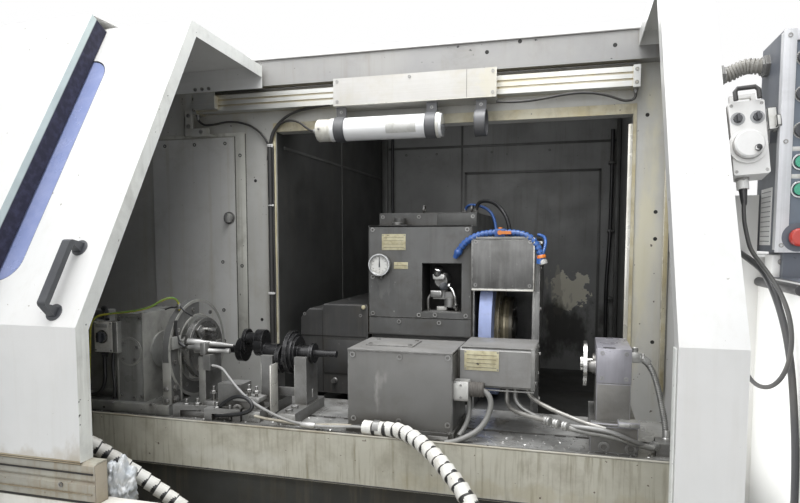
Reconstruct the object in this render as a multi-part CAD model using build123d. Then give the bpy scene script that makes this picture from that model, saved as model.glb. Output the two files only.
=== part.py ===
from build123d import *
import os
from math import atan2, cos, pi, radians, sin, sqrt, tan

# A CNC cylindrical grinder for crankshafts. Millimetres, +X to the operator's right, +Y into the
# machine, +Z up, with the origin on the floor at the centre of the machine's box.

# Overall envelope
MACHINE_WIDTH = 3976.0
MACHINE_DEPTH = 2720.0
FOOT_HEIGHT = 70.0
SHEET = 3.0
SEAT_GAP = 0.3
SHAFT_GAP = 0.05

LEFT_X = -MACHINE_WIDTH / 2
RIGHT_X = MACHINE_WIDTH / 2
FRONT_Y = -MACHINE_DEPTH / 2
REAR_Y = MACHINE_DEPTH / 2

# Front of the enclosure: a vertical skirt that leans back above the break line
PANEL_STEP = 78.0
PANEL_RETURN = 75.0
FRONT_SLOPE = 30.0
BREAK_Z = 1227.0
HEADER_TOP_Z = 2188.0
HEADER_HEIGHT = 105.0
HEADER_BOTTOM_Z = HEADER_TOP_Z - HEADER_HEIGHT
LEFT_ROOF_RISE = 12.0
LEFT_ROOF_Z = HEADER_TOP_Z + LEFT_ROOF_RISE
DOOR_Y = FRONT_Y + PANEL_STEP

# Sliding door
DOOR_LEFT_INSET = 34.0
DOOR_RIGHT_X = -474.0
DOOR_WIDTH = DOOR_RIGHT_X - LEFT_X - DOOR_LEFT_INSET
DOOR_BOTTOM_Z = 870.0
DOOR_TOP_DROP = 10.0
DOOR_TOP_Z = HEADER_TOP_Z - DOOR_TOP_DROP
DOOR_DEPTH = 45.0
HOOD_DROP = 23.0
HOOD_LIP = 88.0
WINDOW_WIDTH = 960.0
WINDOW_RIGHT_MARGIN = 260.0
WINDOW_FROM_BREAK = 128.0
WINDOW_TOP_MARGIN = 148.12
WINDOW_LENGTH = (DOOR_TOP_Z - BREAK_Z) / cos(radians(FRONT_SLOPE)) - WINDOW_FROM_BREAK - WINDOW_TOP_MARGIN
WINDOW_CORNER = 70.0
PANE_THICKNESS = 6.0
PANE_LAP = 20.0
HANDLE_PITCH = 195.0
HANDLE_FROM_BREAK = 40.0
HANDLE_FROM_EDGE = 84.0
HANDLE_WIDTH = 26.0
HANDLE_STANDOFF = 52.0
HANDLE_BAR = 16.0

# Rear bed, the wheelhead opening in front of it, and the right-hand pillar beside that opening
REAR_BED_LEFT_X = -454.0
REAR_BED_WIDTH = 1400.0
WHEEL_OPENING_LEFT_X = -460.0
OPENING_SIDE_GAP = 7.0
PILLAR_OFFSET = 8.0
PILLAR_WIDTH = 127.0
WHEEL_OPENING_RIGHT_X = REAR_BED_LEFT_X + REAR_BED_WIDTH + OPENING_SIDE_GAP
PILLAR_LEFT_X = WHEEL_OPENING_RIGHT_X + PILLAR_OFFSET
PILLAR_RIGHT_X = PILLAR_LEFT_X + PILLAR_WIDTH
OPENING_LEFT_X = DOOR_RIGHT_X
OPENING_WIDTH = PILLAR_LEFT_X - OPENING_LEFT_X

# Pillar and header
PILLAR_DEPTH = 50.0
PILLAR_BREAK_Z = 1242.0
HEADER_Y = -220.0
HEADER_CAP = 22.0
HEADER_CAP_LAP = 4.0

# Bulkhead between the work zone and the wheelhead compartment
BULKHEAD_THICKNESS = 6.0
OPENING_DROP = 177.0
WHEEL_OPENING_TOP_Z = HEADER_BOTTOM_Z - OPENING_DROP
OPENING_RETURN = 60.0
TRIM_WIDTH = 12.0
TRIM_TOP = 36.0
TRIM_THICKNESS = 5.0
HATCH_RIGHT_X = -657.0
HATCH_WIDTH = 408.0
HATCH_BOTTOM_Z = 980.0
HATCH_DROP = 13.0
HATCH_TOP_Z = WHEEL_OPENING_TOP_Z - HATCH_DROP
HATCH_LAP = 20.0
HATCH_THICKNESS = 5.0
HATCH_KNOB_RADIUS = 19.0
HATCH_KNOB_Z = 1549.0

# Rear compartment and the housing for the table's travel on the right
COMPARTMENT_GAP = 67.0
COMPARTMENT_RIGHT_X = REAR_BED_LEFT_X + REAR_BED_WIDTH + COMPARTMENT_GAP
END_COVER_FRONT_Y = -900.0
END_COVER_TOP_Z = 1410.0
JUNCTION_BOX_TOP_Z = 1560.0
JUNCTION_BOX_DEPTH = 200.0

# Lower front: sill, door rail, coolant pan and splash gutter
SILL_TOP_Z = 760.0
SILL_FLANGE = 60.0
RAIL_END_X = -431.0
RAIL_DEPTH = 46.0
RAIL_GROOVE = 7.0
CABLE_POST_X = -760.0
CABLE_POST_Z = 960.0
PAN_FLOOR_Z = 400.0
PAN_WALL = 40.0
GUTTER_Y = -920.0
GUTTER_TOP_Z = 887.0
GUTTER_HEIGHT = 150.0
GUTTER_LIP = 14.0
GUTTER_INSET = 20.0

# Cast bed: table ways in front, wheelhead ways behind
BED_LEFT_INSET = 588.0
BED_RIGHT_INSET = 88.0
BED_LEFT_X = LEFT_X + BED_LEFT_INSET
BED_RIGHT_X = RIGHT_X - BED_RIGHT_INSET
BED_FRONT_Y = -890.0
BED_STEP_Y = -500.0
TABLE_WAY_Z = 800.0
HEAD_WAY_Z = 700.0
REAR_BED_INSET = 60.0
REAR_BED_END_Y = REAR_Y - REAR_BED_INSET
RIDGE_Y = -800.0
RIDGE_HALF = 25.0
HEAD_RAIL_WIDTH = 80.0
HEAD_RAIL_HEIGHT = 30.0
HEAD_RAIL_X = (20.0, 420.0)
FOOT_PLATE_X = 100.0
FOOT_PLATE_Y = 150.0
FOOT_PLATE_THICKNESS = 20.0
FOOT_STEM_RADIUS = 16.0
ANCHOR_HOLE_RADIUS = 9.0
ANCHOR_REACH = 50.0
ANCHOR_INSET_X = 60.0
ANCHOR_INSET_Y = 40.0
ANCHOR_EDGE = 25.0

# Table with its T slot
TABLE_LEFT_X = -900.0
TABLE_FRONT_Y = -880.0
TABLE_DEPTH = 368.0
TABLE_TOP_Z = 880.0
SLOT_WIDTH = 18.0
SLOT_DEPTH = 30.0
SLOT_FOOT = 32.0
SLOT_FOOT_HEIGHT = 13.0
SLOT_Y = -740.0

# Work axis
WORK_Y = -700.0
WORK_Z = 1080.0

# Headstock
HEAD_FACE_X = -601.0
HEAD_LENGTH = 100.0
HEAD_FRONT_Y = -860.0
HEAD_DEPTH = 250.0
HEAD_BASE_HEIGHT = 37.0
HEAD_TOP_Z = 1211.0
HEAD_CORNER = 28.0
HEAD_BOSS_RADIUS = 62.0
HEAD_BOSS_Y = -762.0
HEAD_BOSS_HEIGHT = 7.0
MOTOR_LENGTH = 150.0
MOTOR_TOP_Z = 1185.0
MOTOR_BOTTOM_Z = 940.0
SWITCH_BOX_WIDTH = 92.0
SWITCH_BOX_HEIGHT = 104.0
SWITCH_BOX_DEPTH = 30.0
SWITCH_BOX_RIGHT_X = -684.0
SWITCH_BOX_TOP_Z = 1185.0
MODE_KNOB_RADIUS = 17.0
GUARD_X = -500.0
GUARD_THICKNESS = 24.0
GUARD_RADIUS = 168.0
GUARD_BORE = 112.0
GUARD_LEG_WIDTH = 56.0
FACEPLATE_RADIUS = 105.0
FACEPLATE_THICKNESS = 18.0
FACEPLATE_X = -488.0
SPINDLE_RADIUS = 42.0
SPINDLE_SOCKET = 40.0
DRIVER_RADIUS = 30.0
DRIVER_LENGTH = 26.0
DRIVE_PIN_RADIUS = 9.0
DRIVE_PIN_OFFSET = 62.0
DRIVE_PIN_LENGTH = 46.0

# Workpiece on its two V rests
SHAFT_LEFT_X = -443.7
CRANK_THROW = 38.0
CRANK_PIN_RADIUS = 22.0
CRANK_JOURNAL_RADIUS = 26.0
CRANK_SHAFT_RADIUS = 13.0
CRANK_SNOUT_RADIUS = 12.0
REST_WIDTH = 42.0
STOP_BLOCK_X = -345.0
STOP_BLOCK_WIDTH = 83.0
STOP_BLOCK_REACH = 130.0
STOP_BLOCK_DEPTH = 68.0
STOP_BLOCK_HEIGHT = 110.0
STOP_BLOCK_STEP = 60.0
REST_DEPTH = 92.0
REST_BASE_WIDTH = 60.0
REST_BASE_DEPTH = 236.0
REST_BASE_HEIGHT = 36.0
REST_LEFT_X = -214.0
REST_RIGHT_X = -93.0
VEE_GAP = 0.2

# Tailstock
TAIL_LEFT_X = 114.0
TAIL_WIDTH = 318.0
TAIL_FRONT_Y = -860.0
TAIL_DEPTH = 220.0
TAIL_BASE_HEIGHT = 20.0
TAIL_TOP_Z = 1130.0
TAIL_COVER = 8.0
TAIL_COVER_LAP = 6.0
CYLINDER_FLANGE = 10.0
CYLINDER_LENGTH = 215.0
CYLINDER_DEPTH = 190.0
CYLINDER_HEIGHT = 118.0
QUILL_RADIUS = 22.0
QUILL_BORE_LENGTH = 200.0
QUILL_TIP_X = 56.0
QUILL_LENGTH = 190.0
SWITCH_X = 432.0
LIMIT_WIDTH = 42.0
LIMIT_DEPTH = 36.0
LIMIT_BOTTOM_Z = TABLE_TOP_Z + 112.0
LIMIT_HEIGHT = 54.0
LIMIT_PLUG_RADIUS = 20.0
LIMIT_PLUG_LENGTH = 40.0
LIMIT_PLUG_RISE = 30.0

# Rotary dresser
DRESSER_X = 825.0
DRESSER_WIDTH = 87.0
DRESSER_DEPTH = 200.0
DRESSER_FRONT_Y = -840.0
DRESSER_TOP_Z = 1160.0
DRESSER_BASE_OVERHANG = 15.0
DRESSER_BASE_X = DRESSER_X - DRESSER_BASE_OVERHANG
DRESSER_BASE_WIDTH = 122.0
DRESSER_BASE_HEIGHT = 75.0
DRESSER_Z = 1092.0
DRESSER_DISC_RADIUS = 66.0
DRESSER_DISC_THICKNESS = 10.0
DRESSER_QUILL_RADIUS = 18.0
DRESSER_QUILL_REACH = 24.0
DRESSER_SOCKET = 60.0
TABLE_END_MARGIN = 108.0
TABLE_RIGHT_X = DRESSER_BASE_X + DRESSER_BASE_WIDTH + TABLE_END_MARGIN
TABLE_LENGTH = TABLE_RIGHT_X - TABLE_LEFT_X

# Wheelhead
HEAD_X = -75.0
WHEELHEAD_WIDTH = 441.0
WHEELHEAD_FRONT_Y = -100.0
WHEELHEAD_DEPTH = 760.0
WHEELHEAD_BOTTOM_Z = 1058.0
WHEELHEAD_SKIRT = 90.0
SKIRT_SETBACK = 20.0
WHEELHEAD_TOP_Z = 1512.0
UPPER_BOX_SETBACK = 100.0
UPPER_BOX_HEIGHT = 56.0
WINDOW_BAY_X = 157.0
WINDOW_BAY_WIDTH = 166.0
WINDOW_BAY_BOTTOM_Z = 1157.0
WINDOW_BAY_HEIGHT = 203.0
WINDOW_BAY_DEPTH = 150.0
SEAM_Z = 1132.0
SEAM_WIDTH = 4.0
SEAM_DEPTH = 3.0
BREATHER_RADIUS = 24.0
SADDLE_LEFT_X = -60.0
SADDLE_WIDTH = 640.0
BELT_COVER_X = -383.0
BELT_COVER_WIDTH = 301.0
BELT_COVER_BOTTOM_Z = 794.0
BELT_COVER_TOP_Z = 1180.0
BELT_COVER_STEP_X = 101.0
BELT_COVER_STEP_Z = 21.0
BELT_COVER_DEPTH = 700.0
BELT_COVER_CHAMFER = 40.0

# Wheel and guard
WHEEL_Y = 150.0
WHEEL_Z = 1080.0
WHEEL_DIAMETER = 600.0
WHEEL_WIDTH = 50.0
WHEEL_BORE = 300.0
WHEEL_LEFT_X = 399.0
HUB_FLANGE_RADIUS = 150.0
HUB_LIP_RADIUS = 190.0
HUB_LIP = 12.0
HUB_NOSE_RADIUS = 125.0
HUB_NOSE_LENGTH = 50.0
WHEEL_SPINDLE_RADIUS = 60.0
SPINDLE_BORE_DEPTH = 120.0
GUARD_LEFT_X = 369.0
WHEEL_GUARD_WIDTH = 240.0
WHEEL_GUARD_FRONT_Y = -100.0
WHEEL_GUARD_TOP_Z = 1461.0
WHEEL_GUARD_CLEARANCE = 12.0
WHEEL_GUARD_WALL = 6.0
WHEEL_GUARD_CORNER = 12.0
GUARD_PLATE_X = 22.0

# Gauge, regulator and coolant line on the wheelhead
GAUGE_X = -18.0
GAUGE_Z = 1351.0
GAUGE_RADIUS = 46.0
GAUGE_DEPTH = 30.0
GAUGE_RECESS = 8.0
NEEDLE_LENGTH = 34.0
NEEDLE_PIVOT_RADIUS = 3.0
COOLANT_Y = -124.0
COOLANT_HOSE_RADIUS = 11.0
TAP_X = 478.0
TAP_Z = 1482.0
TAP_BODY = 40.0

# Door cylinder, its cover and the lamp
CYLINDER_LEFT_X = -822.0
DOOR_CYLINDER_LENGTH = 1791.0
CYLINDER_DROP = 91.0
CYLINDER_BOTTOM_Z = HEADER_BOTTOM_Z - CYLINDER_DROP
DOOR_CYLINDER_HEIGHT = 67.0
CYLINDER_CAP = 24.0
CARRIAGE_X = -795.0
CARRIAGE_LENGTH = 100.0
CARRIAGE_PLATE = 5.0
COVER_LEFT_X = -156.0
COVER_WIDTH = 632.0
COVER_DROP = 21.0
COVER_BOTTOM_Z = CYLINDER_BOTTOM_Z - COVER_DROP
COVER_HEIGHT = 105.0
COVER_STANDOFF = 57.0
COVER_SHEET = 2.0
LAMP_LEFT_X = -230.0
LAMP_LENGTH = 502.0
LAMP_RADIUS = 45.0
LAMP_Y = -250.0
LAMP_DROP = 86.0
LAMP_Z = COVER_BOTTOM_Z - LAMP_DROP
LAMP_CAP_LENGTH = 60.0
CLIP_WIDTH = 40.0
CLIP_WALL = 3.6
CLIP_CENTRES = (-131.0, 231.0, 417.0)

# Operator side: cabinet, shelf, panel and handwheel box
CABINET_GAP = 104.0
CABINET_LEFT_X = PILLAR_RIGHT_X + CABINET_GAP
CABINET_TOP_Z = 1340.0
SHELF_FRONT_Y = -1200.0
SHELF_BACK_Y = -820.0
SHELF_THICKNESS = 25.0
PANEL_WIDTH = 470.0
PANEL_FRONT_Y = -1019.0
PANEL_DEPTH = 163.0
PANEL_BOTTOM_Z = 1425.0
PANEL_TOP_Z = 1909.0
PANEL_FRAME = 25.0
PANEL_FRAME_PROUD = 4.0
CONTROL_INSET = 43.0
CONTROL_X = CABINET_LEFT_X + CONTROL_INSET
KNOB_ROWS_Z = (1848.0, 1770.0, 1692.0)
BUTTON_ROWS_Z = (1623.0, 1563.0)
STOP_Z = 1458.0
PANEL_KNOB_RADIUS = 16.0
PANEL_KNOB_DEPTH = 24.0
BUTTON_RADIUS = 13.0
BUTTON_PROUD = 12.0
STOP_RADIUS = 20.0
STOP_RING_RADIUS = 32.0
CONTROL_STEM_RADIUS = 5.0
CONTROL_STEM_DEPTH = 20.0
BOX_OFFSET = 59.0
BOX_X = CABINET_LEFT_X - BOX_OFFSET
BOX_Z = 1682.0
BOX_FRONT_Y = -1012.0
BOX_WIDTH = 74.0
BOX_HEIGHT = 170.0
BOX_DEPTH = 60.0
BOX_TILT = -4.0
BOX_LEAN = -10.0
DIAL_RING_RADIUS = 40.0
HANDWHEEL_RADIUS = 31.0
HANDWHEEL_DEPTH = 16.0
AXIS_KNOB_RADIUS = 9.0
AXIS_KNOB_DEPTH = 14.0
GLAND_RADIUS = 13.0
GLAND_LENGTH = 26.0

# Cables and hoses
TRAILING_DIAMETER = 40.0
SIGNAL_DIAMETER = 9.0
HANDWHEEL_CABLE_DIAMETER = 9.0
CONDUIT_DIAMETER = 42.0
LAMP_CABLE_DIAMETER = 9.0
BUNDLE_DIAMETER = 20.0
HOSE_DIAMETER = 14.0

TRAILING_POINTS = [
    (192, -896, 906), (240, -896, 906), (290, -912, 911), (345, -950, 904), (399, -1000, 890),
    (450, -1055, 868), (505, -1112, 838), (552, -1150, 792), (572, -1166, 735), (566, -1166, 676),
    (538, -1160, 622), (492, -1152, 580), (435, -1144, 550), (372, -1136, 530), (305, -1128, 519),
    (235, -1120, 514), (160, -1112, 515), (82, -1104, 522), (2, -1096, 535), (-80, -1088, 554),
    (-160, -1080, 582), (-240, -1070, 620), (-318, -1058, 668), (-392, -1066, 720), (-460, -1082, 768),
    (-524, -1100, 818), (-584, -1122, 864), (-644, -1138, 900), (-702, -1138, 900),
]
SIGNAL_POINTS = [
    (192, -896, 906), (150, -896, 906), (102, -898, 902), (52, -900, 899), (2, -900, 900),
    (-46, -898, 904), (-90, -892, 912), (-134, -884, 924), (-178, -872, 938), (-224, -857, 955),
    (-268, -842, 982), (-306, -830, 1014), (-340, -818, 1044), (-372, -818, 1044),
]
HANDWHEEL_CABLE_POINTS = [(PILLAR_RIGHT_X + x, y, z) for x, y, z in [
    (39, -1016, 1514), (38, -1032, 1488), (39, -1052, 1462), (42, -1072, 1432), (49, -1112, 1408),
    (57, -1154, 1384), (65, -1196, 1356), (72, -1230, 1322), (76, -1250, 1284), (76, -1256, 1244),
    (72, -1250, 1206), (64, -1234, 1176), (54, -1212, 1158), (44, -1186, 1152), (36, -1158, 1156),
    (31, -1130, 1168), (28, -1100, 1186), (27, -1066, 1200), (27, -1030, 1206), (27, -988, 1209),
    (27, -944, 1206), (27, -900, 1206),
]]


def box(x0, x1, y0, y1, z0, z1):
    """A box between two corners."""
    return Pos((x0 + x1) / 2, (y0 + y1) / 2, (z0 + z1) / 2) * Box(x1 - x0, y1 - y0, z1 - z0)


def rod_x(radius, x0, x1, y, z):
    """A cylinder along X from x0 to x1."""
    return Pos((x0 + x1) / 2, y, z) * Rot(0, 90, 0) * Cylinder(radius, x1 - x0)


def rod_y(radius, y0, y1, x, z):
    """A cylinder along Y from y0 to y1."""
    return Pos(x, (y0 + y1) / 2, z) * Rot(90, 0, 0) * Cylinder(radius, y1 - y0)


def rod_z(radius, z0, z1, x, y):
    """A cylinder along Z from z0 to z1."""
    return Pos(x, y, (z0 + z1) / 2) * Cylinder(radius, z1 - z0)


def prism_x(points, x0, x1):
    """A profile of (y, z) points, extruded along X."""
    outline = Plane.YZ.offset(x0) * Polygon(*points, align=None)
    return extrude(outline, amount=x1 - x0, dir=(1, 0, 0))


def prism_y(points, y0, y1):
    """A profile of (x, z) points, extruded along Y."""
    plane = Plane(origin=(0, y1, 0), x_dir=(1, 0, 0), z_dir=(0, -1, 0))
    return extrude(plane * Polygon(*points, align=None), amount=y1 - y0, dir=(0, -1, 0))


def shifted_path(path, distance):
    """The (y, z) path moved towards its right-hand side by a distance, with mitred corners."""
    directions = []
    for (y0, z0), (y1, z1) in zip(path, path[1:]):
        angle = atan2(z1 - z0, y1 - y0)
        directions.append(angle)
    moved = []
    for index, (y, z) in enumerate(path):
        before = directions[max(index - 1, 0)]
        after = directions[min(index, len(directions) - 1)]
        middle = (before + after) / 2
        reach = distance / cos((after - before) / 2)
        moved.append((y + reach * sin(middle), z - reach * cos(middle)))
    return moved


def band(path, near, far):
    """The closed (y, z) outline between two distances behind a path."""
    return shifted_path(path, near) + shifted_path(path, far)[::-1]


def folded_pan(path, x0, x1, depth):
    """A sheet folded along a path, with a return flange on all its edges, open behind."""
    (ya, za), (yb, zb) = path[0], path[1]
    start = atan2(zb - za, yb - ya)
    (yc, zc), (yd, zd) = path[-2], path[-1]
    end = atan2(zd - zc, yd - yc)
    trimmed = [(ya + SHEET * cos(start), za + SHEET * sin(start)), *path[1:-1],
               (yd - SHEET * cos(end), zd - SHEET * sin(end))]
    skin = prism_x(band(path, 0, depth), x0, x1)
    inside = prism_x(band(trimmed, SHEET, depth + 1), x0 + SHEET, x1 - SHEET)
    return skin - inside


def slope_plane(x, along, break_z=BREAK_Z):
    """A plane on the sloped front, its Y up the slope and its Z out of the machine."""
    lean = radians(FRONT_SLOPE)
    origin = (x, DOOR_Y + along * sin(lean), break_z + along * cos(lean))
    return Plane(origin=origin, x_dir=(1, 0, 0), z_dir=(0, -cos(lean), sin(lean)))


def slope_y(z, break_z=BREAK_Z, outward=0.0):
    """Y of the sloped front at a height, or of a plane that stands outward of it."""
    lean = radians(FRONT_SLOPE)
    return DOOR_Y + (z - break_z) * tan(lean) - outward / cos(lean)


def tube_along(name, points, diameter):
    """A round tube on straight runs with an arc at each corner as large as the runs allow."""
    corners = [Vector(*p) for p in points]
    radii = []
    for before, corner, after in zip(corners, corners[1:], corners[2:]):
        first = corner - before
        second = after - corner
        turn = radians(first.get_angle(second))
        radii.append(0.45 * min(first.length, second.length) / tan(turn / 2))
    path = FilletPolyline(*corners, radius=radii)
    start = Plane(origin=path @ 0, z_dir=path % 0)
    tube = sweep(start * Circle(diameter / 2), path=path)
    section = pi * diameter * diameter / 4
    print(f"{name}: length {path.length:.0f}, least radius {min(radii):.0f}, "
          f"volume ratio {tube.volume / (section * path.length):.4f}")
    return tube


BULKHEAD_Y = HEADER_Y + 60.0
PANEL_RIGHT_X = -798.0


def door_path():
    """The door's outer face as (y, z) points, from its bottom edge to the back of its hood."""
    return [
        (DOOR_Y, DOOR_BOTTOM_Z), (DOOR_Y, BREAK_Z), (slope_y(DOOR_TOP_Z), DOOR_TOP_Z),
        (HEADER_Y - 30, DOOR_TOP_Z - HOOD_DROP),
    ]


def sliding_door():
    path = door_path()
    left_x = DOOR_RIGHT_X - DOOR_WIDTH
    door = folded_pan(path, left_x, DOOR_RIGHT_X, DOOR_DEPTH)
    lip_top = path[-1][1]
    door += box(left_x, DOOR_RIGHT_X, path[-1][0] - SHEET, path[-1][0], lip_top - HOOD_LIP, lip_top)
    opening = window_plane() * RectangleRounded(WINDOW_WIDTH, WINDOW_LENGTH, WINDOW_CORNER)
    return door - extrude(opening, amount=SHEET * 2, both=True)


def window_plane(inset=0.0):
    """Plane at the middle of the door window, set back from the door's face."""
    centre_x = DOOR_RIGHT_X - WINDOW_RIGHT_MARGIN - WINDOW_WIDTH / 2
    return slope_plane(centre_x, WINDOW_FROM_BREAK + WINDOW_LENGTH / 2).offset(-inset)


def door_window():
    lap = 2 * PANE_LAP
    outline = RectangleRounded(WINDOW_WIDTH + lap, WINDOW_LENGTH + lap, WINDOW_CORNER + PANE_LAP)
    return extrude(window_plane(SHEET + PANE_THICKNESS) * outline, amount=PANE_THICKNESS)


def door_handle():
    """A bow handle: two raking arms and a flat bar, as one moulding."""
    half = HANDLE_PITCH / 2
    rake = 14.0
    foot = 15.0
    outline = [
        (-half - foot, 0), (-half + foot, 0), (-half + foot - rake / 2, HANDLE_STANDOFF - HANDLE_BAR),
        (half - foot + rake / 2, HANDLE_STANDOFF - HANDLE_BAR), (half - foot, 0), (half + foot, 0),
        (half + foot - rake, HANDLE_STANDOFF - 6), (half + foot - rake - 6, HANDLE_STANDOFF),
        (-half - foot + rake + 6, HANDLE_STANDOFF), (-half - foot + rake, HANDLE_STANDOFF - 6),
    ]
    bow = extrude(Plane.YZ * Polygon(*outline, align=None), amount=HANDLE_WIDTH / 2, both=True)
    bow = chamfer(bow.edges().filter_by(Axis.X).sort_by(Axis.Z)[-2:], 2)
    plane = slope_plane(DOOR_RIGHT_X - HANDLE_FROM_EDGE, HANDLE_FROM_BREAK + half)
    return plane * bow


def door_carriage():
    """Slider on the door cylinder with the angle plate that holds the door's hood."""
    lip_y = door_path()[-1][0]
    right_x = CARRIAGE_X + CARRIAGE_LENGTH
    slider = box(CARRIAGE_X, right_x, lip_y + CARRIAGE_PLATE, HEADER_Y - SEAT_GAP,
                 CYLINDER_BOTTOM_Z + 8, CYLINDER_BOTTOM_Z + DOOR_CYLINDER_HEIGHT - 7)
    plate = box(CARRIAGE_X, right_x, lip_y, lip_y + CARRIAGE_PLATE,
                CYLINDER_BOTTOM_Z + 8, DOOR_TOP_Z - HOOD_DROP - 6)
    return slider + plate


def left_panel_path():
    """The fixed left panel's outer face as (y, z) points, from the floor side to the roof."""
    bend_z = BREAK_Z + PANEL_STEP * tan(radians(FRONT_SLOPE / 2))
    return [(FRONT_Y, FOOT_HEIGHT), (FRONT_Y, bend_z), (slope_y(LEFT_ROOF_Z, outward=PANEL_STEP), LEFT_ROOF_Z)]


def left_front_panel():
    return folded_pan(left_panel_path(), LEFT_X, PANEL_RIGHT_X, PANEL_RETURN)


def right_wall():
    """Sheet on the right of the work zone, behind the pillar, open to the table's end housing."""
    inner = shifted_path(pillar_path(), PILLAR_DEPTH)
    outline = [
        (inner[0][0], FOOT_HEIGHT), inner[1], inner[2], (HEADER_Y, inner[2][1]), (HEADER_Y, HEADER_BOTTOM_Z),
        (BULKHEAD_Y, HEADER_BOTTOM_Z), (BULKHEAD_Y, END_COVER_TOP_Z), (END_COVER_FRONT_Y, END_COVER_TOP_Z),
        (END_COVER_FRONT_Y, FOOT_HEIGHT),
    ]
    return prism_x(outline, PILLAR_RIGHT_X - SHEET, PILLAR_RIGHT_X)


def end_cover():
    """Housing over the table's right-hand travel, open to the work zone and at the floor."""
    outer = box(PILLAR_RIGHT_X, RIGHT_X, END_COVER_FRONT_Y, BULKHEAD_Y, FOOT_HEIGHT, END_COVER_TOP_Z)
    inner = box(PILLAR_RIGHT_X - 1, RIGHT_X - SHEET, END_COVER_FRONT_Y + SHEET, BULKHEAD_Y - SHEET,
                FOOT_HEIGHT - 1, END_COVER_TOP_Z - SHEET)
    return outer - inner


def end_housing():
    """Work-zone wall on the right, the housing behind it and the junction box on top."""
    junction = box(PILLAR_RIGHT_X, CABINET_LEFT_X - 6, END_COVER_FRONT_Y, END_COVER_FRONT_Y + JUNCTION_BOX_DEPTH,
                   END_COVER_TOP_Z, JUNCTION_BOX_TOP_Z)
    return Compound([right_wall(), end_cover(), junction])


def enclosure_sheets():
    """Side, roof and compartment walls of folded sheet, each its own solid."""
    path = left_panel_path()
    inner = shifted_path(path, PANEL_RETURN)
    top_y, top_z = path[2]
    under_z = top_z - SHEET
    under_y = top_y + SHEET / tan(radians(FRONT_SLOPE))
    side = prism_x([(inner[0][0], FOOT_HEIGHT), inner[1], inner[2], (under_y, under_z), (BULKHEAD_Y, under_z),
                    (BULKHEAD_Y, FOOT_HEIGHT)], LEFT_X, LEFT_X + SHEET)
    roof = prism_x([(top_y, top_z), (BULKHEAD_Y, top_z), (BULKHEAD_Y, under_z), (under_y, under_z)],
                   LEFT_X, PANEL_RIGHT_X)
    back_of_bulkhead = BULKHEAD_Y + BULKHEAD_THICKNESS
    left = box(WHEEL_OPENING_LEFT_X - SHEET, WHEEL_OPENING_LEFT_X, back_of_bulkhead, REAR_Y - SHEET,
               FOOT_HEIGHT, HEADER_TOP_Z - SHEET)
    right = box(COMPARTMENT_RIGHT_X - SHEET, COMPARTMENT_RIGHT_X, back_of_bulkhead, REAR_Y - SHEET,
                FOOT_HEIGHT, HEADER_TOP_Z - SHEET)
    back = box(WHEEL_OPENING_LEFT_X - SHEET, COMPARTMENT_RIGHT_X, REAR_Y - SHEET, REAR_Y,
               FOOT_HEIGHT, HEADER_TOP_Z - SHEET)
    top = box(WHEEL_OPENING_LEFT_X - SHEET, COMPARTMENT_RIGHT_X, back_of_bulkhead, REAR_Y,
              HEADER_TOP_Z - SHEET, HEADER_TOP_Z)
    return Compound([side, roof, left, right, back, top])


def pillar_path():
    return [
        (DOOR_Y, FOOT_HEIGHT), (DOOR_Y, PILLAR_BREAK_Z),
        (slope_y(DOOR_TOP_Z, PILLAR_BREAK_Z), DOOR_TOP_Z), (HEADER_Y, DOOR_TOP_Z),
    ]


def door_pillar():
    return folded_pan(pillar_path(), PILLAR_LEFT_X, PILLAR_RIGHT_X, PILLAR_DEPTH)


def header_beam():
    """Beam over the door opening: face, bottom flange and flat cap."""
    left_x = PANEL_RIGHT_X
    right_x = PILLAR_RIGHT_X
    face = box(left_x, right_x, HEADER_Y, HEADER_Y + SHEET, HEADER_BOTTOM_Z, HEADER_TOP_Z)
    flange = box(left_x, right_x, HEADER_Y + SHEET, BULKHEAD_Y, HEADER_BOTTOM_Z, HEADER_BOTTOM_Z + SHEET)
    cap_back = BULKHEAD_Y + BULKHEAD_THICKNESS
    cap = box(left_x, right_x, HEADER_Y - HEADER_CAP_LAP, cap_back, HEADER_TOP_Z,
              HEADER_TOP_Z + HEADER_CAP)
    return Compound([face, flange, cap])


def bulkhead():
    """Partition with the wheelhead opening, its returns and seal strips, and the hatch hole."""
    y0 = BULKHEAD_Y
    y1 = BULKHEAD_Y + BULKHEAD_THICKNESS
    left = WHEEL_OPENING_LEFT_X
    right = WHEEL_OPENING_RIGHT_X
    top = WHEEL_OPENING_TOP_Z
    plate = box(LEFT_X + SHEET, PILLAR_RIGHT_X, y0, y1, FOOT_HEIGHT, HEADER_TOP_Z)
    plate -= box(left, right, y0 - 1, y1 + 1, FOOT_HEIGHT - 1, top)
    hatch_left = HATCH_RIGHT_X - HATCH_WIDTH
    plate -= box(hatch_left + HATCH_LAP, HATCH_RIGHT_X - HATCH_LAP, y0 - 1, y1 + 1,
                 HATCH_BOTTOM_Z + HATCH_LAP, HATCH_TOP_Z - HATCH_LAP)
    plate += box(right, right + SHEET, y1, y1 + OPENING_RETURN, FOOT_HEIGHT, top)
    plate += box(left, right + SHEET, y1, y1 + OPENING_RETURN, top, top + SHEET)
    front = y0 - TRIM_THICKNESS
    trim = box(left - TRIM_WIDTH, right + TRIM_WIDTH, front, y0, top, top + TRIM_TOP)
    trim += box(left - TRIM_WIDTH, left, front, y0, HEAD_WAY_Z, top)
    trim += box(right, right + TRIM_WIDTH, front, y0, HEAD_WAY_Z, top)
    return plate + trim


def hatch_knob_x():
    return HATCH_RIGHT_X - HATCH_LAP - HATCH_KNOB_RADIUS + 10


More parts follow.
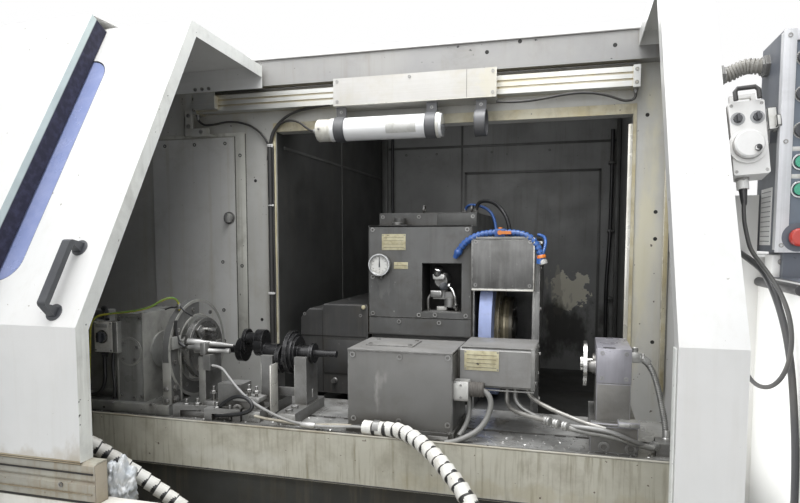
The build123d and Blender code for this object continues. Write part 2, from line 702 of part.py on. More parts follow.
def hatch_panel():
    """Flanged hatch plate with the hole for its quarter-turn latch."""
    left = HATCH_RIGHT_X - HATCH_WIDTH
    y0 = BULKHEAD_Y - HATCH_THICKNESS
    plate = box(left, HATCH_RIGHT_X, y0, BULKHEAD_Y, HATCH_BOTTOM_Z, HATCH_TOP_Z)
    hollow = box(left + HATCH_LAP, HATCH_RIGHT_X - HATCH_LAP, BULKHEAD_Y - HATCH_THICKNESS + 2,
                 BULKHEAD_Y + 1, HATCH_BOTTOM_Z + HATCH_LAP, HATCH_TOP_Z - HATCH_LAP)
    hole = rod_y(CONTROL_STEM_RADIUS + SHAFT_GAP, y0 - 1, BULKHEAD_Y + 1, hatch_knob_x(), HATCH_KNOB_Z)
    return plate - hollow - hole


def hatch_knob():
    """Quarter-turn latch: a bar knob on its stem."""
    y0 = BULKHEAD_Y - HATCH_THICKNESS - SEAT_GAP
    x = hatch_knob_x()
    knob = rod_y(HATCH_KNOB_RADIUS, y0 - 8, y0, x, HATCH_KNOB_Z)
    knob += box(x - 6, x + 6, y0 - 26, y0 - 8, HATCH_KNOB_Z - HATCH_KNOB_RADIUS, HATCH_KNOB_Z + HATCH_KNOB_RADIUS)
    return knob + rod_y(CONTROL_STEM_RADIUS, y0, BULKHEAD_Y + 12, x, HATCH_KNOB_Z)


def front_sill():
    """Folded lower front panel under the door opening."""
    left = LEFT_X + SHEET
    right = PILLAR_LEFT_X
    sill = box(left, right, DOOR_Y, DOOR_Y + SHEET, FOOT_HEIGHT, SILL_TOP_Z)
    sill += box(left, right, DOOR_Y, DOOR_Y + SILL_FLANGE, SILL_TOP_Z - SHEET, SILL_TOP_Z)
    sill += box(left, right, DOOR_Y, DOOR_Y + SILL_FLANGE, FOOT_HEIGHT, FOOT_HEIGHT + SHEET)
    return sill


def lower_rail():
    """Door guide rail with its running groove, and the post that holds the cable gland."""
    top = DOOR_BOTTOM_Z - SEAT_GAP
    front = DOOR_Y
    back = DOOR_Y + RAIL_DEPTH
    groove = SILL_TOP_Z + 58
    outline = [
        (front, SILL_TOP_Z), (back, SILL_TOP_Z), (back, top), (front + 10, top), (front + 3, top - 8),
        (front, groove + 8), (front + RAIL_GROOVE, groove), (front, groove - 8),
    ]
    rail = prism_x(outline, LEFT_X + SHEET, RAIL_END_X)
    post_front = DOOR_Y + DOOR_DEPTH + 12
    post = box(CABLE_POST_X, CABLE_POST_X + 8, post_front, TRAILING_POINTS[-1][1] + 60,
               SILL_TOP_Z, CABLE_POST_Z)
    foot_plate = box(CABLE_POST_X, CABLE_POST_X + 60, back, TRAILING_POINTS[-1][1] + 60,
                     SILL_TOP_Z, SILL_TOP_Z + 8)
    gland = rod_x(TRAILING_DIAMETER / 2 + 8, CABLE_POST_X + 8, TRAILING_POINTS[-1][0],
                  TRAILING_POINTS[-1][1], TRAILING_POINTS[-1][2])
    return Compound([rail, post + foot_plate + gland])


def coolant_trays():
    """Splash gutter in front of the table and the drip pan under it."""
    bottom = GUTTER_TOP_Z - GUTTER_HEIGHT
    right = PILLAR_RIGHT_X - SHEET - 4
    gutter = box(BED_LEFT_X + GUTTER_INSET, right, GUTTER_Y, GUTTER_Y + SHEET, bottom, GUTTER_TOP_Z)
    gutter += box(BED_LEFT_X + GUTTER_INSET, right, GUTTER_Y, GUTTER_Y + GUTTER_LIP, GUTTER_TOP_Z - SHEET, GUTTER_TOP_Z)
    gutter += box(BED_LEFT_X + GUTTER_INSET, right, GUTTER_Y, BED_FRONT_Y, bottom, bottom + SHEET)
    pan_front = DOOR_Y + SILL_FLANGE
    pan = box(BED_LEFT_X, right, pan_front, BED_FRONT_Y, PAN_FLOOR_Z, PAN_FLOOR_Z + PAN_WALL)
    pan -= box(BED_LEFT_X + SHEET, right - SHEET, pan_front + SHEET, BED_FRONT_Y - SHEET,
               PAN_FLOOR_Z + SHEET, PAN_FLOOR_Z + PAN_WALL + 1)
    return Compound([gutter, pan])


def machine_bed():
    """Cast T-shaped bed with the vee and flat ways of the table and the wheelhead's two rails."""
    front_profile = [
        (BED_FRONT_Y, FOOT_HEIGHT), (BED_STEP_Y, FOOT_HEIGHT), (BED_STEP_Y, TABLE_WAY_Z),
        (RIDGE_Y + RIDGE_HALF, TABLE_WAY_Z), (RIDGE_Y, TABLE_WAY_Z + RIDGE_HALF),
        (RIDGE_Y - RIDGE_HALF, TABLE_WAY_Z), (BED_FRONT_Y, TABLE_WAY_Z),
    ]
    bed = prism_x(front_profile, BED_LEFT_X, BED_RIGHT_X)
    rear_right = REAR_BED_LEFT_X + REAR_BED_WIDTH
    rail_base = HEAD_WAY_Z - HEAD_RAIL_HEIGHT
    bed += box(REAR_BED_LEFT_X, rear_right, BED_STEP_Y, REAR_BED_END_Y, FOOT_HEIGHT, rail_base)
    for rail_x in HEAD_RAIL_X:
        bed += box(rail_x, rail_x + HEAD_RAIL_WIDTH, BED_STEP_Y, REAR_BED_END_Y, rail_base, HEAD_WAY_Z)
    return bed


def foot(x, y, anchor_y=0.0):
    """Levelling foot: plate and stem. An anchored foot's plate reaches out to its bolt hole."""
    shift = anchor_y * ANCHOR_REACH / 2
    plate = Pos(x, y + shift, FOOT_PLATE_THICKNESS / 2) * Box(FOOT_PLATE_X, FOOT_PLATE_Y, FOOT_PLATE_THICKNESS)
    pad = plate + rod_z(FOOT_STEM_RADIUS, FOOT_PLATE_THICKNESS, FOOT_HEIGHT, x, y)
    if anchor_y:
        hole_y = y + anchor_y * (ANCHOR_REACH / 2 + FOOT_PLATE_Y / 2 - ANCHOR_EDGE)
        pad -= rod_z(ANCHOR_HOLE_RADIUS, -1, FOOT_PLATE_THICKNESS + 1, x, hole_y)
    return pad


def levelling_feet():
    """Anchored feet at the corners of the front bed, plain feet under the rest."""
    left = BED_LEFT_X + ANCHOR_INSET_X
    right = BED_RIGHT_X - ANCHOR_INSET_X
    front = BED_FRONT_Y + ANCHOR_INSET_Y
    back = BED_STEP_Y - ANCHOR_INSET_Y
    feet = [foot(left, front, -1), foot(right, front, -1), foot(left, back, 1), foot(right, back, 1)]
    rear_right = REAR_BED_LEFT_X + REAR_BED_WIDTH
    for x in (REAR_BED_LEFT_X + ANCHOR_INSET_X, rear_right - ANCHOR_INSET_X):
        for y in (0.0, REAR_BED_END_Y - 100):
            feet.append(foot(x, y))
    sill_y = DOOR_Y + SILL_FLANGE / 2
    feet.append(foot(LEFT_X + ANCHOR_INSET_X, sill_y))
    feet.append(foot(RIGHT_X - ANCHOR_INSET_X, sill_y))
    return Compound(feet)


def table():
    """Table with T slot, running on the bed's vee and flat ways."""
    bottom = TABLE_WAY_Z + SEAT_GAP
    back = TABLE_FRONT_Y + TABLE_DEPTH
    profile = [
        (TABLE_FRONT_Y, bottom), (RIDGE_Y - RIDGE_HALF, bottom), (RIDGE_Y, bottom + RIDGE_HALF),
        (RIDGE_Y + RIDGE_HALF, bottom), (back, bottom), (back, TABLE_TOP_Z), (TABLE_FRONT_Y, TABLE_TOP_Z),
    ]
    right = TABLE_LEFT_X + TABLE_LENGTH
    plate = prism_x(profile, TABLE_LEFT_X, right)
    slot_bottom = TABLE_TOP_Z - SLOT_DEPTH
    plate -= box(TABLE_LEFT_X - 1, right + 1, SLOT_Y - SLOT_WIDTH / 2, SLOT_Y + SLOT_WIDTH / 2,
                 slot_bottom, TABLE_TOP_Z + 1)
    plate -= box(TABLE_LEFT_X - 1, right + 1, SLOT_Y - SLOT_FOOT / 2, SLOT_Y + SLOT_FOOT / 2,
                 slot_bottom, slot_bottom + SLOT_FOOT_HEIGHT)
    return plate


def headstock_housing():
    """Headstock casting on its base plate, with the motor casing and the switch box."""
    left = HEAD_FACE_X - HEAD_LENGTH
    back = HEAD_FRONT_Y + HEAD_DEPTH
    bottom = TABLE_TOP_Z + HEAD_BASE_HEIGHT
    casting = box(left, HEAD_FACE_X, HEAD_FRONT_Y, back, bottom, HEAD_TOP_Z)
    corner = casting.edges().filter_by(Axis.Z).group_by(Axis.Y)[0].sort_by(Axis.X)[-1]
    casting = fillet(corner, HEAD_CORNER)
    casting = chamfer(casting.faces().sort_by(Axis.Z)[-1].edges().filter_by(Axis.X), 10)
    casting += rod_x(HEAD_BOSS_RADIUS, HEAD_FACE_X, HEAD_FACE_X + HEAD_BOSS_HEIGHT, HEAD_BOSS_Y, WORK_Z)
    casting += rod_x(SPINDLE_RADIUS + 22, HEAD_FACE_X, HEAD_FACE_X + 40, WORK_Y, WORK_Z)
    motor_left = left - MOTOR_LENGTH
    casting += box(motor_left, left, HEAD_FRONT_Y + 12, back - 20, MOTOR_BOTTOM_Z, MOTOR_TOP_Z)
    base = box(motor_left - 30, GUARD_X, TABLE_FRONT_Y + 8, TABLE_FRONT_Y + TABLE_DEPTH - 10,
               TABLE_TOP_Z, bottom)
    casting += base
    casting += box(motor_left + 10, left, HEAD_FRONT_Y + 40, back - 40, bottom, MOTOR_BOTTOM_Z)
    switch_left = SWITCH_BOX_RIGHT_X - SWITCH_BOX_WIDTH
    front = HEAD_FRONT_Y - SWITCH_BOX_DEPTH + 12
    casting += box(switch_left, SWITCH_BOX_RIGHT_X, front, HEAD_FRONT_Y + 12,
                   SWITCH_BOX_TOP_Z - SWITCH_BOX_HEIGHT, SWITCH_BOX_TOP_Z)
    casting -= rod_x(SPINDLE_RADIUS + SHAFT_GAP, HEAD_FACE_X - SPINDLE_SOCKET, HEAD_FACE_X + 41, WORK_Y, WORK_Z)
    knob_x, knob_z = mode_knob_centre()
    return casting - rod_y(CONTROL_STEM_RADIUS + SHAFT_GAP, front - 1, front + 10, knob_x, knob_z)


def mode_knob_centre():
    return SWITCH_BOX_RIGHT_X - SWITCH_BOX_WIDTH * 0.67, SWITCH_BOX_TOP_Z - SWITCH_BOX_HEIGHT * 0.5


def bar_knob(x, front, z, radius, depth, stem=8.0):
    """Round knob with a raised grip bar, facing the operator, on its stem."""
    back = front - SEAT_GAP
    knob = rod_y(radius, back - depth * 0.45, back, x, z)
    knob += box(x - radius * 0.3, x + radius * 0.3, back - depth, back - depth * 0.45,
                z - radius * 0.92, z + radius * 0.92)
    return knob + rod_y(CONTROL_STEM_RADIUS, back, front + stem, x, z)


def mode_knob():
    x, z = mode_knob_centre()
    front = HEAD_FRONT_Y - SWITCH_BOX_DEPTH + 12
    return bar_knob(x, front, z, MODE_KNOB_RADIUS, 22.0)


def headstock_guard():
    """Half-round splash ring on two legs in front of the face plate."""
    bottom = TABLE_TOP_Z + HEAD_BASE_HEIGHT
    ring = rod_x(GUARD_RADIUS, GUARD_X - GUARD_THICKNESS, GUARD_X, WORK_Y, WORK_Z)
    ring -= box(GUARD_X - GUARD_THICKNESS - 1, GUARD_X + 1, WORK_Y + 10, WORK_Y + GUARD_RADIUS + 1,
                WORK_Z - GUARD_RADIUS - 1, WORK_Z + GUARD_RADIUS + 1)
    leg_front = WORK_Y - GUARD_RADIUS + 6
    ring += box(GUARD_X - GUARD_THICKNESS, GUARD_X, leg_front, leg_front + GUARD_LEG_WIDTH, bottom, WORK_Z)
    ring += box(GUARD_X - GUARD_THICKNESS, GUARD_X, WORK_Y - GUARD_LEG_WIDTH, WORK_Y + 10, bottom, WORK_Z)
    ring -= box(GUARD_X - GUARD_THICKNESS - 1, GUARD_X + 1, WORK_Y - GUARD_RADIUS, WORK_Y + GUARD_RADIUS,
                WORK_Z - GUARD_RADIUS - 1, bottom)
    return ring - rod_x(GUARD_BORE, GUARD_X - GUARD_THICKNESS - 1, GUARD_X + 1, WORK_Y, WORK_Z)


def face_driver():
    """Work spindle: journal, face plate, driver nose with its centre, and the drive pin."""
    front = FACEPLATE_X + FACEPLATE_THICKNESS
    spindle = rod_x(SPINDLE_RADIUS, HEAD_FACE_X - SPINDLE_SOCKET + SEAT_GAP, FACEPLATE_X, WORK_Y, WORK_Z)
    spindle += rod_x(FACEPLATE_RADIUS, FACEPLATE_X, front, WORK_Y, WORK_Z)
    spindle += rod_x(DRIVER_RADIUS, front, front + DRIVER_LENGTH, WORK_Y, WORK_Z)
    spindle += rod_x(DRIVE_PIN_RADIUS, front, front + DRIVE_PIN_LENGTH, WORK_Y, WORK_Z + DRIVE_PIN_OFFSET)
    return spindle


def crankshaft():
    """Crankshaft in the rough: shaft, flange, pins, webs, journals and snout."""
    def disc(radius, x0, x1, dz=0.0):
        return rod_x(radius, x0, x1, WORK_Y, WORK_Z + dz)

    def web(x0, x1, dz, radius):
        cheek = disc(radius, x0, x1, dz * 0.5)
        cheek += disc(CRANK_PIN_RADIUS + 12, x0, x1, dz)
        return cheek

    shaft = disc(CRANK_SHAFT_RADIUS, SHAFT_LEFT_X, -335)
    shaft += disc(40, -335, -313)
    shaft += web(-313, -302, CRANK_THROW, 34)
    shaft += disc(CRANK_PIN_RADIUS, -302, -268, CRANK_THROW)
    shaft += web(-268, -238, CRANK_THROW, 38)
    shaft += disc(CRANK_JOURNAL_RADIUS, -238, -190)
    shaft += web(-190, -176, -CRANK_THROW, 40)
    shaft += disc(CRANK_PIN_RADIUS, -176, -146, -CRANK_THROW)
    shaft += disc(72, -146, -133)
    shaft += disc(62, -133, -122)
    shaft += disc(52, -122, -115)
    shaft += disc(CRANK_JOURNAL_RADIUS, -115, -71)
    shaft += disc(33, -71, -60)
    shaft += disc(CRANK_SNOUT_RADIUS, -60, 16)
    return shaft


def vee_rest(x):
    """Cross bar on the table with a post whose vee holds a journal."""
    base_back = TABLE_FRONT_Y + 26 + REST_BASE_DEPTH
    half = REST_BASE_WIDTH / 2
    rest = box(x - half, x + half, TABLE_FRONT_Y + 26, base_back, TABLE_TOP_Z, TABLE_TOP_Z + REST_BASE_HEIGHT)
    top = WORK_Z - 8
    y0 = WORK_Y - REST_DEPTH / 2
    y1 = WORK_Y + REST_DEPTH / 2
    seat = (CRANK_JOURNAL_RADIUS + VEE_GAP) * 2 ** 0.5
    mouth = top - (WORK_Z - seat)
    profile = [
        (y0, TABLE_TOP_Z + REST_BASE_HEIGHT), (y1, TABLE_TOP_Z + REST_BASE_HEIGHT), (y1, top),
        (WORK_Y + mouth, top), (WORK_Y, WORK_Z - seat), (WORK_Y - mouth, top), (y0, top),
    ]
    return rest + prism_x(profile, x - REST_WIDTH / 2, x + REST_WIDTH / 2)


def clamp_bar(x, y, turn):
    """Slotted clamp bar with its heel block, lying on the table."""
    length = 118.0
    bar = Box(length, 34, 16) - Pos(0, 0, 6) * Box(length * 0.55, 14, 16)
    bar += Pos(length / 2 - 12, 0, -20) * Box(24, 34, 24)
    bar += Pos(-length / 2 + 12, 0, -20) * Box(24, 34, 24)
    return Pos(x, y, TABLE_TOP_Z + 32) * Rot(0, 0, turn) * bar


def v_rests():
    """The two rests and the clamping pieces beside them."""
    front = WORK_Y - STOP_BLOCK_REACH
    lug = box(STOP_BLOCK_X, STOP_BLOCK_X + STOP_BLOCK_WIDTH, front, front + STOP_BLOCK_DEPTH, TABLE_TOP_Z,
              TABLE_TOP_Z + STOP_BLOCK_HEIGHT)
    lug += box(STOP_BLOCK_X, STOP_BLOCK_X + STOP_BLOCK_WIDTH, front + STOP_BLOCK_DEPTH, WORK_Y - 20, TABLE_TOP_Z,
               TABLE_TOP_Z + STOP_BLOCK_STEP)
    plate = box(-420, -398, WORK_Y - 118, WORK_Y - 20, TABLE_TOP_Z, TABLE_TOP_Z + 190)
    signal_end = SIGNAL_POINTS[-1]
    arm = box(signal_end[0] - 26, signal_end[0], WORK_Y - 130, WORK_Y - 80, TABLE_TOP_Z + 150, TABLE_TOP_Z + 200)
    return Compound([
        vee_rest(REST_LEFT_X), vee_rest(REST_RIGHT_X), lug, plate + arm,
        clamp_bar(-430, -846, 12), clamp_bar(-306, -860, 8),
    ])


def tailstock_housing():
    """Tailstock casting with its front cover plate, base and clamping cylinder."""
    right = TAIL_LEFT_X + TAIL_WIDTH
    back = TAIL_FRONT_Y + TAIL_DEPTH
    bottom = TABLE_TOP_Z + TAIL_BASE_HEIGHT
    casting = box(TAIL_LEFT_X, right, TAIL_FRONT_Y + TAIL_COVER, back, bottom, TAIL_TOP_Z - TAIL_COVER)
    casting += box(TAIL_LEFT_X, right, TAIL_FRONT_Y, TAIL_FRONT_Y + TAIL_COVER, bottom, TAIL_TOP_Z)
    casting += box(TAIL_LEFT_X + 20, right - 20, TAIL_FRONT_Y + 30, back - 30, TAIL_TOP_Z - TAIL_COVER, TAIL_TOP_Z)
    casting += box(TAIL_LEFT_X - 4, right + 4, TABLE_FRONT_Y + 12, TABLE_FRONT_Y + TABLE_DEPTH - 30,
                   TABLE_TOP_Z, bottom)
    y0 = WORK_Y - CYLINDER_DEPTH / 2
    y1 = WORK_Y + CYLINDER_DEPTH / 2
    z0 = WORK_Z - CYLINDER_HEIGHT / 2
    z1 = WORK_Z + CYLINDER_HEIGHT / 2
    casting += box(right, right + CYLINDER_FLANGE, y0 + 14, y1 - 14, z0 + 10, z1 - 10)
    start = right + CYLINDER_FLANGE
    cylinder = box(start, start + CYLINDER_LENGTH, y0, y1, z0, z1)
    casting += chamfer(cylinder.edges().filter_by(Axis.X), 8)
    bore = rod_x(QUILL_RADIUS + SHAFT_GAP, TAIL_LEFT_X - 1, TAIL_LEFT_X + QUILL_BORE_LENGTH, WORK_Y, WORK_Z)
    return casting - bore


def tailstock_quill():
    """Sliding quill with its sixty-degree centre."""
    cone = QUILL_RADIUS / tan(radians(30))
    shank_x = QUILL_TIP_X + cone
    quill = rod_x(QUILL_RADIUS, shank_x, QUILL_TIP_X + QUILL_LENGTH, WORK_Y, WORK_Z)
    point = Pos(QUILL_TIP_X + cone / 2, WORK_Y, WORK_Z) * Rot(0, -90, 0) * Cone(QUILL_RADIUS, 0.5, cone)
    return quill + point


def table_fittings():
    """Limit switch, clamp lug, cable clip, manifold, pipes and hoses on the table."""
    front = TAIL_FRONT_Y + 20
    switch = box(SWITCH_X, SWITCH_X + LIMIT_WIDTH, front, front + LIMIT_DEPTH, LIMIT_BOTTOM_Z,
                 LIMIT_BOTTOM_Z + LIMIT_HEIGHT)
    switch += rod_x(LIMIT_PLUG_RADIUS, SWITCH_X + LIMIT_WIDTH, SWITCH_X + LIMIT_WIDTH + LIMIT_PLUG_LENGTH,
                    front + LIMIT_DEPTH / 2, LIMIT_BOTTOM_Z + LIMIT_PLUG_RISE)
    lug = box(368, 424, TABLE_FRONT_Y - 10, TABLE_FRONT_Y, TABLE_TOP_Z - 46, TABLE_TOP_Z + 14)
    clip_y, clip_z = TRAILING_POINTS[0][1:]
    clip_radius = TRAILING_DIAMETER / 2 + 0.6
    clip = rod_x(clip_radius + 4, 208, 226, clip_y, clip_z)
    clip -= rod_x(clip_radius, 207, 227, clip_y, clip_z)
    clip -= box(207, 227, clip_y - 40, clip_y + 40, clip_z - 40, clip_z)
    clip += box(208, 226, clip_y + clip_radius, TAIL_FRONT_Y, clip_z, clip_z + 6)
    right = TABLE_LEFT_X + TABLE_LENGTH
    manifold = box(right - 60, right - 4, -850, -790, TABLE_TOP_Z, TABLE_TOP_Z + 34)
    pipes = pipe_run("pipe_front", [(600, -760, WORK_Z - CYLINDER_HEIGHT / 2), (600, -760, 985), (616, -766, 965),
                                    (660, -790, 946), (712, -822, 940), (762, -862, 946), (812, -880, 950),
                                    (866, -881, 944), (914, -878, 924), (958, -856, 904),
                                    (right - 60, -830, 897)], HOSE_DIAMETER)
    dresser_side = DRESSER_X + DRESSER_WIDTH
    hose = pipe_run("dresser_hose", [(dresser_side + 26, -780, 1130), (dresser_side + 46, -784, 1118),
                                     (dresser_side + 62, -792, 1090), (dresser_side + 74, -800, 1050),
                                     (dresser_side + 84, -806, 1000), (dresser_side + 92, -810, 960),
                                     (dresser_side + 96, -812, 914)], HOSE_DIAMETER)
    fitting = rod_x(11, dresser_side, dresser_side + 26, -780, 1130)
    return Compound([switch, lug, clip, manifold + pipes + hose + fitting])


def pipe_run(name, points, diameter):
    return tube_along(name, points, diameter)


def dresser_head():
    """Rotary dresser body on its base block, bored for the disc's spindle."""
    back = DRESSER_FRONT_Y + DRESSER_DEPTH
    base_top = TABLE_TOP_Z + DRESSER_BASE_HEIGHT
    body = box(DRESSER_X, DRESSER_X + DRESSER_WIDTH, DRESSER_FRONT_Y, back, base_top, DRESSER_TOP_Z)
    body = chamfer(body.faces().sort_by(Axis.Z)[-1].edges().filter_by(Axis.Y), 5)
    body += box(DRESSER_BASE_X, DRESSER_BASE_X + DRESSER_BASE_WIDTH, TAIL_FRONT_Y, back + 40,
                TABLE_TOP_Z, base_top)
    body += rod_x(DRESSER_QUILL_RADIUS + 12, DRESSER_X - 8, DRESSER_X, WORK_Y, DRESSER_Z)
    return body - rod_x(DRESSER_QUILL_RADIUS + SHAFT_GAP, DRESSER_X - 9, DRESSER_X + DRESSER_SOCKET,
                        WORK_Y, DRESSER_Z)


def dresser_disc():
    """Diamond disc on its spindle."""
    disc_right = DRESSER_X - DRESSER_QUILL_REACH
    disc = rod_x(DRESSER_DISC_RADIUS, disc_right - DRESSER_DISC_THICKNESS, disc_right, WORK_Y, DRESSER_Z)
    disc += rod_x(22, disc_right - DRESSER_DISC_THICKNESS - 8, disc_right - DRESSER_DISC_THICKNESS,
                  WORK_Y, DRESSER_Z)
    return disc + rod_x(DRESSER_QUILL_RADIUS, disc_right, DRESSER_X + DRESSER_SOCKET - SEAT_GAP,
                        WORK_Y, DRESSER_Z)


def wheelhead_housing():
    """Cast wheelhead with its raised rear, window bay, seam and spindle bore."""
    right = HEAD_X + WHEELHEAD_WIDTH
    back = WHEELHEAD_FRONT_Y + WHEELHEAD_DEPTH
    casting = box(HEAD_X, right, WHEELHEAD_FRONT_Y, back, WHEELHEAD_BOTTOM_Z, WHEELHEAD_TOP_Z)
    casting = chamfer(casting.edges().filter_by(Axis.Z).group_by(Axis.Y)[0], 6)
    casting += box(HEAD_X + 10, right, WHEELHEAD_FRONT_Y + SKIRT_SETBACK, back,
                   WHEELHEAD_BOTTOM_Z - WHEELHEAD_SKIRT, WHEELHEAD_BOTTOM_Z)
    casting += box(HEAD_X + 20, right, WHEELHEAD_FRONT_Y + UPPER_BOX_SETBACK, back,
                   WHEELHEAD_TOP_Z, WHEELHEAD_TOP_Z + UPPER_BOX_HEIGHT)
    casting += rod_z(BREATHER_RADIUS, WHEELHEAD_TOP_Z, WHEELHEAD_TOP_Z + 34, HEAD_X + 118,
                     WHEELHEAD_FRONT_Y + UPPER_BOX_SETBACK - BREATHER_RADIUS - 6)
    casting -= box(WINDOW_BAY_X, WINDOW_BAY_X + WINDOW_BAY_WIDTH, WHEELHEAD_FRONT_Y - 1,
                   WHEELHEAD_FRONT_Y + WINDOW_BAY_DEPTH, WINDOW_BAY_BOTTOM_Z,
                   WINDOW_BAY_BOTTOM_Z + WINDOW_BAY_HEIGHT)
    casting -= box(HEAD_X - 1, right + 1, WHEELHEAD_FRONT_Y - 1, WHEELHEAD_FRONT_Y + SEAM_DEPTH,
                   SEAM_Z - SEAM_WIDTH / 2, SEAM_Z + SEAM_WIDTH / 2)
    return casting - rod_x(WHEEL_SPINDLE_RADIUS + SHAFT_GAP, right - SPINDLE_BORE_DEPTH, right + 1,
                           WHEEL_Y, WHEEL_Z)


def wheelhead_slide():
    """Saddle that runs on the bed's two rails and carries the wheelhead."""
    right = SADDLE_LEFT_X + SADDLE_WIDTH
    back = WHEELHEAD_FRONT_Y + WHEELHEAD_DEPTH
    rail_base = HEAD_WAY_Z - HEAD_RAIL_HEIGHT
    saddle = box(SADDLE_LEFT_X, right, WHEELHEAD_FRONT_Y, back, rail_base + 4, HEAD_WAY_Z + 50)
    saddle += box(HEAD_X + 10, HEAD_X + WHEELHEAD_WIDTH - 40, WHEELHEAD_FRONT_Y + 20, back,
                  HEAD_WAY_Z + 50, WHEELHEAD_BOTTOM_Z - WHEELHEAD_SKIRT)
    for rail_x in HEAD_RAIL_X:
        saddle -= box(rail_x - SEAT_GAP, rail_x + HEAD_RAIL_WIDTH + SEAT_GAP, WHEELHEAD_FRONT_Y - 1, back + 1,
                      rail_base - 1, HEAD_WAY_Z + SEAT_GAP)
    return saddle


def belt_cover():
    """Stepped cover over motor and belt, chamfered on its outer top edge."""
    left = BELT_COVER_X
    right = left + BELT_COVER_WIDTH
    low_top = BELT_COVER_TOP_Z - BELT_COVER_STEP_Z
    step_x = left + BELT_COVER_STEP_X
    outline = [
        (left, BELT_COVER_BOTTOM_Z), (right, BELT_COVER_BOTTOM_Z), (right, BELT_COVER_TOP_Z),
        (step_x + 6, BELT_COVER_TOP_Z), (step_x, low_top), (left + BELT_COVER_CHAMFER, low_top),
        (left, low_top - BELT_COVER_CHAMFER),
    ]
    cover = prism_y(outline, WHEELHEAD_FRONT_Y, WHEELHEAD_FRONT_Y + BELT_COVER_DEPTH)
    cover = chamfer(cover.faces().sort_by(Axis.Y)[0].edges().filter_by(Axis.X).sort_by(Axis.Z)[-2:], 5)
    bracket = box(right, HEAD_X, WHEELHEAD_FRONT_Y + 80, WHEELHEAD_FRONT_Y + 400,
                  WHEELHEAD_BOTTOM_Z + 10, BELT_COVER_TOP_Z - 30)
    return cover + bracket


def guard_mouth_z():
    """Top of the guard's mouth, just above the wheel where it passes the front plate."""
    depth = WHEEL_Y - WHEEL_GUARD_FRONT_Y - WHEEL_GUARD_WALL
    return WHEEL_Z + sqrt((WHEEL_DIAMETER / 2 + 4) ** 2 - depth ** 2)


def wheel_guard():
    """Guard box round the wheel, open at the lower front, with the raised side plate."""
    left = GUARD_LEFT_X
    right = left + WHEEL_GUARD_WIDTH
    reach = WHEEL_DIAMETER / 2 + WHEEL_GUARD_CLEARANCE
    wall = WHEEL_GUARD_WALL
    back = WHEEL_Y + reach + wall
    bottom = WHEEL_Z - reach - wall
    mouth_z = guard_mouth_z()
    shell = box(left, right, WHEEL_GUARD_FRONT_Y, back, bottom, WHEEL_GUARD_TOP_Z)
    shell = fillet(shell.edges().filter_by(Axis.X).group_by(Axis.Y)[-1], WHEEL_GUARD_CORNER)
    hollow = box(left + wall, right - wall, WHEEL_GUARD_FRONT_Y + wall, back - wall, bottom + wall,
                 WHEEL_GUARD_TOP_Z - wall)
    shell -= hollow
    shell -= box(left + wall, right - wall, WHEEL_GUARD_FRONT_Y - 1, WHEEL_GUARD_FRONT_Y + wall + 1,
                 bottom + wall, mouth_z)
    shell -= rod_x(WHEEL_SPINDLE_RADIUS + 12, left - 1, left + wall + 1, WHEEL_Y, WHEEL_Z)
    plate = box(right, right + GUARD_PLATE_X, WHEEL_GUARD_FRONT_Y, WHEEL_Y + 60, WHEEL_Z - 20,
                WHEEL_GUARD_TOP_Z - 12)
    foot_left = box(HEAD_X + WHEELHEAD_WIDTH, left, WHEELHEAD_FRONT_Y + 20, WHEEL_Y + 200,
                    mouth_z + 20, WHEEL_GUARD_TOP_Z - 60)
    return shell + plate + foot_left


def grinding_wheel():
    wheel = rod_x(WHEEL_DIAMETER / 2, WHEEL_LEFT_X, WHEEL_LEFT_X + WHEEL_WIDTH, WHEEL_Y, WHEEL_Z)
    return wheel - rod_x(WHEEL_BORE / 2, WHEEL_LEFT_X - 1, WHEEL_LEFT_X + WHEEL_WIDTH + 1, WHEEL_Y, WHEEL_Z)


def wheel_hub():
    """Wheel flanges on the spindle, with the balancing nose outside."""
    wheel_right = WHEEL_LEFT_X + WHEEL_WIDTH
    socket = HEAD_X + WHEELHEAD_WIDTH - SPINDLE_BORE_DEPTH + SEAT_GAP
    hub = rod_x(HUB_LIP_RADIUS, WHEEL_LEFT_X - HUB_LIP, WHEEL_LEFT_X, WHEEL_Y, WHEEL_Z)
    hub += rod_x(WHEEL_BORE / 2 - SEAT_GAP, WHEEL_LEFT_X, wheel_right, WHEEL_Y, WHEEL_Z)
    hub += rod_x(HUB_LIP_RADIUS, wheel_right, wheel_right + HUB_LIP, WHEEL_Y, WHEEL_Z)
    hub += rod_x(HUB_NOSE_RADIUS, wheel_right + HUB_LIP, wheel_right + HUB_LIP + HUB_NOSE_LENGTH, WHEEL_Y, WHEEL_Z)
    return hub + rod_x(WHEEL_SPINDLE_RADIUS, socket, WHEEL_LEFT_X - HUB_LIP, WHEEL_Y, WHEEL_Z)


def gauge_body():
    """Pressure gauge case with its recessed dial."""
    y1 = WHEELHEAD_FRONT_Y
    y0 = y1 - GAUGE_DEPTH
    case = rod_y(GAUGE_RADIUS, y0, y1, GAUGE_X, GAUGE_Z)
    case -= rod_y(GAUGE_RADIUS - 5, y0 - 1, y0 + GAUGE_RECESS, GAUGE_X, GAUGE_Z)
    return case - rod_y(NEEDLE_PIVOT_RADIUS + SHAFT_GAP, y0, y0 + GAUGE_RECESS + 8, GAUGE_X, GAUGE_Z)


def gauge_needle():
    """Tapered needle on its pivot."""
    dial = WHEELHEAD_FRONT_Y - GAUGE_DEPTH + GAUGE_RECESS
    pointer = prism_y([(GAUGE_X - 3, GAUGE_Z - 10), (GAUGE_X + 3, GAUGE_Z - 10), (GAUGE_X + 1, GAUGE_Z + NEEDLE_LENGTH),
                       (GAUGE_X - 1, GAUGE_Z + NEEDLE_LENGTH)], dial - 3, dial - 1.5)
    return pointer + rod_y(NEEDLE_PIVOT_RADIUS, dial - 3.5, dial + 7, GAUGE_X, GAUGE_Z)


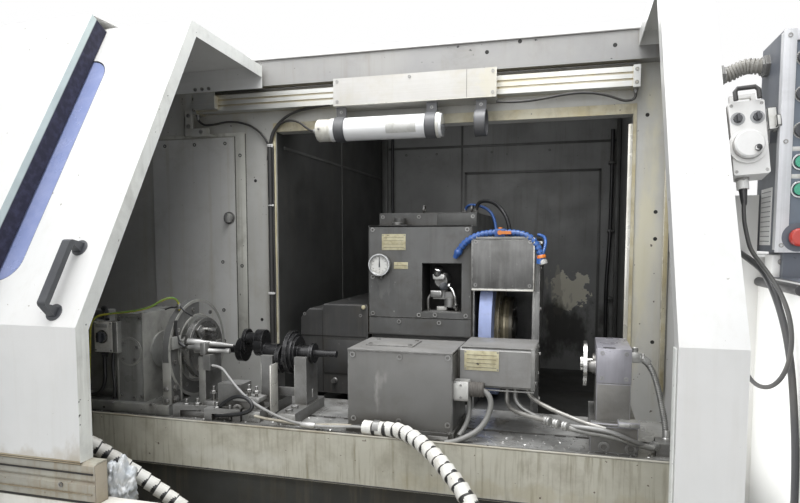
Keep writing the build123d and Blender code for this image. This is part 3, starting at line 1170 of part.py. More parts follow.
def regulator_valve():
    """Lubrication regulator in the window bay: body, cap and arm."""
    back = WHEELHEAD_FRONT_Y + WINDOW_BAY_DEPTH
    x = WINDOW_BAY_X + 72
    z = WINDOW_BAY_BOTTOM_Z
    body = rod_y(26, back - 110, back, x, z + 128)
    body += rod_z(17, z + 60, z + 160, x + 8, back - 90)
    body += box(x - 34, x + 50, back - 104, back - 76, z + 52, z + 82)
    body += rod_z(24, z + 20, z + 56, x + 34, back - 90)
    return body


def coolant_nozzle():
    """Jointed coolant hose over the guard's front with its tap and end fitting."""
    left_run = [(310, COOLANT_Y, 1402), (330, COOLANT_Y, 1436), (366, COOLANT_Y - 1, 1462),
                (408, COOLANT_Y, 1478), (TAP_X - TAP_BODY / 2, COOLANT_Y, TAP_Z)]
    right_run = [(TAP_X + TAP_BODY / 2, COOLANT_Y, TAP_Z), (545, COOLANT_Y, 1481), (592, COOLANT_Y - 1, 1466),
                 (622, COOLANT_Y, 1432), (634, COOLANT_Y, 1392)]
    line = tube_along("nozzle_left", left_run, 2 * COOLANT_HOSE_RADIUS)
    line += box(TAP_X - TAP_BODY / 2, TAP_X + TAP_BODY / 2, COOLANT_Y - 15, COOLANT_Y + 15, TAP_Z - 15, TAP_Z + 15)
    line += tube_along("nozzle_right", right_run, 2 * COOLANT_HOSE_RADIUS)
    line += rod_z(17, 1362, 1392, 634, COOLANT_Y)
    line += box(TAP_X - 12, TAP_X + 12, COOLANT_Y + 15, WHEEL_GUARD_FRONT_Y, WHEEL_GUARD_TOP_Z - 50, TAP_Z + 8)
    return line - rod_y(CONTROL_STEM_RADIUS + SHAFT_GAP, COOLANT_Y - 16, COOLANT_Y - 3, TAP_X, TAP_Z)


def coolant_tap():
    """Quarter-turn lever of the coolant tap."""
    front = COOLANT_Y - 15 - SEAT_GAP
    lever = rod_y(9, front - 6, front, TAP_X, TAP_Z)
    lever += box(TAP_X, TAP_X + 44, front - 6, front - 2, TAP_Z - 6, TAP_Z + 6)
    return lever + rod_y(CONTROL_STEM_RADIUS, front, COOLANT_Y - 4, TAP_X, TAP_Z)


def rodless_cylinder():
    """Ribbed profile of the door's air cylinder with its two end caps."""
    left = CYLINDER_LEFT_X + CYLINDER_CAP
    right = CYLINDER_LEFT_X + DOOR_CYLINDER_LENGTH - CYLINDER_CAP
    z0 = CYLINDER_BOTTOM_Z
    height = DOOR_CYLINDER_HEIGHT
    groove = 6.0
    front = HEADER_Y
    outline = [(BULKHEAD_Y, z0), (BULKHEAD_Y, z0 + height), (front, z0 + height)]
    for share in (0.68, 0.34):
        z = z0 + height * share
        outline += [(front, z + 4), (front + groove, z + 3), (front + groove, z - 3), (front, z - 4)]
    outline.append((front, z0))
    profile = prism_x(outline, left, right)
    caps = [box(x, x + CYLINDER_CAP, HEADER_Y - 6, BULKHEAD_Y, z0 - 5, z0 + height + 4)
            for x in (CYLINDER_LEFT_X, right)]
    return Compound([profile, *caps])


def lamp_clips():
    """Three P clips under the cover's flange; the third is empty."""
    clips = []
    for x in CLIP_CENTRES:
        x0 = x - CLIP_WIDTH / 2
        x1 = x + CLIP_WIDTH / 2
        ring = rod_x(LAMP_RADIUS + SEAT_GAP + CLIP_WALL, x0, x1, LAMP_Y, LAMP_Z)
        ring += box(x0, x1, LAMP_Y - 6, LAMP_Y + 6, LAMP_Z + LAMP_RADIUS, COVER_BOTTOM_Z)
        clips.append(ring - rod_x(LAMP_RADIUS + SEAT_GAP, x0 - 1, x1 + 1, LAMP_Y, LAMP_Z))
    return clips


def cylinder_cover():
    """Stand-off sheet cover in front of the door cylinder, with the lamp's P clips under its flange."""
    front = HEADER_Y - COVER_STANDOFF
    right = COVER_LEFT_X + COVER_WIDTH
    top = COVER_BOTTOM_Z + COVER_HEIGHT
    cover = box(COVER_LEFT_X, right, front, front + COVER_SHEET, COVER_BOTTOM_Z, top)
    cover += box(COVER_LEFT_X, right, front, front + 14, top - COVER_SHEET, top)
    cover += box(COVER_LEFT_X, right, front, BULKHEAD_Y, COVER_BOTTOM_Z, COVER_BOTTOM_Z + COVER_SHEET)
    return Compound([cover, *lamp_clips()])


def lamp_tube():
    """Tube lamp with a ribbed cable cap on the left and a flat lens cap on the right."""
    right = LAMP_LEFT_X + LAMP_LENGTH
    body = rod_x(LAMP_RADIUS, LAMP_LEFT_X + LAMP_CAP_LENGTH, right - 8, LAMP_Y, LAMP_Z)
    cap = rod_x(LAMP_RADIUS - 5, LAMP_LEFT_X, LAMP_LEFT_X + LAMP_CAP_LENGTH, LAMP_Y, LAMP_Z)
    lens = rod_x(LAMP_RADIUS - 2, right - 8, right, LAMP_Y, LAMP_Z)
    return body + cap + lens


def post_cables():
    """Clipped cables: the bundle down the post and its branches to lamp and cylinder."""
    post_x = WHEEL_OPENING_LEFT_X - TRIM_WIDTH - BUNDLE_DIAMETER / 2 - 4
    y = BULKHEAD_Y - BUNDLE_DIAMETER / 2 - SEAT_GAP
    z = CYLINDER_BOTTOM_Z
    bundle_top = LAMP_Z - 35
    bundle = rod_z(BUNDLE_DIAMETER / 2, HEAD_WAY_Z - 40, bundle_top, post_x, y)
    left_branch = tube_along("cylinder_cable", [
        (CYLINDER_LEFT_X + 12, -194, z - 5), (CYLINDER_LEFT_X + 12, -194, z - 28),
        (CYLINDER_LEFT_X + 38, -190, z - 48), (-740, -184, z - 46), (-680, -180, z - 36), (-620, -177, z - 40),
        (-566, -175, z - 58), (-524, -174, z - 88), (-500, -173, z - 120),
        (post_x - 5, y, bundle_top)], LAMP_CABLE_DIAMETER)
    lamp_branch = tube_along("lamp_cable", [
        (LAMP_LEFT_X, LAMP_Y, LAMP_Z), (LAMP_LEFT_X - 26, LAMP_Y, LAMP_Z), (-288, -238, LAMP_Z + 17),
        (-320, -218, LAMP_Z + 41), (-364, -200, LAMP_Z + 59), (-408, -188, LAMP_Z + 59), (-444, -180, LAMP_Z + 41),
        (-468, -175, LAMP_Z + 7), (post_x + 5, y, bundle_top)], LAMP_CABLE_DIAMETER)
    right_branch = tube_along("sensor_cable", [
        (COVER_LEFT_X + COVER_WIDTH - 6, -232, z - 30), (520, -232, z - 34), (580, -231, z - 34), (640, -230, z - 28),
        (700, -229, z - 19), (760, -228, z - 14), (820, -224, z - 18), (872, -214, z - 30), (920, -202, z - 48),
        (CYLINDER_LEFT_X + DOOR_CYLINDER_LENGTH - 12, -196, z - 42),
        (CYLINDER_LEFT_X + DOOR_CYLINDER_LENGTH - 12, -196, z - 5)], LAMP_CABLE_DIAMETER)
    return Compound([bundle + left_branch + lamp_branch, right_branch])


def control_cabinet():
    """Cabinet at the operator's side with the shelf for the panel on top."""
    front = DOOR_Y
    back = END_COVER_FRONT_Y
    cabinet = box(CABINET_LEFT_X, RIGHT_X, front, back, FOOT_HEIGHT, CABINET_TOP_Z)
    cabinet -= box(CABINET_LEFT_X + SHEET, RIGHT_X - SHEET, front + SHEET, back - SHEET,
                   FOOT_HEIGHT + SHEET, CABINET_TOP_Z - SHEET)
    shelf = box(CABINET_LEFT_X, RIGHT_X, SHELF_FRONT_Y, END_COVER_FRONT_Y,
                CABINET_TOP_Z, CABINET_TOP_Z + SHELF_THICKNESS)
    shelf = fillet(shelf.edges().filter_by(Axis.X).group_by(Axis.Y)[0], SHELF_THICKNESS / 2 - 1)
    return Compound([cabinet, shelf])


def panel_housing():
    """Operator panel: case on its foot, face recessed in a frame, bored for the controls."""
    left = CABINET_LEFT_X
    right = left + PANEL_WIDTH
    y0 = PANEL_FRONT_Y
    case = box(left, right, y0, y0 + PANEL_DEPTH, PANEL_BOTTOM_Z, PANEL_TOP_Z)
    case += box(left, right, y0 - PANEL_FRAME_PROUD, y0, PANEL_BOTTOM_Z, PANEL_TOP_Z)
    case -= box(left + PANEL_FRAME, right - PANEL_FRAME, y0 - PANEL_FRAME_PROUD - 1, y0,
                PANEL_BOTTOM_Z + PANEL_FRAME, PANEL_TOP_Z - PANEL_FRAME)
    case += box(left + 20, right - 20, y0 + 10, END_COVER_FRONT_Y, CABINET_TOP_Z + SHELF_THICKNESS, PANEL_BOTTOM_Z)
    for z in (*KNOB_ROWS_Z, *BUTTON_ROWS_Z, STOP_Z):
        case -= rod_y(CONTROL_STEM_RADIUS + SHAFT_GAP, y0 - 1, y0 + CONTROL_STEM_DEPTH + 4, CONTROL_X, z)
    case += ring_y(STOP_RING_RADIUS, STOP_RADIUS * 0.5, y0 - 6, y0, CONTROL_X, STOP_Z)
    return case


def ring_y(outer, inner, y0, y1, x, z):
    """A flat ring along Y."""
    return rod_y(outer, y0, y1, x, z) - rod_y(inner, y0 - 1, y1 + 1, x, z)


def push_button(z, radius, proud):
    """Mushroom or flat push button on its stem, standing clear by its travel."""
    face = PANEL_FRONT_Y
    button = rod_y(radius, face - proud, face - 6.5, CONTROL_X, z)
    return button + rod_y(CONTROL_STEM_RADIUS, face - 6.5, face + CONTROL_STEM_DEPTH - 4, CONTROL_X, z)


def stop_button():
    """Mushroom stop button over its ring."""
    face = PANEL_FRONT_Y
    head = rod_y(STOP_RADIUS, face - 26, face - 12, CONTROL_X, STOP_Z)
    head = fillet(head.faces().sort_by(Axis.Y)[0].edges(), 5)
    return head + rod_y(CONTROL_STEM_RADIUS, face - 12, face + CONTROL_STEM_DEPTH - 8, CONTROL_X, STOP_Z)


def panel_conduit():
    """Corrugated conduit from the right wall to the panel's side."""
    wall = PILLAR_RIGHT_X
    route = [(wall, -884, 1850), (wall + 20, -884, 1850), (wall + 42, -888, 1862), (wall + 62, -896, 1868),
             (wall + 82, -904, 1862), (CABINET_LEFT_X, -904, 1862)]
    return tube_along("panel_conduit", route, CONDUIT_DIAMETER)


def box_place():
    """Place of the handwheel box's own frame: tilted to the left and leaning back."""
    return Pos(BOX_X, BOX_FRONT_Y, BOX_Z) * Rot(BOX_LEAN, BOX_TILT, 0)


DIAL_X = -5.0
DIAL_Z = -20.0
BOX_KNOB_X = 20.0
BOX_KNOB_Z = 45.0
GLAND_X = -14.0
GLAND_Y = 30.0


def handwheel_box():
    """Hand-held control box with hook, dial ring and gland, on its bracket to the panel."""
    half_w = BOX_WIDTH / 2
    half_h = BOX_HEIGHT / 2
    case = box(-half_w, half_w, 0, BOX_DEPTH, -half_h, half_h)
    case = chamfer(case.edges().filter_by(Axis.Y), 3)
    case += ring_y(DIAL_RING_RADIUS, HANDWHEEL_RADIUS + 1, -6, 0, DIAL_X, DIAL_Z)
    for x in (-28, 16):
        case += box(x, x + 10, 22, 34, half_h, half_h + 16)
    case += box(-28, 26, 22, 34, half_h + 16, half_h + 24)
    case += rod_z(GLAND_RADIUS, -half_h - GLAND_LENGTH, -half_h, GLAND_X, GLAND_Y)
    for x, z in ((-BOX_KNOB_X, BOX_KNOB_Z), (BOX_KNOB_X, BOX_KNOB_Z), (DIAL_X, DIAL_Z)):
        case -= rod_y(CONTROL_STEM_RADIUS + SHAFT_GAP, -1, 18, x, z)
    case += box(-20, 24, BOX_DEPTH, BOX_DEPTH + 26, -20, 50)
    placed = box_place() * case
    arm_y = BOX_FRONT_Y + BOX_DEPTH + 8
    return placed + box(BOX_X + 12, CABINET_LEFT_X, arm_y, arm_y + 8, BOX_Z - 6, BOX_Z + 44)


def handwheel_cable():
    """Loose cable from the box's gland to the front of the table's end housing."""
    gland_end = -BOX_HEIGHT / 2 - GLAND_LENGTH
    start = [(box_place() * Pos(GLAND_X, GLAND_Y, z)).position for z in (gland_end, gland_end - 26)]
    points = [*[tuple(point) for point in start], *HANDWHEEL_CABLE_POINTS]
    return tube_along("handwheel_cable", points, HANDWHEEL_CABLE_DIAMETER)


def handwheel():
    """Handwheel disc with its finger knob."""
    front = -SEAT_GAP
    wheel = rod_y(HANDWHEEL_RADIUS, front - 8 - HANDWHEEL_DEPTH, front - 8, DIAL_X, DIAL_Z)
    wheel = chamfer(wheel.faces().sort_by(Axis.Y)[0].edges(), 3)
    wheel += rod_y(HANDWHEEL_RADIUS - 6, front - 8, front, DIAL_X, DIAL_Z)
    wheel += rod_y(5, front - 34, front - 8 - HANDWHEEL_DEPTH, DIAL_X + 12, DIAL_Z - 15)
    wheel += rod_y(CONTROL_STEM_RADIUS, front, 15, DIAL_X, DIAL_Z)
    return box_place() * wheel


def box_knob(side):
    return box_place() * bar_knob(BOX_KNOB_X * side, 0, BOX_KNOB_Z, AXIS_KNOB_RADIUS, AXIS_KNOB_DEPTH, 15.0)


def parts():
    """Every node's solids by name."""
    nodes = {
        "machine_bed": machine_bed(),
        "levelling_feet": levelling_feet(),
        "front_sill": front_sill(),
        "coolant_trays": coolant_trays(),
        "left_front_panel": left_front_panel(),
        "enclosure_sheets": enclosure_sheets(),
        "end_housing": end_housing(),
        "door_pillar": door_pillar(),
        "header_beam": header_beam(),
        "bulkhead": bulkhead(),
        "hatch_panel": hatch_panel(),
        "hatch_knob": hatch_knob(),
        "control_cabinet": control_cabinet(),
        "lower_rail": lower_rail(),
        "rodless_cylinder": rodless_cylinder(),
        "cylinder_cover": cylinder_cover(),
        "lamp_tube": lamp_tube(),
        "post_cables": post_cables(),
        "panel_housing": panel_housing(),
        "panel_conduit": panel_conduit(),
        "handwheel_box": handwheel_box(),
        "handwheel_cable": handwheel_cable(),
        "sliding_door": sliding_door(),
        "door_window": door_window(),
        "door_handle": door_handle(),
        "door_carriage": door_carriage(),
        "wheelhead_housing": wheelhead_housing(),
        "wheelhead_slide": wheelhead_slide(),
        "belt_cover": belt_cover(),
        "wheel_guard": wheel_guard(),
        "gauge_body": gauge_body(),
        "gauge_needle": gauge_needle(),
        "regulator_valve": regulator_valve(),
        "coolant_nozzle": coolant_nozzle(),
        "coolant_tap": coolant_tap(),
        "grinding_wheel": grinding_wheel(),
        "wheel_hub": wheel_hub(),
        "table": table(),
        "headstock_housing": headstock_housing(),
        "headstock_guard": headstock_guard(),
        "mode_knob": mode_knob(),
        "face_driver": face_driver(),
        "crankshaft": crankshaft(),
        "v_rests": v_rests(),
        "tailstock_housing": tailstock_housing(),
        "tailstock_quill": tailstock_quill(),
        "table_fittings": table_fittings(),
        "dresser_head": dresser_head(),
        "dresser_disc": dresser_disc(),
        "trailing_cable": tube_along("trailing_cable", TRAILING_POINTS, TRAILING_DIAMETER),
        "signal_cable": tube_along("signal_cable", SIGNAL_POINTS, SIGNAL_DIAMETER),
        "handwheel": handwheel(),
        "axis_knob": box_knob(-1),
        "step_knob": box_knob(1),
        "stop_button": stop_button(),
    }
    for name, z in zip(("speed_knob", "feed_knob", "override_knob"), KNOB_ROWS_Z):
        nodes[name] = bar_knob(CONTROL_X, PANEL_FRONT_Y, z, PANEL_KNOB_RADIUS, PANEL_KNOB_DEPTH, CONTROL_STEM_DEPTH)
    for name, z in zip(("start_button", "cycle_button"), BUTTON_ROWS_Z):
        nodes[name] = push_button(z, BUTTON_RADIUS, BUTTON_PROUD)
    return nodes


os.makedirs("parts", exist_ok=True)
for node_name, solid in parts().items():
    export_step(solid, f"parts/{node_name}.step")
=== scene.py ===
import logging
import math
from dataclasses import dataclass, field
from enum import Enum

import bmesh
import bpy
from mathutils import Matrix, Vector, noise


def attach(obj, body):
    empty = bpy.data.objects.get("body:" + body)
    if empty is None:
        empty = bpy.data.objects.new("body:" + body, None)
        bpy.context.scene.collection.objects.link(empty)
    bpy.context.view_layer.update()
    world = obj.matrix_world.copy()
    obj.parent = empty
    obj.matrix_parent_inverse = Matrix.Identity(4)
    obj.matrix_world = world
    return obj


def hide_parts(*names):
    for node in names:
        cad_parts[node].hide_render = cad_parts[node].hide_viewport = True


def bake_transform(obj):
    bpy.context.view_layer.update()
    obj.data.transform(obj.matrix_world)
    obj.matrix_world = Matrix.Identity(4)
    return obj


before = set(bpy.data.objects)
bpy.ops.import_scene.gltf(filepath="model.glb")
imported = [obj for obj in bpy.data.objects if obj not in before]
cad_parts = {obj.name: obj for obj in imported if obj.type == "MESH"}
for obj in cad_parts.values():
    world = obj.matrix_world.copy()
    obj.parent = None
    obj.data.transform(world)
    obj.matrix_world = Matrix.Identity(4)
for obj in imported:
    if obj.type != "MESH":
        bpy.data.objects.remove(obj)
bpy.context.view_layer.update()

log = logging.getLogger("grinder")

MM = 0.001
Colour = tuple[float, float, float]
Point = tuple[float, float, float]
Place = tuple[Point, Point]
Span = tuple[float, float]

FRONT = (0.0, -1.0, 0.0)
BACK = (0.0, 1.0, 0.0)
LEFT = (-1.0, 0.0, 0.0)
RIGHT = (1.0, 0.0, 0.0)
UP = (0.0, 0.0, 1.0)
DOWN = (0.0, 0.0, -1.0)


class Body(str, Enum):
    """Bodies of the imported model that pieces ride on."""

    FRAME = "frame"
    DOOR = "door"
    WHEELHEAD = "wheelhead"
    WHEEL = "wheel"
    TABLE = "table_unit"
    SPINDLE = "work_spindle"
    DIAL = "handwheel_dial"


@dataclass(frozen=True)
class Patch:
    """A local stain, worn place or bare place: an ellipsoid with a ragged rim.

    Args are the centre and reach in millimetres, the colour that shows there, how strongly
    it covers, how ragged its rim is, the rim's scale and softness, and how far its noise is
    drawn out downwards (1 is not at all, less is more).
    """

    centre: Point
    reach: Point
    colour: Colour
    cover: float = 1.0
    ragged: float = 0.5
    scale: float = 22.0
    soft: float = 0.12
    drawn: float = 1.0


Socket = bpy.types.NodeSocket
Value = Socket | float | tuple[float, ...]


class NodeGraph:
    """Adds shader nodes to one material and links them."""

    def __init__(self, name: str) -> None:
        """Starts an empty material with a Principled shader.

        Args:
            name: The material's name.
        """
        self.material = bpy.data.materials.new(name)
        self.material.use_nodes = True
        self.tree = self.material.node_tree
        self.tree.nodes.clear()
        output = self.tree.nodes.new("ShaderNodeOutputMaterial")
        self.shader = self.tree.nodes.new("ShaderNodeBsdfPrincipled")
        self.link(self.shader.outputs["BSDF"], output.inputs["Surface"])
        self.place = self.tree.nodes.new("ShaderNodeTexCoord").outputs["Object"]

    def link(self, source: Socket, target: Socket) -> None:
        """Links one socket to another."""
        self.tree.links.new(source, target)

    def feed(self, socket: Socket, value: Value) -> None:
        """Sets a socket to a number or colour, or links it to another socket.

        Args:
            socket: The input to set.
            value: A number, a colour of three parts or another node's output.
        """
        if isinstance(value, Socket):
            self.link(value, socket)
        elif isinstance(value, tuple) and len(value) == 3 and socket.type == "RGBA":
            socket.default_value = (*value, 1.0)
        else:
            socket.default_value = value

    def add(self, kind: str, **values: Value) -> bpy.types.Node:
        """Adds a node and feeds its inputs.

        Args:
            kind: The node's type.
            values: Its inputs by name, with an underscore for each space.

        Returns:
            The new node.
        """
        node = self.tree.nodes.new(kind)
        for name, value in values.items():
            self.feed(node.inputs[name.replace("_", " ")], value)
        return node

    def stretched(self, scale: Point, shift: Point = (0.0, 0.0, 0.0)) -> Socket:
        """Object coordinates multiplied by a scale and moved.

        Args:
            scale: What each coordinate is multiplied by.
            shift: What is added to it.

        Returns:
            The coordinates.
        """
        return self.add("ShaderNodeMapping", Vector=self.place, Location=shift, Scale=scale).outputs["Vector"]

    def axes(self) -> tuple[Socket, Socket, Socket]:
        """The object coordinates X, Y and Z, each on its own."""
        parts = self.add("ShaderNodeSeparateXYZ", Vector=self.place).outputs
        return parts["X"], parts["Y"], parts["Z"]

    def noise(self, scale: float, detail: float = 4.0, rough: float = 0.55, vector: Socket | None = None,
              warp: float = 0.0) -> Socket:
        """Fractal noise from 0 to 1.

        Args:
            scale: Its scale, per metre.
            detail: How many finer layers it has.
            rough: How strong the finer layers are.
            vector: The coordinates it is read at, or the object's own.
            warp: How far it is distorted.

        Returns:
            The noise.
        """
        return self.add("ShaderNodeTexNoise", Vector=vector or self.place, Scale=scale, Detail=detail,
                        Roughness=rough, Distortion=warp).outputs["Fac"]

    def span(self, value: Socket, low: float, high: float, to_low: float = 0.0, to_high: float = 1.0) -> Socket:
        """Maps a range of a value to another, smoothly and clamped.

        Args:
            value: The value.
            low: Where the range starts.
            high: Where it ends.
            to_low: What its start becomes.
            to_high: What its end becomes.

        Returns:
            The mapped value.
        """
        node = self.add("ShaderNodeMapRange", Value=value, From_Min=low, From_Max=high, To_Min=to_low, To_Max=to_high)
        node.interpolation_type = "SMOOTHSTEP"
        return node.outputs["Result"]

    def math(self, operation: str, first: Value, second: Value = 0.0, clamp: bool = False) -> Socket:
        """One arithmetic step.

        Args:
            operation: The Math node's operation.
            first: Its first value.
            second: Its second value.
            clamp: Whether the result is kept between 0 and 1.

        Returns:
            The result.
        """
        node = self.tree.nodes.new("ShaderNodeMath")
        node.operation = operation
        node.use_clamp = clamp
        self.feed(node.inputs[0], first)
        self.feed(node.inputs[1], second)
        return node.outputs["Value"]

    def mix(self, share: Value, first: Value, second: Value) -> Socket:
        """Mixes two colours by a share.

        Args:
            share: How much of the second colour shows.
            first: The first colour.
            second: The second colour.

        Returns:
            The mixed colour.
        """
        node = self.tree.nodes.new("ShaderNodeMix")
        node.data_type = "RGBA"
        for number, value in ((0, share), (6, first), (7, second)):
            self.feed(node.inputs[number], value)
        return node.outputs[2]

    def bump(self, height: Socket, strength: float, distance: float, below: Socket | None = None) -> Socket:
        """Bump from a height, on top of another bump.

        Args:
            height: The height.
            strength: How strongly it shows.
            distance: Its depth in metres.
            below: The bump under it.

        Returns:
            The bumped normal.
        """
        node = self.add("ShaderNodeBump", Strength=strength, Distance=distance, Height=height)
        if below:
            self.link(below, node.inputs["Normal"])
        return node.outputs["Normal"]

    def edge_wear_and_highlight_share(self, radius: float) -> Socket:
        """Share of edge marks along sharp edges, from rounded against true normals: wear, and painted highlight where
        the edge colour is lighter than the paint.

        Args:
            radius: How far from the edge it reaches, in metres.

        Returns:
            The share.
        """
        round_off = self.add("ShaderNodeBevel", Radius=radius)
        round_off.samples = 4
        dot = self.tree.nodes.new("ShaderNodeVectorMath")
        dot.operation = "DOT_PRODUCT"
        self.link(round_off.outputs["Normal"], dot.inputs[0])
        self.link(self.add("ShaderNodeNewGeometry").outputs["Normal"], dot.inputs[1])
        return self.span(dot.outputs["Value"], 0.995, 0.80)

    def occlusion_shade_share(self, distance: float) -> Socket:
        """Share of painted shade in corners, from ambient occlusion.

        Args:
            distance: How far from the corner it reaches, in metres.

        Returns:
            The share.
        """
        node = self.add("ShaderNodeAmbientOcclusion", Distance=distance)
        node.samples = 6
        return self.span(node.outputs["AO"], 0.85, 0.35)

    def patch_share(self, patch: Patch) -> Socket:
        """Share of a patch at each point.

        Args:
            patch: The patch.

        Returns:
            The share.
        """
        reach = tuple(1.0 / (r * MM) for r in patch.reach)
        shift = tuple(-c / r for c, r in zip(patch.centre, patch.reach))
        length = self.tree.nodes.new("ShaderNodeVectorMath")
        length.operation = "LENGTH"
        self.link(self.stretched(reach, shift), length.inputs[0])
        grain = self.stretched((patch.scale, patch.scale, patch.scale * patch.drawn))
        rim = self.noise(1.0, 6.0, 0.6, grain)
        far = self.math("ADD", length.outputs["Value"], self.span(rim, 0.3, 0.7, -patch.ragged, patch.ragged))
        return self.span(far, 1.0, 1.0 - patch.soft, 0.0, patch.cover)

    def finished(self, colour: Value, rough: Value, normal: Socket | None = None) -> bpy.types.Material:
        """Sets the shader's colour, roughness and normal.

        Args:
            colour: The base colour.
            rough: The roughness.
            normal: The bumped normal.

        Returns:
            The finished material.
        """
        self.feed(self.shader.inputs["Base Color"], colour)
        self.feed(self.shader.inputs["Roughness"], rough)
        if normal:
            self.link(normal, self.shader.inputs["Normal"])
        return self.material


OCCLUSION_SHADE_REACH = 0.05
GRAIN_DEPTH = 0.0006
DENT_DEPTH = 0.004
BRUSH_SHARE = 0.12
BRUSH_DEPTH = 0.0004
BRUSH_TONE = 0.55


@dataclass(frozen=True)
class Finish:
    """A surface: its base colour and second tone, its dirt and wear, painted shade in its corners and painted
    highlights on its edges, its gloss and its grain.

    Shares run from 0 to 1, scales are per metre, and colours are linear.
    """

    colour: Colour
    second: Colour
    patch_scale: float = 3.0
    # Colour of the dirt film, and also of the painted shade in corners.
    grime_and_shade_colour: Colour = (0.10, 0.09, 0.07)
    grime_share: float = 0.0
    grime_scale: float = 7.0
    streak: float = 0.0
    streak_colour: Colour = (0.16, 0.14, 0.10)
    streak_scale: Point = (38.0, 38.0, 2.2)
    chips: float = 0.0
    chip_colour: Colour = (0.05, 0.05, 0.05)
    chip_scale: float = 60.0
    # Painted shade: how strongly corners darken, by ambient occlusion.
    corner: float = 0.0
    # Edge marks: wear along edges, and a painted highlight where the edge colour is lighter than the paint.
    edge: float = 0.0
    edge_colour: Colour = (0.5, 0.5, 0.5)
    edge_radius: float = 0.003
    metallic: float = 0.0
    rough: tuple[float, float] = (0.4, 0.6)
    grain: float = 0.1
    grain_scale: float = 320.0
    dents: float = 0.0
    dents_scale: float = 14.0
    brush: Point | None = None
    brush_depth: float = 0.25
    coat: float = 0.0
    patches: tuple[Patch, ...] = ()

    def build(self, name: str) -> bpy.types.Material:
        """Makes the material.

        Args:
            name: The material's name.

        Returns:
            The finished material.
        """
        graph = NodeGraph(name)
        tone = graph.noise(self.patch_scale, 6.0, 0.6)
        colour = graph.mix(graph.span(tone, 0.35, 0.65), self.colour, self.second)
        rough = graph.span(graph.noise(self.patch_scale * 2.3, 5.0), 0.3, 0.7, *self.rough)
        if self.brush:
            lines = graph.noise(1.0, 3.0, 0.6, graph.stretched(self.brush))
            colour = graph.mix(graph.span(lines, 0.3, 0.7, 0.0, self.brush_depth), colour,
                               tuple(BRUSH_TONE * c for c in self.colour))
        if self.streak:
            runs = graph.noise(1.0, 5.0, 0.6, graph.stretched(self.streak_scale))
            broad = graph.noise(2.1, 3.0)
            share = graph.math("MULTIPLY", graph.span(runs, 0.48, 0.72, 0.0, self.streak),
                               graph.span(broad, 0.35, 0.6))
            colour = graph.mix(share, colour, self.streak_colour)
        if self.grime_share:
            lit_film = graph.noise(self.grime_scale, 9.0, 0.68, warp=0.3)
            share = graph.span(lit_film, 0.46, 0.74, 0.0, self.grime_share)
            colour = graph.mix(share, colour, self.grime_and_shade_colour)
            rough = graph.math("SUBTRACT", rough, graph.math("MULTIPLY", share, 0.15), True)
        for patch in self.patches:
            share = graph.patch_share(patch)
            colour = graph.mix(share, colour, patch.colour)
        # Painted shade: corners darkened by ambient occlusion, in the grime-and-shade colour.
        if self.corner:
            share = graph.math("MULTIPLY", graph.occlusion_shade_share(OCCLUSION_SHADE_REACH), self.corner)
            colour = graph.mix(share, colour, self.grime_and_shade_colour)
        if self.chips:
            spots = graph.noise(self.chip_scale, 3.0, 0.5)
            share = graph.span(spots, 0.74 - 0.08 * self.chips, 0.76 - 0.08 * self.chips)
            colour = graph.mix(share, colour, self.chip_colour)
        # Edge marks: wear, and a painted highlight where the edge colour is lighter than the paint.
        if self.edge:
            ragged = graph.span(graph.noise(45.0, 4.0), 0.35, 0.6)
            share = graph.math("MULTIPLY", graph.edge_wear_and_highlight_share(self.edge_radius), ragged)
            colour = graph.mix(graph.math("MULTIPLY", share, self.edge), colour, self.edge_colour)
        graph.shader.inputs["Metallic"].default_value = self.metallic
        if self.coat:
            graph.shader.inputs["Coat Weight"].default_value = self.coat
            graph.shader.inputs["Coat Roughness"].default_value = 0.2
        normal = graph.bump(graph.noise(self.grain_scale, 3.0), self.grain, GRAIN_DEPTH)
        if self.brush:
            fine = tuple(3.0 * b for b in self.brush)
            normal = graph.bump(graph.noise(1.0, 2.0, 0.6, graph.stretched(fine)), BRUSH_SHARE, BRUSH_DEPTH, normal)
        if self.dents:
            normal = graph.bump(graph.noise(self.dents_scale, 3.0), self.dents, DENT_DEPTH, normal)
        return graph.finished(colour, rough, normal)


PANEL_LEAN = math.radians(30.0)
PANEL_FRONT_Y = -1.36
PANEL_FOLD_Z = 1.248
# Depths behind the panel's face, in metres, over which the painted shadow band comes in.
PAINTED_SHADOW_DEPTH = (0.020, 0.025)
# Where the pane's painted shade ends and the film's painted light begins, along X in metres.
PAINTED_SHADE_EDGE_X = (-0.885, -0.81)


def sealed_edge(name: str) -> bpy.types.Material:
    """Edge of the fixed front panel: paint darkened to grey-green as painted shade in front, and a near-black band of
    painted shadow behind it.

    Args:
        name: The material's name.

    Returns:
        The finished material.
    """
    graph = NodeGraph(name)
    _, y, z = graph.axes()
    upright = graph.math("SUBTRACT", y, PANEL_FRONT_Y)
    rise = graph.math("SUBTRACT", z, PANEL_FOLD_Z)
    tilted = graph.math("SUBTRACT", graph.math("MULTIPLY", upright, math.cos(PANEL_LEAN)),
                        graph.math("MULTIPLY", rise, math.sin(PANEL_LEAN)))
    depth = graph.math("MINIMUM", upright, tilted)
    # Painted shade: the edge's paint is a darkened grey-green.
    shaded_paint = graph.mix(graph.span(graph.noise(7.0, 5.0), 0.3, 0.7), (0.40, 0.47, 0.47), (0.52, 0.60, 0.60))
    # Painted shadow: a near-black band further behind the face.
    painted_shadow = graph.mix(graph.span(graph.noise(40.0, 5.0), 0.4, 0.7), (0.012, 0.012, 0.028), (0.03, 0.03, 0.06))
    return graph.finished(graph.mix(graph.span(depth, *PAINTED_SHADOW_DEPTH), shaded_paint, painted_shadow),
                          graph.span(depth, *PAINTED_SHADOW_DEPTH, 0.5, 0.85))


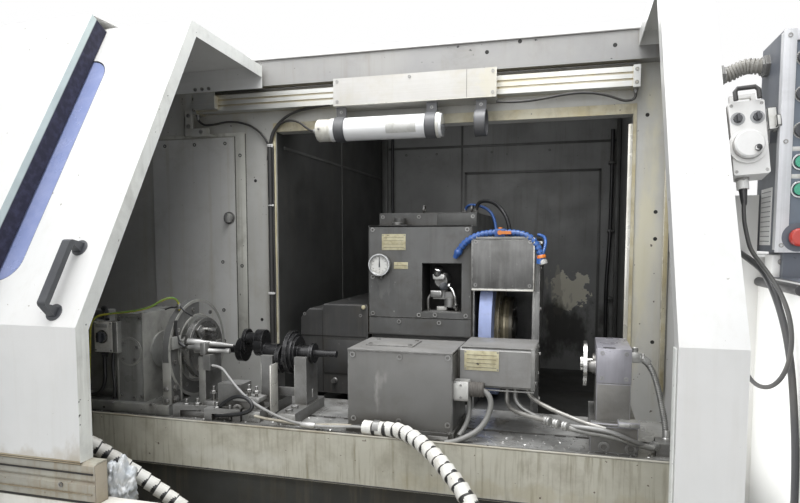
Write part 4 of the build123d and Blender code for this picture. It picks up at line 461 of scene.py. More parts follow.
def pane_with_painted_shade_and_light(name: str) -> bpy.types.Material:
    """Window pane under a protective film: painted shade in dark blue to the left, and painted light in pale blue on
    the film to the right.

    Args:
        name: The material's name.

    Returns:
        The finished material.
    """
    graph = NodeGraph(name)
    ragged = graph.math("ADD", graph.axes()[0], graph.span(graph.noise(5.0, 6.0), 0.2, 0.8, -0.05, 0.05))
    # Painted light: pale blue on the protective film.
    lit_film = graph.mix(graph.span(graph.noise(16.0, 8.0, 0.7), 0.35, 0.7, 0.0, 0.35),
                     (0.30, 0.36, 0.62), (0.52, 0.56, 0.80))
    # Painted shade: dark blue left of the film's ragged edge; the scuffs below are real.
    colour = graph.mix(graph.span(ragged, *PAINTED_SHADE_EDGE_X), (0.055, 0.055, 0.13), lit_film)
    scuffs = graph.noise(1.0, 6.0, 0.7, graph.stretched((60.0, 60.0, 9.0)))
    colour = graph.mix(graph.span(scuffs, 0.62, 0.75, 0.0, 0.5), colour, (0.62, 0.66, 0.80))
    graph.shader.inputs["Transmission Weight"].default_value = 0.12
    return graph.finished(colour, graph.span(graph.noise(9.0, 5.0), 0.3, 0.7, 0.12, 0.34),
                          graph.bump(graph.noise(30.0, 4.0), 0.08, 0.001))


SPECIAL_FINISHES = {"window_pane": pane_with_painted_shade_and_light, "sealed_edge": sealed_edge}


class Palette:
    """Every finish of the machine, made into a material when it is first asked for."""

    def __init__(self, finishes: dict[str, Finish]) -> None:
        """Starts with no material made.

        Args:
            finishes: The finishes by name.
        """
        self.finishes = finishes
        self.made: dict[str, bpy.types.Material] = {}

    def get(self, name: str) -> bpy.types.Material:
        """The material of a finish.

        Args:
            name: The finish's name.

        Returns:
            Its material.
        """
        if name not in self.made:
            special = SPECIAL_FINISHES.get(name)
            self.made[name] = special(name) if special else self.finishes[name].build(name)
        return self.made[name]


def adopt(name: str, data: bpy.types.Mesh, body: Body, ride: bool = True) -> bpy.types.Object:
    """Makes a mesh into a piece of the machine.

    Args:
        name: The piece's name.
        data: Its mesh, with its materials.
        body: The body it rides on.
        ride: Whether it is attached to its body.

    Returns:
        The piece.
    """
    obj = bpy.data.objects.new(name, data)
    bpy.context.scene.collection.objects.link(obj)
    if ride:
        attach(obj, body.value)
    log.info("%s: %d faces on %s", name, len(data.polygons), body.value)
    return obj


NEARLY_UPRIGHT = 0.9


def across_axis(axis: Vector) -> Vector:
    """A direction square to an axis."""
    return axis.cross(Vector(UP) if abs(axis.z) < NEARLY_UPRIGHT else Vector(RIGHT))


def circle(centre: Vector, side: Vector, up: Vector, radius: float, sides: int) -> list[Vector]:
    """Points round a circle.

    Args:
        centre: Its centre.
        side: The direction of its first point.
        up: The direction square to it, in the circle's plane.
        radius: Its radius.
        sides: Number of points.

    Returns:
        The points.
    """
    turns = [math.tau * i / sides for i in range(sides)]
    return [centre + side * radius * math.cos(t) + up * radius * math.sin(t) for t in turns]


def turned(radius: float, *steps: tuple[float, float]) -> list[tuple[float, float]]:
    """The profile of a turned part that starts and ends on its axis.

    Args:
        radius: Its radius at the foot.
        steps: The height and radius of each further corner.

    Returns:
        The profile.
    """
    return [(0, 0), (0, radius), *steps, (steps[-1][0], 0)]


ARC_STEPS = 8
RIVET = [(0, 0), (0, 2.6), (1.2, 2), (1.6, 0)]


def bolt_circle(x: float, centre: tuple[float, float], radius: float, count: int, shift: float = 0.0) -> list[Place]:
    """Places evenly round a circle square to the X axis, each facing right.

    Args:
        x: Where the circle stands.
        centre: Its centre in Y and Z.
        radius: Its radius.
        count: Number of places.
        shift: The first place's turn, in radians.

    Returns:
        The places.
    """
    y, z = centre
    turns = (math.tau * step / count + shift for step in range(count))
    return [((x, y + radius * math.cos(t), z + radius * math.sin(t)), RIGHT) for t in turns]


WELD_DISTANCE = 1e-6


class Piece:
    """Gathers solids, given in row-frame millimetres, and turns them into one finished piece."""

    def __init__(self, palette: Palette) -> None:
        """Starts an empty piece.

        Args:
            palette: Where its finishes come from.
        """
        self.palette = palette
        self.mesh = bmesh.new()
        self.names: list[str] = []

    def _number(self, finish: str) -> int:
        """Material index of a finish in this piece.

        Args:
            finish: The finish's name.

        Returns:
            The index, a new one for a new finish.
        """
        if finish not in self.names:
            self.names.append(finish)
        return self.names.index(finish)

    def _skin(self, rings: list[list[Vector]], finish: str, closed: bool = False) -> None:
        """Joins rings of points with quads and closes the two ends.

        Args:
            rings: The rings, each of as many points as the others or of one, a pole.
            finish: The finish's name.
            closed: Whether the last ring joins the first one instead.
        """
        number = self._number(finish)
        made = [[self.mesh.verts.new(p * MM) for p in ring] for ring in rings]
        pairs = list(zip(made, made[1:]))
        if closed:
            pairs.append((made[-1], made[0]))
        for near, far in pairs:
            if len(near) == 1 and len(far) == 1:
                continue
            count = max(len(near), len(far))
            for i in range(count):
                j = (i + 1) % count
                if len(near) == 1:
                    corners = (near[0], far[i], far[j])
                elif len(far) == 1:
                    corners = (near[i], near[j], far[0])
                else:
                    corners = (near[i], near[j], far[j], far[i])
                self.mesh.faces.new(corners).material_index = number
        if not closed:
            for ring in (made[0], made[-1]):
                if len(ring) > 2:
                    self.mesh.faces.new(ring).material_index = number

    def box(self, x: Span, y: Span, z: Span, finish: str, bevel: float = 1.0, turn: Matrix | None = None) -> None:
        """A box between two corners with softened edges.

        Args:
            x: Its two ends along X.
            y: Its two ends along Y.
            z: Its two ends along Z.
            finish: The finish's name.
            bevel: Width of the softened edges, or 0.
            turn: A turn or placing, applied to the box as given.
        """
        number = self._number(finish)
        size = Matrix.Diagonal((abs(x[1] - x[0]), abs(y[1] - y[0]), abs(z[1] - z[0]), 1.0))
        place = Matrix.Translation(((x[0] + x[1]) / 2, (y[0] + y[1]) / 2, (z[0] + z[1]) / 2)) @ size
        matrix = Matrix.Scale(MM, 4) @ (turn @ place if turn else place)
        made = bmesh.ops.create_cube(self.mesh, size=1.0, matrix=matrix)["verts"]
        faces = {f for v in made for f in v.link_faces}
        for face in faces:
            face.material_index = number
        if bevel:
            edges = list({e for v in made for e in v.link_edges})
            bmesh.ops.bevel(self.mesh, geom=edges, offset=bevel * MM, segments=2, affect="EDGES",
                            profile=0.5, clamp_overlap=True)

    def boxes(self, finish: str, bevel: float, *rows: tuple[Span, Span, Span]) -> None:
        """Several boxes of one finish.

        Args:
            finish: The finish's name.
            bevel: Width of the softened edges, or 0.
            rows: The two ends of each box along X, Y and Z.
        """
        for x, y, z in rows:
            self.box(x, y, z, finish, bevel)

    def lathe(self, origin: Point, along: Point, profile: list[tuple[float, float]], finish: str,
              sides: int = 28, closed: bool = False) -> None:
        """A turned solid.

        Args:
            origin: Where the axis starts.
            along: The axis's direction.
            profile: Distances along the axis, each with its radius; a radius of 0 is a pole.
            finish: The finish's name.
            sides: Number of sides round the axis.
            closed: Whether the profile is a closed loop, as for a ring.
        """
        axis = Vector(along).normalized()
        side = across_axis(axis).normalized()
        up = axis.cross(side)
        rings = []
        for reach, radius in profile:
            centre = Vector(origin) + axis * reach
            rings.append(circle(centre, side, up, radius, sides) if radius > 0 else [centre])
        self._skin(rings, finish, closed)

    def rod(self, start: Point, end: Point, radius: float, finish: str, sides: int = 24, bevel: float = 0.8) -> None:
        """A round bar with softened ends.

        Args:
            start: The centre of one end.
            end: The centre of the other.
            radius: Its radius.
            finish: The finish's name.
            sides: Number of sides round it.
            bevel: Width of its softened ends.
        """
        length = (Vector(end) - Vector(start)).length
        cut = min(bevel, radius * 0.4, length * 0.3)
        profile = turned(radius - cut, (cut, radius), (length - cut, radius), (length, radius - cut))
        self.lathe(start, tuple(Vector(end) - Vector(start)), profile, finish, sides)

    def ring(self, origin: Point, along: Point, inner: float, outer: float, width: float, finish: str,
             sides: int = 36) -> None:
        """A flat ring with softened edges.

        Args:
            origin: The centre of its back.
            along: The way it faces.
            inner: Its inner radius.
            outer: Its outer radius.
            width: Its width along the axis.
            finish: The finish's name.
            sides: Number of sides round it.
        """
        cut = min(0.15 * width, 0.2 * (outer - inner), 1.5)
        profile = [(0, inner + cut), (0, outer - cut), (cut, outer), (width - cut, outer),
                   (width, outer - cut), (width, inner + cut), (width - cut, inner), (cut, inner)]
        self.lathe(origin, along, profile, finish, sides, True)

    def tube(self, points: list[Vector], radius: float, finish: str, sides: int = 12) -> None:
        """A round tube with closed ends.

        Args:
            points: Points along its middle, in millimetres.
            radius: Its radius.
            finish: The finish's name.
            sides: Number of sides round it.
        """
        rings = []
        side = None
        for index, point in enumerate(points):
            ahead = points[min(index + 1, len(points) - 1)] - points[max(index - 1, 0)]
            ahead.normalize()
            side = across_axis(ahead) if side is None else side
            side = (side - ahead * side.dot(ahead)).normalized()
            rings.append(circle(point, side, ahead.cross(side), radius, sides))
        self._skin(rings, finish)

    def hose(self, points: list[Point], radius: float, finish: str, sides: int = 12) -> None:
        """A round tube along the smooth line of a route.

        Args:
            points: The route's points in millimetres.
            radius: Its radius.
            finish: The finish's name.
            sides: Number of sides round it.
        """
        self.tube(route(points), radius, finish, sides)

    def slab(self, outline: list[Point], depth: Point, finish: str) -> None:
        """A flat outline pushed through a depth.

        Args:
            outline: The outline's points.
            depth: How far it is pushed, and which way.
            finish: The finish's name.
        """
        near = [Vector(p) for p in outline]
        far = [p + Vector(depth) for p in near]
        self._skin([near, far], finish)

    def hexagon(self, origin: Point, along: Point, radius: float, height: float, finish: str) -> None:
        """A hexagon bolt head with its washer face and a domed top.

        Args:
            origin: Where its washer sits.
            along: The way it faces.
            radius: Its radius over the corners.
            height: Its height.
            finish: The finish's name.
        """
        washer = radius * 1.15
        self.lathe(origin, along, [(0, 0), (0, washer), (1.6, washer), (1.6, radius * 1.02)], finish, 24)
        self.lathe(origin, along, [(1.0, radius), (height * 0.85, radius), (height, radius * 0.82),
                                   (height, 0)], finish, 6)

    def done(self, name: str, body: Body, smooth: float = 40.0, ride: bool = True) -> bpy.types.Object:
        """Makes the object, with soft shading inside a crease angle.

        Args:
            name: The piece's name.
            body: The body it rides on.
            smooth: Largest angle between faces that are shaded as one.
            ride: Whether it is attached to its body.

        Returns:
            The finished object.
        """
        bmesh.ops.remove_doubles(self.mesh, verts=self.mesh.verts, dist=WELD_DISTANCE)
        bmesh.ops.recalc_face_normals(self.mesh, faces=self.mesh.faces)
        limit = math.radians(smooth)
        for face in self.mesh.faces:
            face.smooth = True
        for edge in self.mesh.edges:
            if len(edge.link_faces) == 2 and edge.calc_face_angle(0.0) > limit:
                edge.smooth = False
        data = bpy.data.meshes.new(name)
        self.mesh.to_mesh(data)
        self.mesh.free()
        for finish in self.names:
            data.materials.append(self.palette.get(finish))
        return adopt(name, data, body, ride)


def route(points: list[Point]) -> list[Vector]:
    """Points along the smooth line of a route, read from its NURBS spline.

    Args:
        points: The route's points in millimetres.

    Returns:
        Points along the line, in millimetres.
    """
    curve = bpy.data.curves.new("route", "CURVE")
    curve.dimensions = "3D"
    spline = curve.splines.new("NURBS")
    spline.points.add(len(points) - 1)
    for target, point in zip(spline.points, points):
        target.co = (*[c * MM for c in point], 1.0)
    spline.order_u = 3
    spline.use_endpoint_u = True
    spline.resolution_u = 10
    obj = bpy.data.objects.new("route", curve)
    bpy.context.scene.collection.objects.link(obj)
    bpy.context.view_layer.update()
    line = bpy.data.meshes.new_from_object(obj)
    found = [v.co / MM for v in line.vertices]
    bpy.data.objects.remove(obj)
    bpy.data.meshes.remove(line)
    bpy.data.curves.remove(curve)
    return found


class Repeat:
    """A Geometry Nodes tree that puts a small shape on every point of its input and keeps real faces."""

    def __init__(self, name: str, inputs: list[tuple[str, str, object]]) -> None:
        """Starts the tree.

        Args:
            name: The tree's name.
            inputs: Its inputs, each with its name, socket type and default.
        """
        self.tree = bpy.data.node_groups.new(name, "GeometryNodeTree")
        face = self.tree.interface
        face.new_socket("Geometry", in_out="INPUT", socket_type="NodeSocketGeometry")
        for label, kind, value in inputs:
            socket = face.new_socket(label, in_out="INPUT", socket_type=kind)
            if value is not None:
                socket.default_value = value
        face.new_socket("Finish", in_out="INPUT", socket_type="NodeSocketMaterial")
        face.new_socket("Geometry", in_out="OUTPUT", socket_type="NodeSocketGeometry")
        self.given = self.tree.nodes.new("NodeGroupInput")
        self.result = self.tree.nodes.new("NodeGroupOutput")

    def add(self, kind: str, links: dict[str | int, Value] | None = None, **settings: str) -> bpy.types.Node:
        """Adds a node.

        Args:
            kind: The node's type.
            links: What its inputs are linked or set to, by name or number.
            settings: Its options.

        Returns:
            The new node.
        """
        node = self.tree.nodes.new(kind)
        for key, value in settings.items():
            setattr(node, key, value)
        for key, value in (links or {}).items():
            if isinstance(value, Socket):
                self.tree.links.new(value, node.inputs[key])
            else:
                node.inputs[key].default_value = value
        return node

    def close(self, geometry: Socket) -> "Repeat":
        """Ends the tree in real faces with its finish.

        Args:
            geometry: The geometry that the tree has made.

        Returns:
            The finished tree.
        """
        real = self.add("GeometryNodeRealizeInstances", {"Geometry": geometry})
        painted = self.add("GeometryNodeSetMaterial", {"Geometry": real.outputs[0],
                                                       "Material": self.given.outputs["Finish"]})
        self.tree.links.new(painted.outputs[0], self.result.inputs["Geometry"])
        return self

    def grow(self, name: str, carrier: bpy.types.Mesh, values: dict[str, object], body: Body,
             slot: str, ride: bool = True) -> bpy.types.Object:
        """Runs the tree on a mesh of points or edges and keeps the result as a plain piece.

        Args:
            name: The piece's name.
            carrier: The mesh whose points or edges the tree reads.
            values: Its inputs by name.
            body: The body it rides on.
            slot: The record's material slot it belongs to; not used.
            ride: Whether it rides at once.

        Returns:
            The finished object.
        """
        holder = bpy.data.objects.new(name + "_field", carrier)
        bpy.context.scene.collection.objects.link(holder)
        modifier = holder.modifiers.new("repeat", "NODES")
        modifier.node_group = self.tree
        for item in self.tree.interface.items_tree:
            if item.in_out == "INPUT" and item.name in values:
                modifier[item.identifier] = values[item.name]
        graph = bpy.context.evaluated_depsgraph_get()
        data = bpy.data.meshes.new_from_object(holder.evaluated_get(graph))
        data.name = name
        holder.modifiers.remove(modifier)
        bpy.data.objects.remove(holder)
        bpy.data.meshes.remove(carrier)
        return adopt(name, data, body, ride)


def point_field(places: list[Place]) -> bpy.types.Mesh:
    """A mesh of loose points, each with the direction its fastener faces.

    Args:
        places: The points in millimetres and the directions.

    Returns:
        The mesh.
    """
    data = bpy.data.meshes.new("field")
    data.from_pydata([tuple(c * MM for c in spot) for spot, _ in places], [], [])
    aim = data.attributes.new("aim", "FLOAT_VECTOR", "POINT")
    for index, (_, direction) in enumerate(places):
        aim.data[index].vector = direction
    return data


def line_field(points: list[Vector]) -> bpy.types.Mesh:
    """A mesh of one open line.

    Args:
        points: The points it runs through, in millimetres.

    Returns:
        The mesh.
    """
    data = bpy.data.meshes.new("line")
    data.from_pydata([tuple(p * MM) for p in points], [(i, i + 1) for i in range(len(points) - 1)], [])
    return data


def fresh_mesh() -> bpy.types.Mesh:
    """A carrier for a tree that makes its own points.

    Returns:
        The mesh.
    """
    data = bpy.data.meshes.new("carrier")
    data.from_pydata([(0, 0, 0)], [], [])
    return data


def fastener_tree() -> Repeat:
    """Round screw heads with a driving recess, on points that say which way they face.

    Returns:
        The finished tree.
    """
    tree = Repeat("fasteners", [("Head Radius", "NodeSocketFloat", 0.005), ("Head Height", "NodeSocketFloat", 0.003),
                                ("Sides", "NodeSocketInt", 18), ("Turn Seed", "NodeSocketInt", 7)])
    given = tree.given.outputs
    head = tree.add("GeometryNodeMeshCylinder", {"Vertices": given["Sides"], "Radius": given["Head Radius"],
                                                 "Depth": given["Head Height"]})
    top = head.outputs["Top"]
    inset = tree.add("GeometryNodeExtrudeMesh", {"Mesh": head.outputs["Mesh"], "Selection": top,
                                                 "Offset Scale": 0.0}, mode="FACES")
    shrink = tree.add("GeometryNodeScaleElements", {"Geometry": inset.outputs["Mesh"],
                                                    "Selection": inset.outputs["Top"], "Scale": 0.55})
    depth = tree.add("ShaderNodeMath", {0: given["Head Height"], 1: -0.55}, operation="MULTIPLY")
    recess = tree.add("GeometryNodeExtrudeMesh", {"Mesh": shrink.outputs[0], "Selection": inset.outputs["Top"],
                                                  "Offset Scale": depth.outputs[0]}, mode="FACES")
    aim = tree.add("GeometryNodeInputNamedAttribute", {"Name": "aim"}, data_type="FLOAT_VECTOR")
    facing = tree.add("FunctionNodeAlignRotationToVector", {"Vector": aim.outputs["Attribute"]}, axis="Z")
    chance = tree.add("FunctionNodeRandomValue", {3: math.tau, "Seed": given["Turn Seed"]}, data_type="FLOAT")
    spin = tree.add("ShaderNodeCombineXYZ", {"Z": chance.outputs[1]})
    aimed = tree.add("FunctionNodeRotateRotation", {"Rotation": facing.outputs[0], "Rotate By": spin.outputs[0]},
                     rotation_space="LOCAL")
    placed = tree.add("GeometryNodeInstanceOnPoints", {"Points": given["Geometry"],
                                                       "Instance": recess.outputs["Mesh"],
                                                       "Rotation": aimed.outputs[0]})
    return tree.close(placed.outputs[0])


def band_tree() -> Repeat:
    """Short bands at an even pitch along a line, each leaning a little and differing a little.

    Returns:
        The finished tree.
    """
    tree = Repeat("bands", [("Pitch", "NodeSocketFloat", 0.03), ("Band Radius", "NodeSocketFloat", 0.02),
                            ("Band Width", "NodeSocketFloat", 0.02), ("Lean", "NodeSocketFloat", 0.2),
                            ("Unevenness", "NodeSocketFloat", 0.02), ("Seed", "NodeSocketInt", 3)])
    given = tree.given.outputs
    line = tree.add("GeometryNodeMeshToCurve", {"Mesh": given["Geometry"]})
    even = tree.add("GeometryNodeResampleCurve", {"Curve": line.outputs[0], "Length": given["Pitch"]}, mode="LENGTH")
    ring = tree.add("GeometryNodeMeshCylinder", {"Vertices": 22, "Radius": given["Band Radius"],
                                                 "Depth": given["Band Width"]})
    along = tree.add("GeometryNodeInputTangent")
    facing = tree.add("FunctionNodeAlignRotationToVector", {"Vector": along.outputs[0]}, axis="Z")
    lean = tree.add("ShaderNodeCombineXYZ", {"X": given["Lean"]})
    aimed = tree.add("FunctionNodeRotateRotation", {"Rotation": facing.outputs[0], "Rotate By": lean.outputs[0]},
                     rotation_space="LOCAL")
    low = tree.add("ShaderNodeMath", {0: 1.0, 1: given["Unevenness"]}, operation="SUBTRACT")
    size = tree.add("FunctionNodeRandomValue", {2: low.outputs[0], 3: 1.0, "Seed": given["Seed"]},
                    data_type="FLOAT")
    placed = tree.add("GeometryNodeInstanceOnPoints", {"Points": even.outputs[0], "Instance": ring.outputs["Mesh"],
                                                       "Rotation": aimed.outputs[0], "Scale": size.outputs[1]})
    return tree.close(placed.outputs[0])


def slat_tree() -> Repeat:
    """A row of equal slats at an even step.

    Returns:
        The finished tree.
    """
    tree = Repeat("slats", [("Count", "NodeSocketInt", 8), ("Start", "NodeSocketVector", None),
                            ("Step", "NodeSocketVector", None), ("Size", "NodeSocketVector", None),
                            ("Turn", "NodeSocketVector", None)])
    given = tree.given.outputs
    row = tree.add("GeometryNodeMeshLine", {"Count": given["Count"], "Start Location": given["Start"],
                                            "Offset": given["Step"]}, mode="OFFSET")
    slat = tree.add("GeometryNodeMeshCube", {"Size": given["Size"]})
    placed = tree.add("GeometryNodeInstanceOnPoints", {"Points": row.outputs[0], "Instance": slat.outputs["Mesh"],
                                                       "Rotation": given["Turn"]})
    return tree.close(placed.outputs[0])


def dial_tree() -> Repeat:
    """Graduation marks round a dial, every one pointing at its centre.

    Returns:
        The finished tree.
    """
    tree = Repeat("graduations", [("Marks", "NodeSocketInt", 40), ("Dial Radius", "NodeSocketFloat", 0.03),
                                  ("Mark Size", "NodeSocketVector", None), ("Place", "NodeSocketVector", None),
                                  ("Turn", "NodeSocketVector", None)])
    given = tree.given.outputs
    rim = tree.add("GeometryNodeMeshCircle", {"Vertices": given["Marks"], "Radius": given["Dial Radius"]})
    spot = tree.add("GeometryNodeInputPosition")
    facing = tree.add("FunctionNodeAlignRotationToVector", {"Vector": spot.outputs[0]}, axis="X", pivot_axis="Z")
    mark = tree.add("GeometryNodeMeshCube", {"Size": given["Mark Size"]})
    placed = tree.add("GeometryNodeInstanceOnPoints", {"Points": rim.outputs[0], "Instance": mark.outputs["Mesh"],
                                                       "Rotation": facing.outputs[0]})
    moved = tree.add("GeometryNodeTransform", {"Geometry": placed.outputs[0], "Translation": given["Place"],
                                               "Rotation": given["Turn"]})
    return tree.close(moved.outputs[0])


OIL = (0.055, 0.045, 0.03)
RUST = (0.20, 0.10, 0.045)
YELLOW_STAIN = (0.50, 0.40, 0.16)
BARE_IRON = (0.42, 0.42, 0.41)

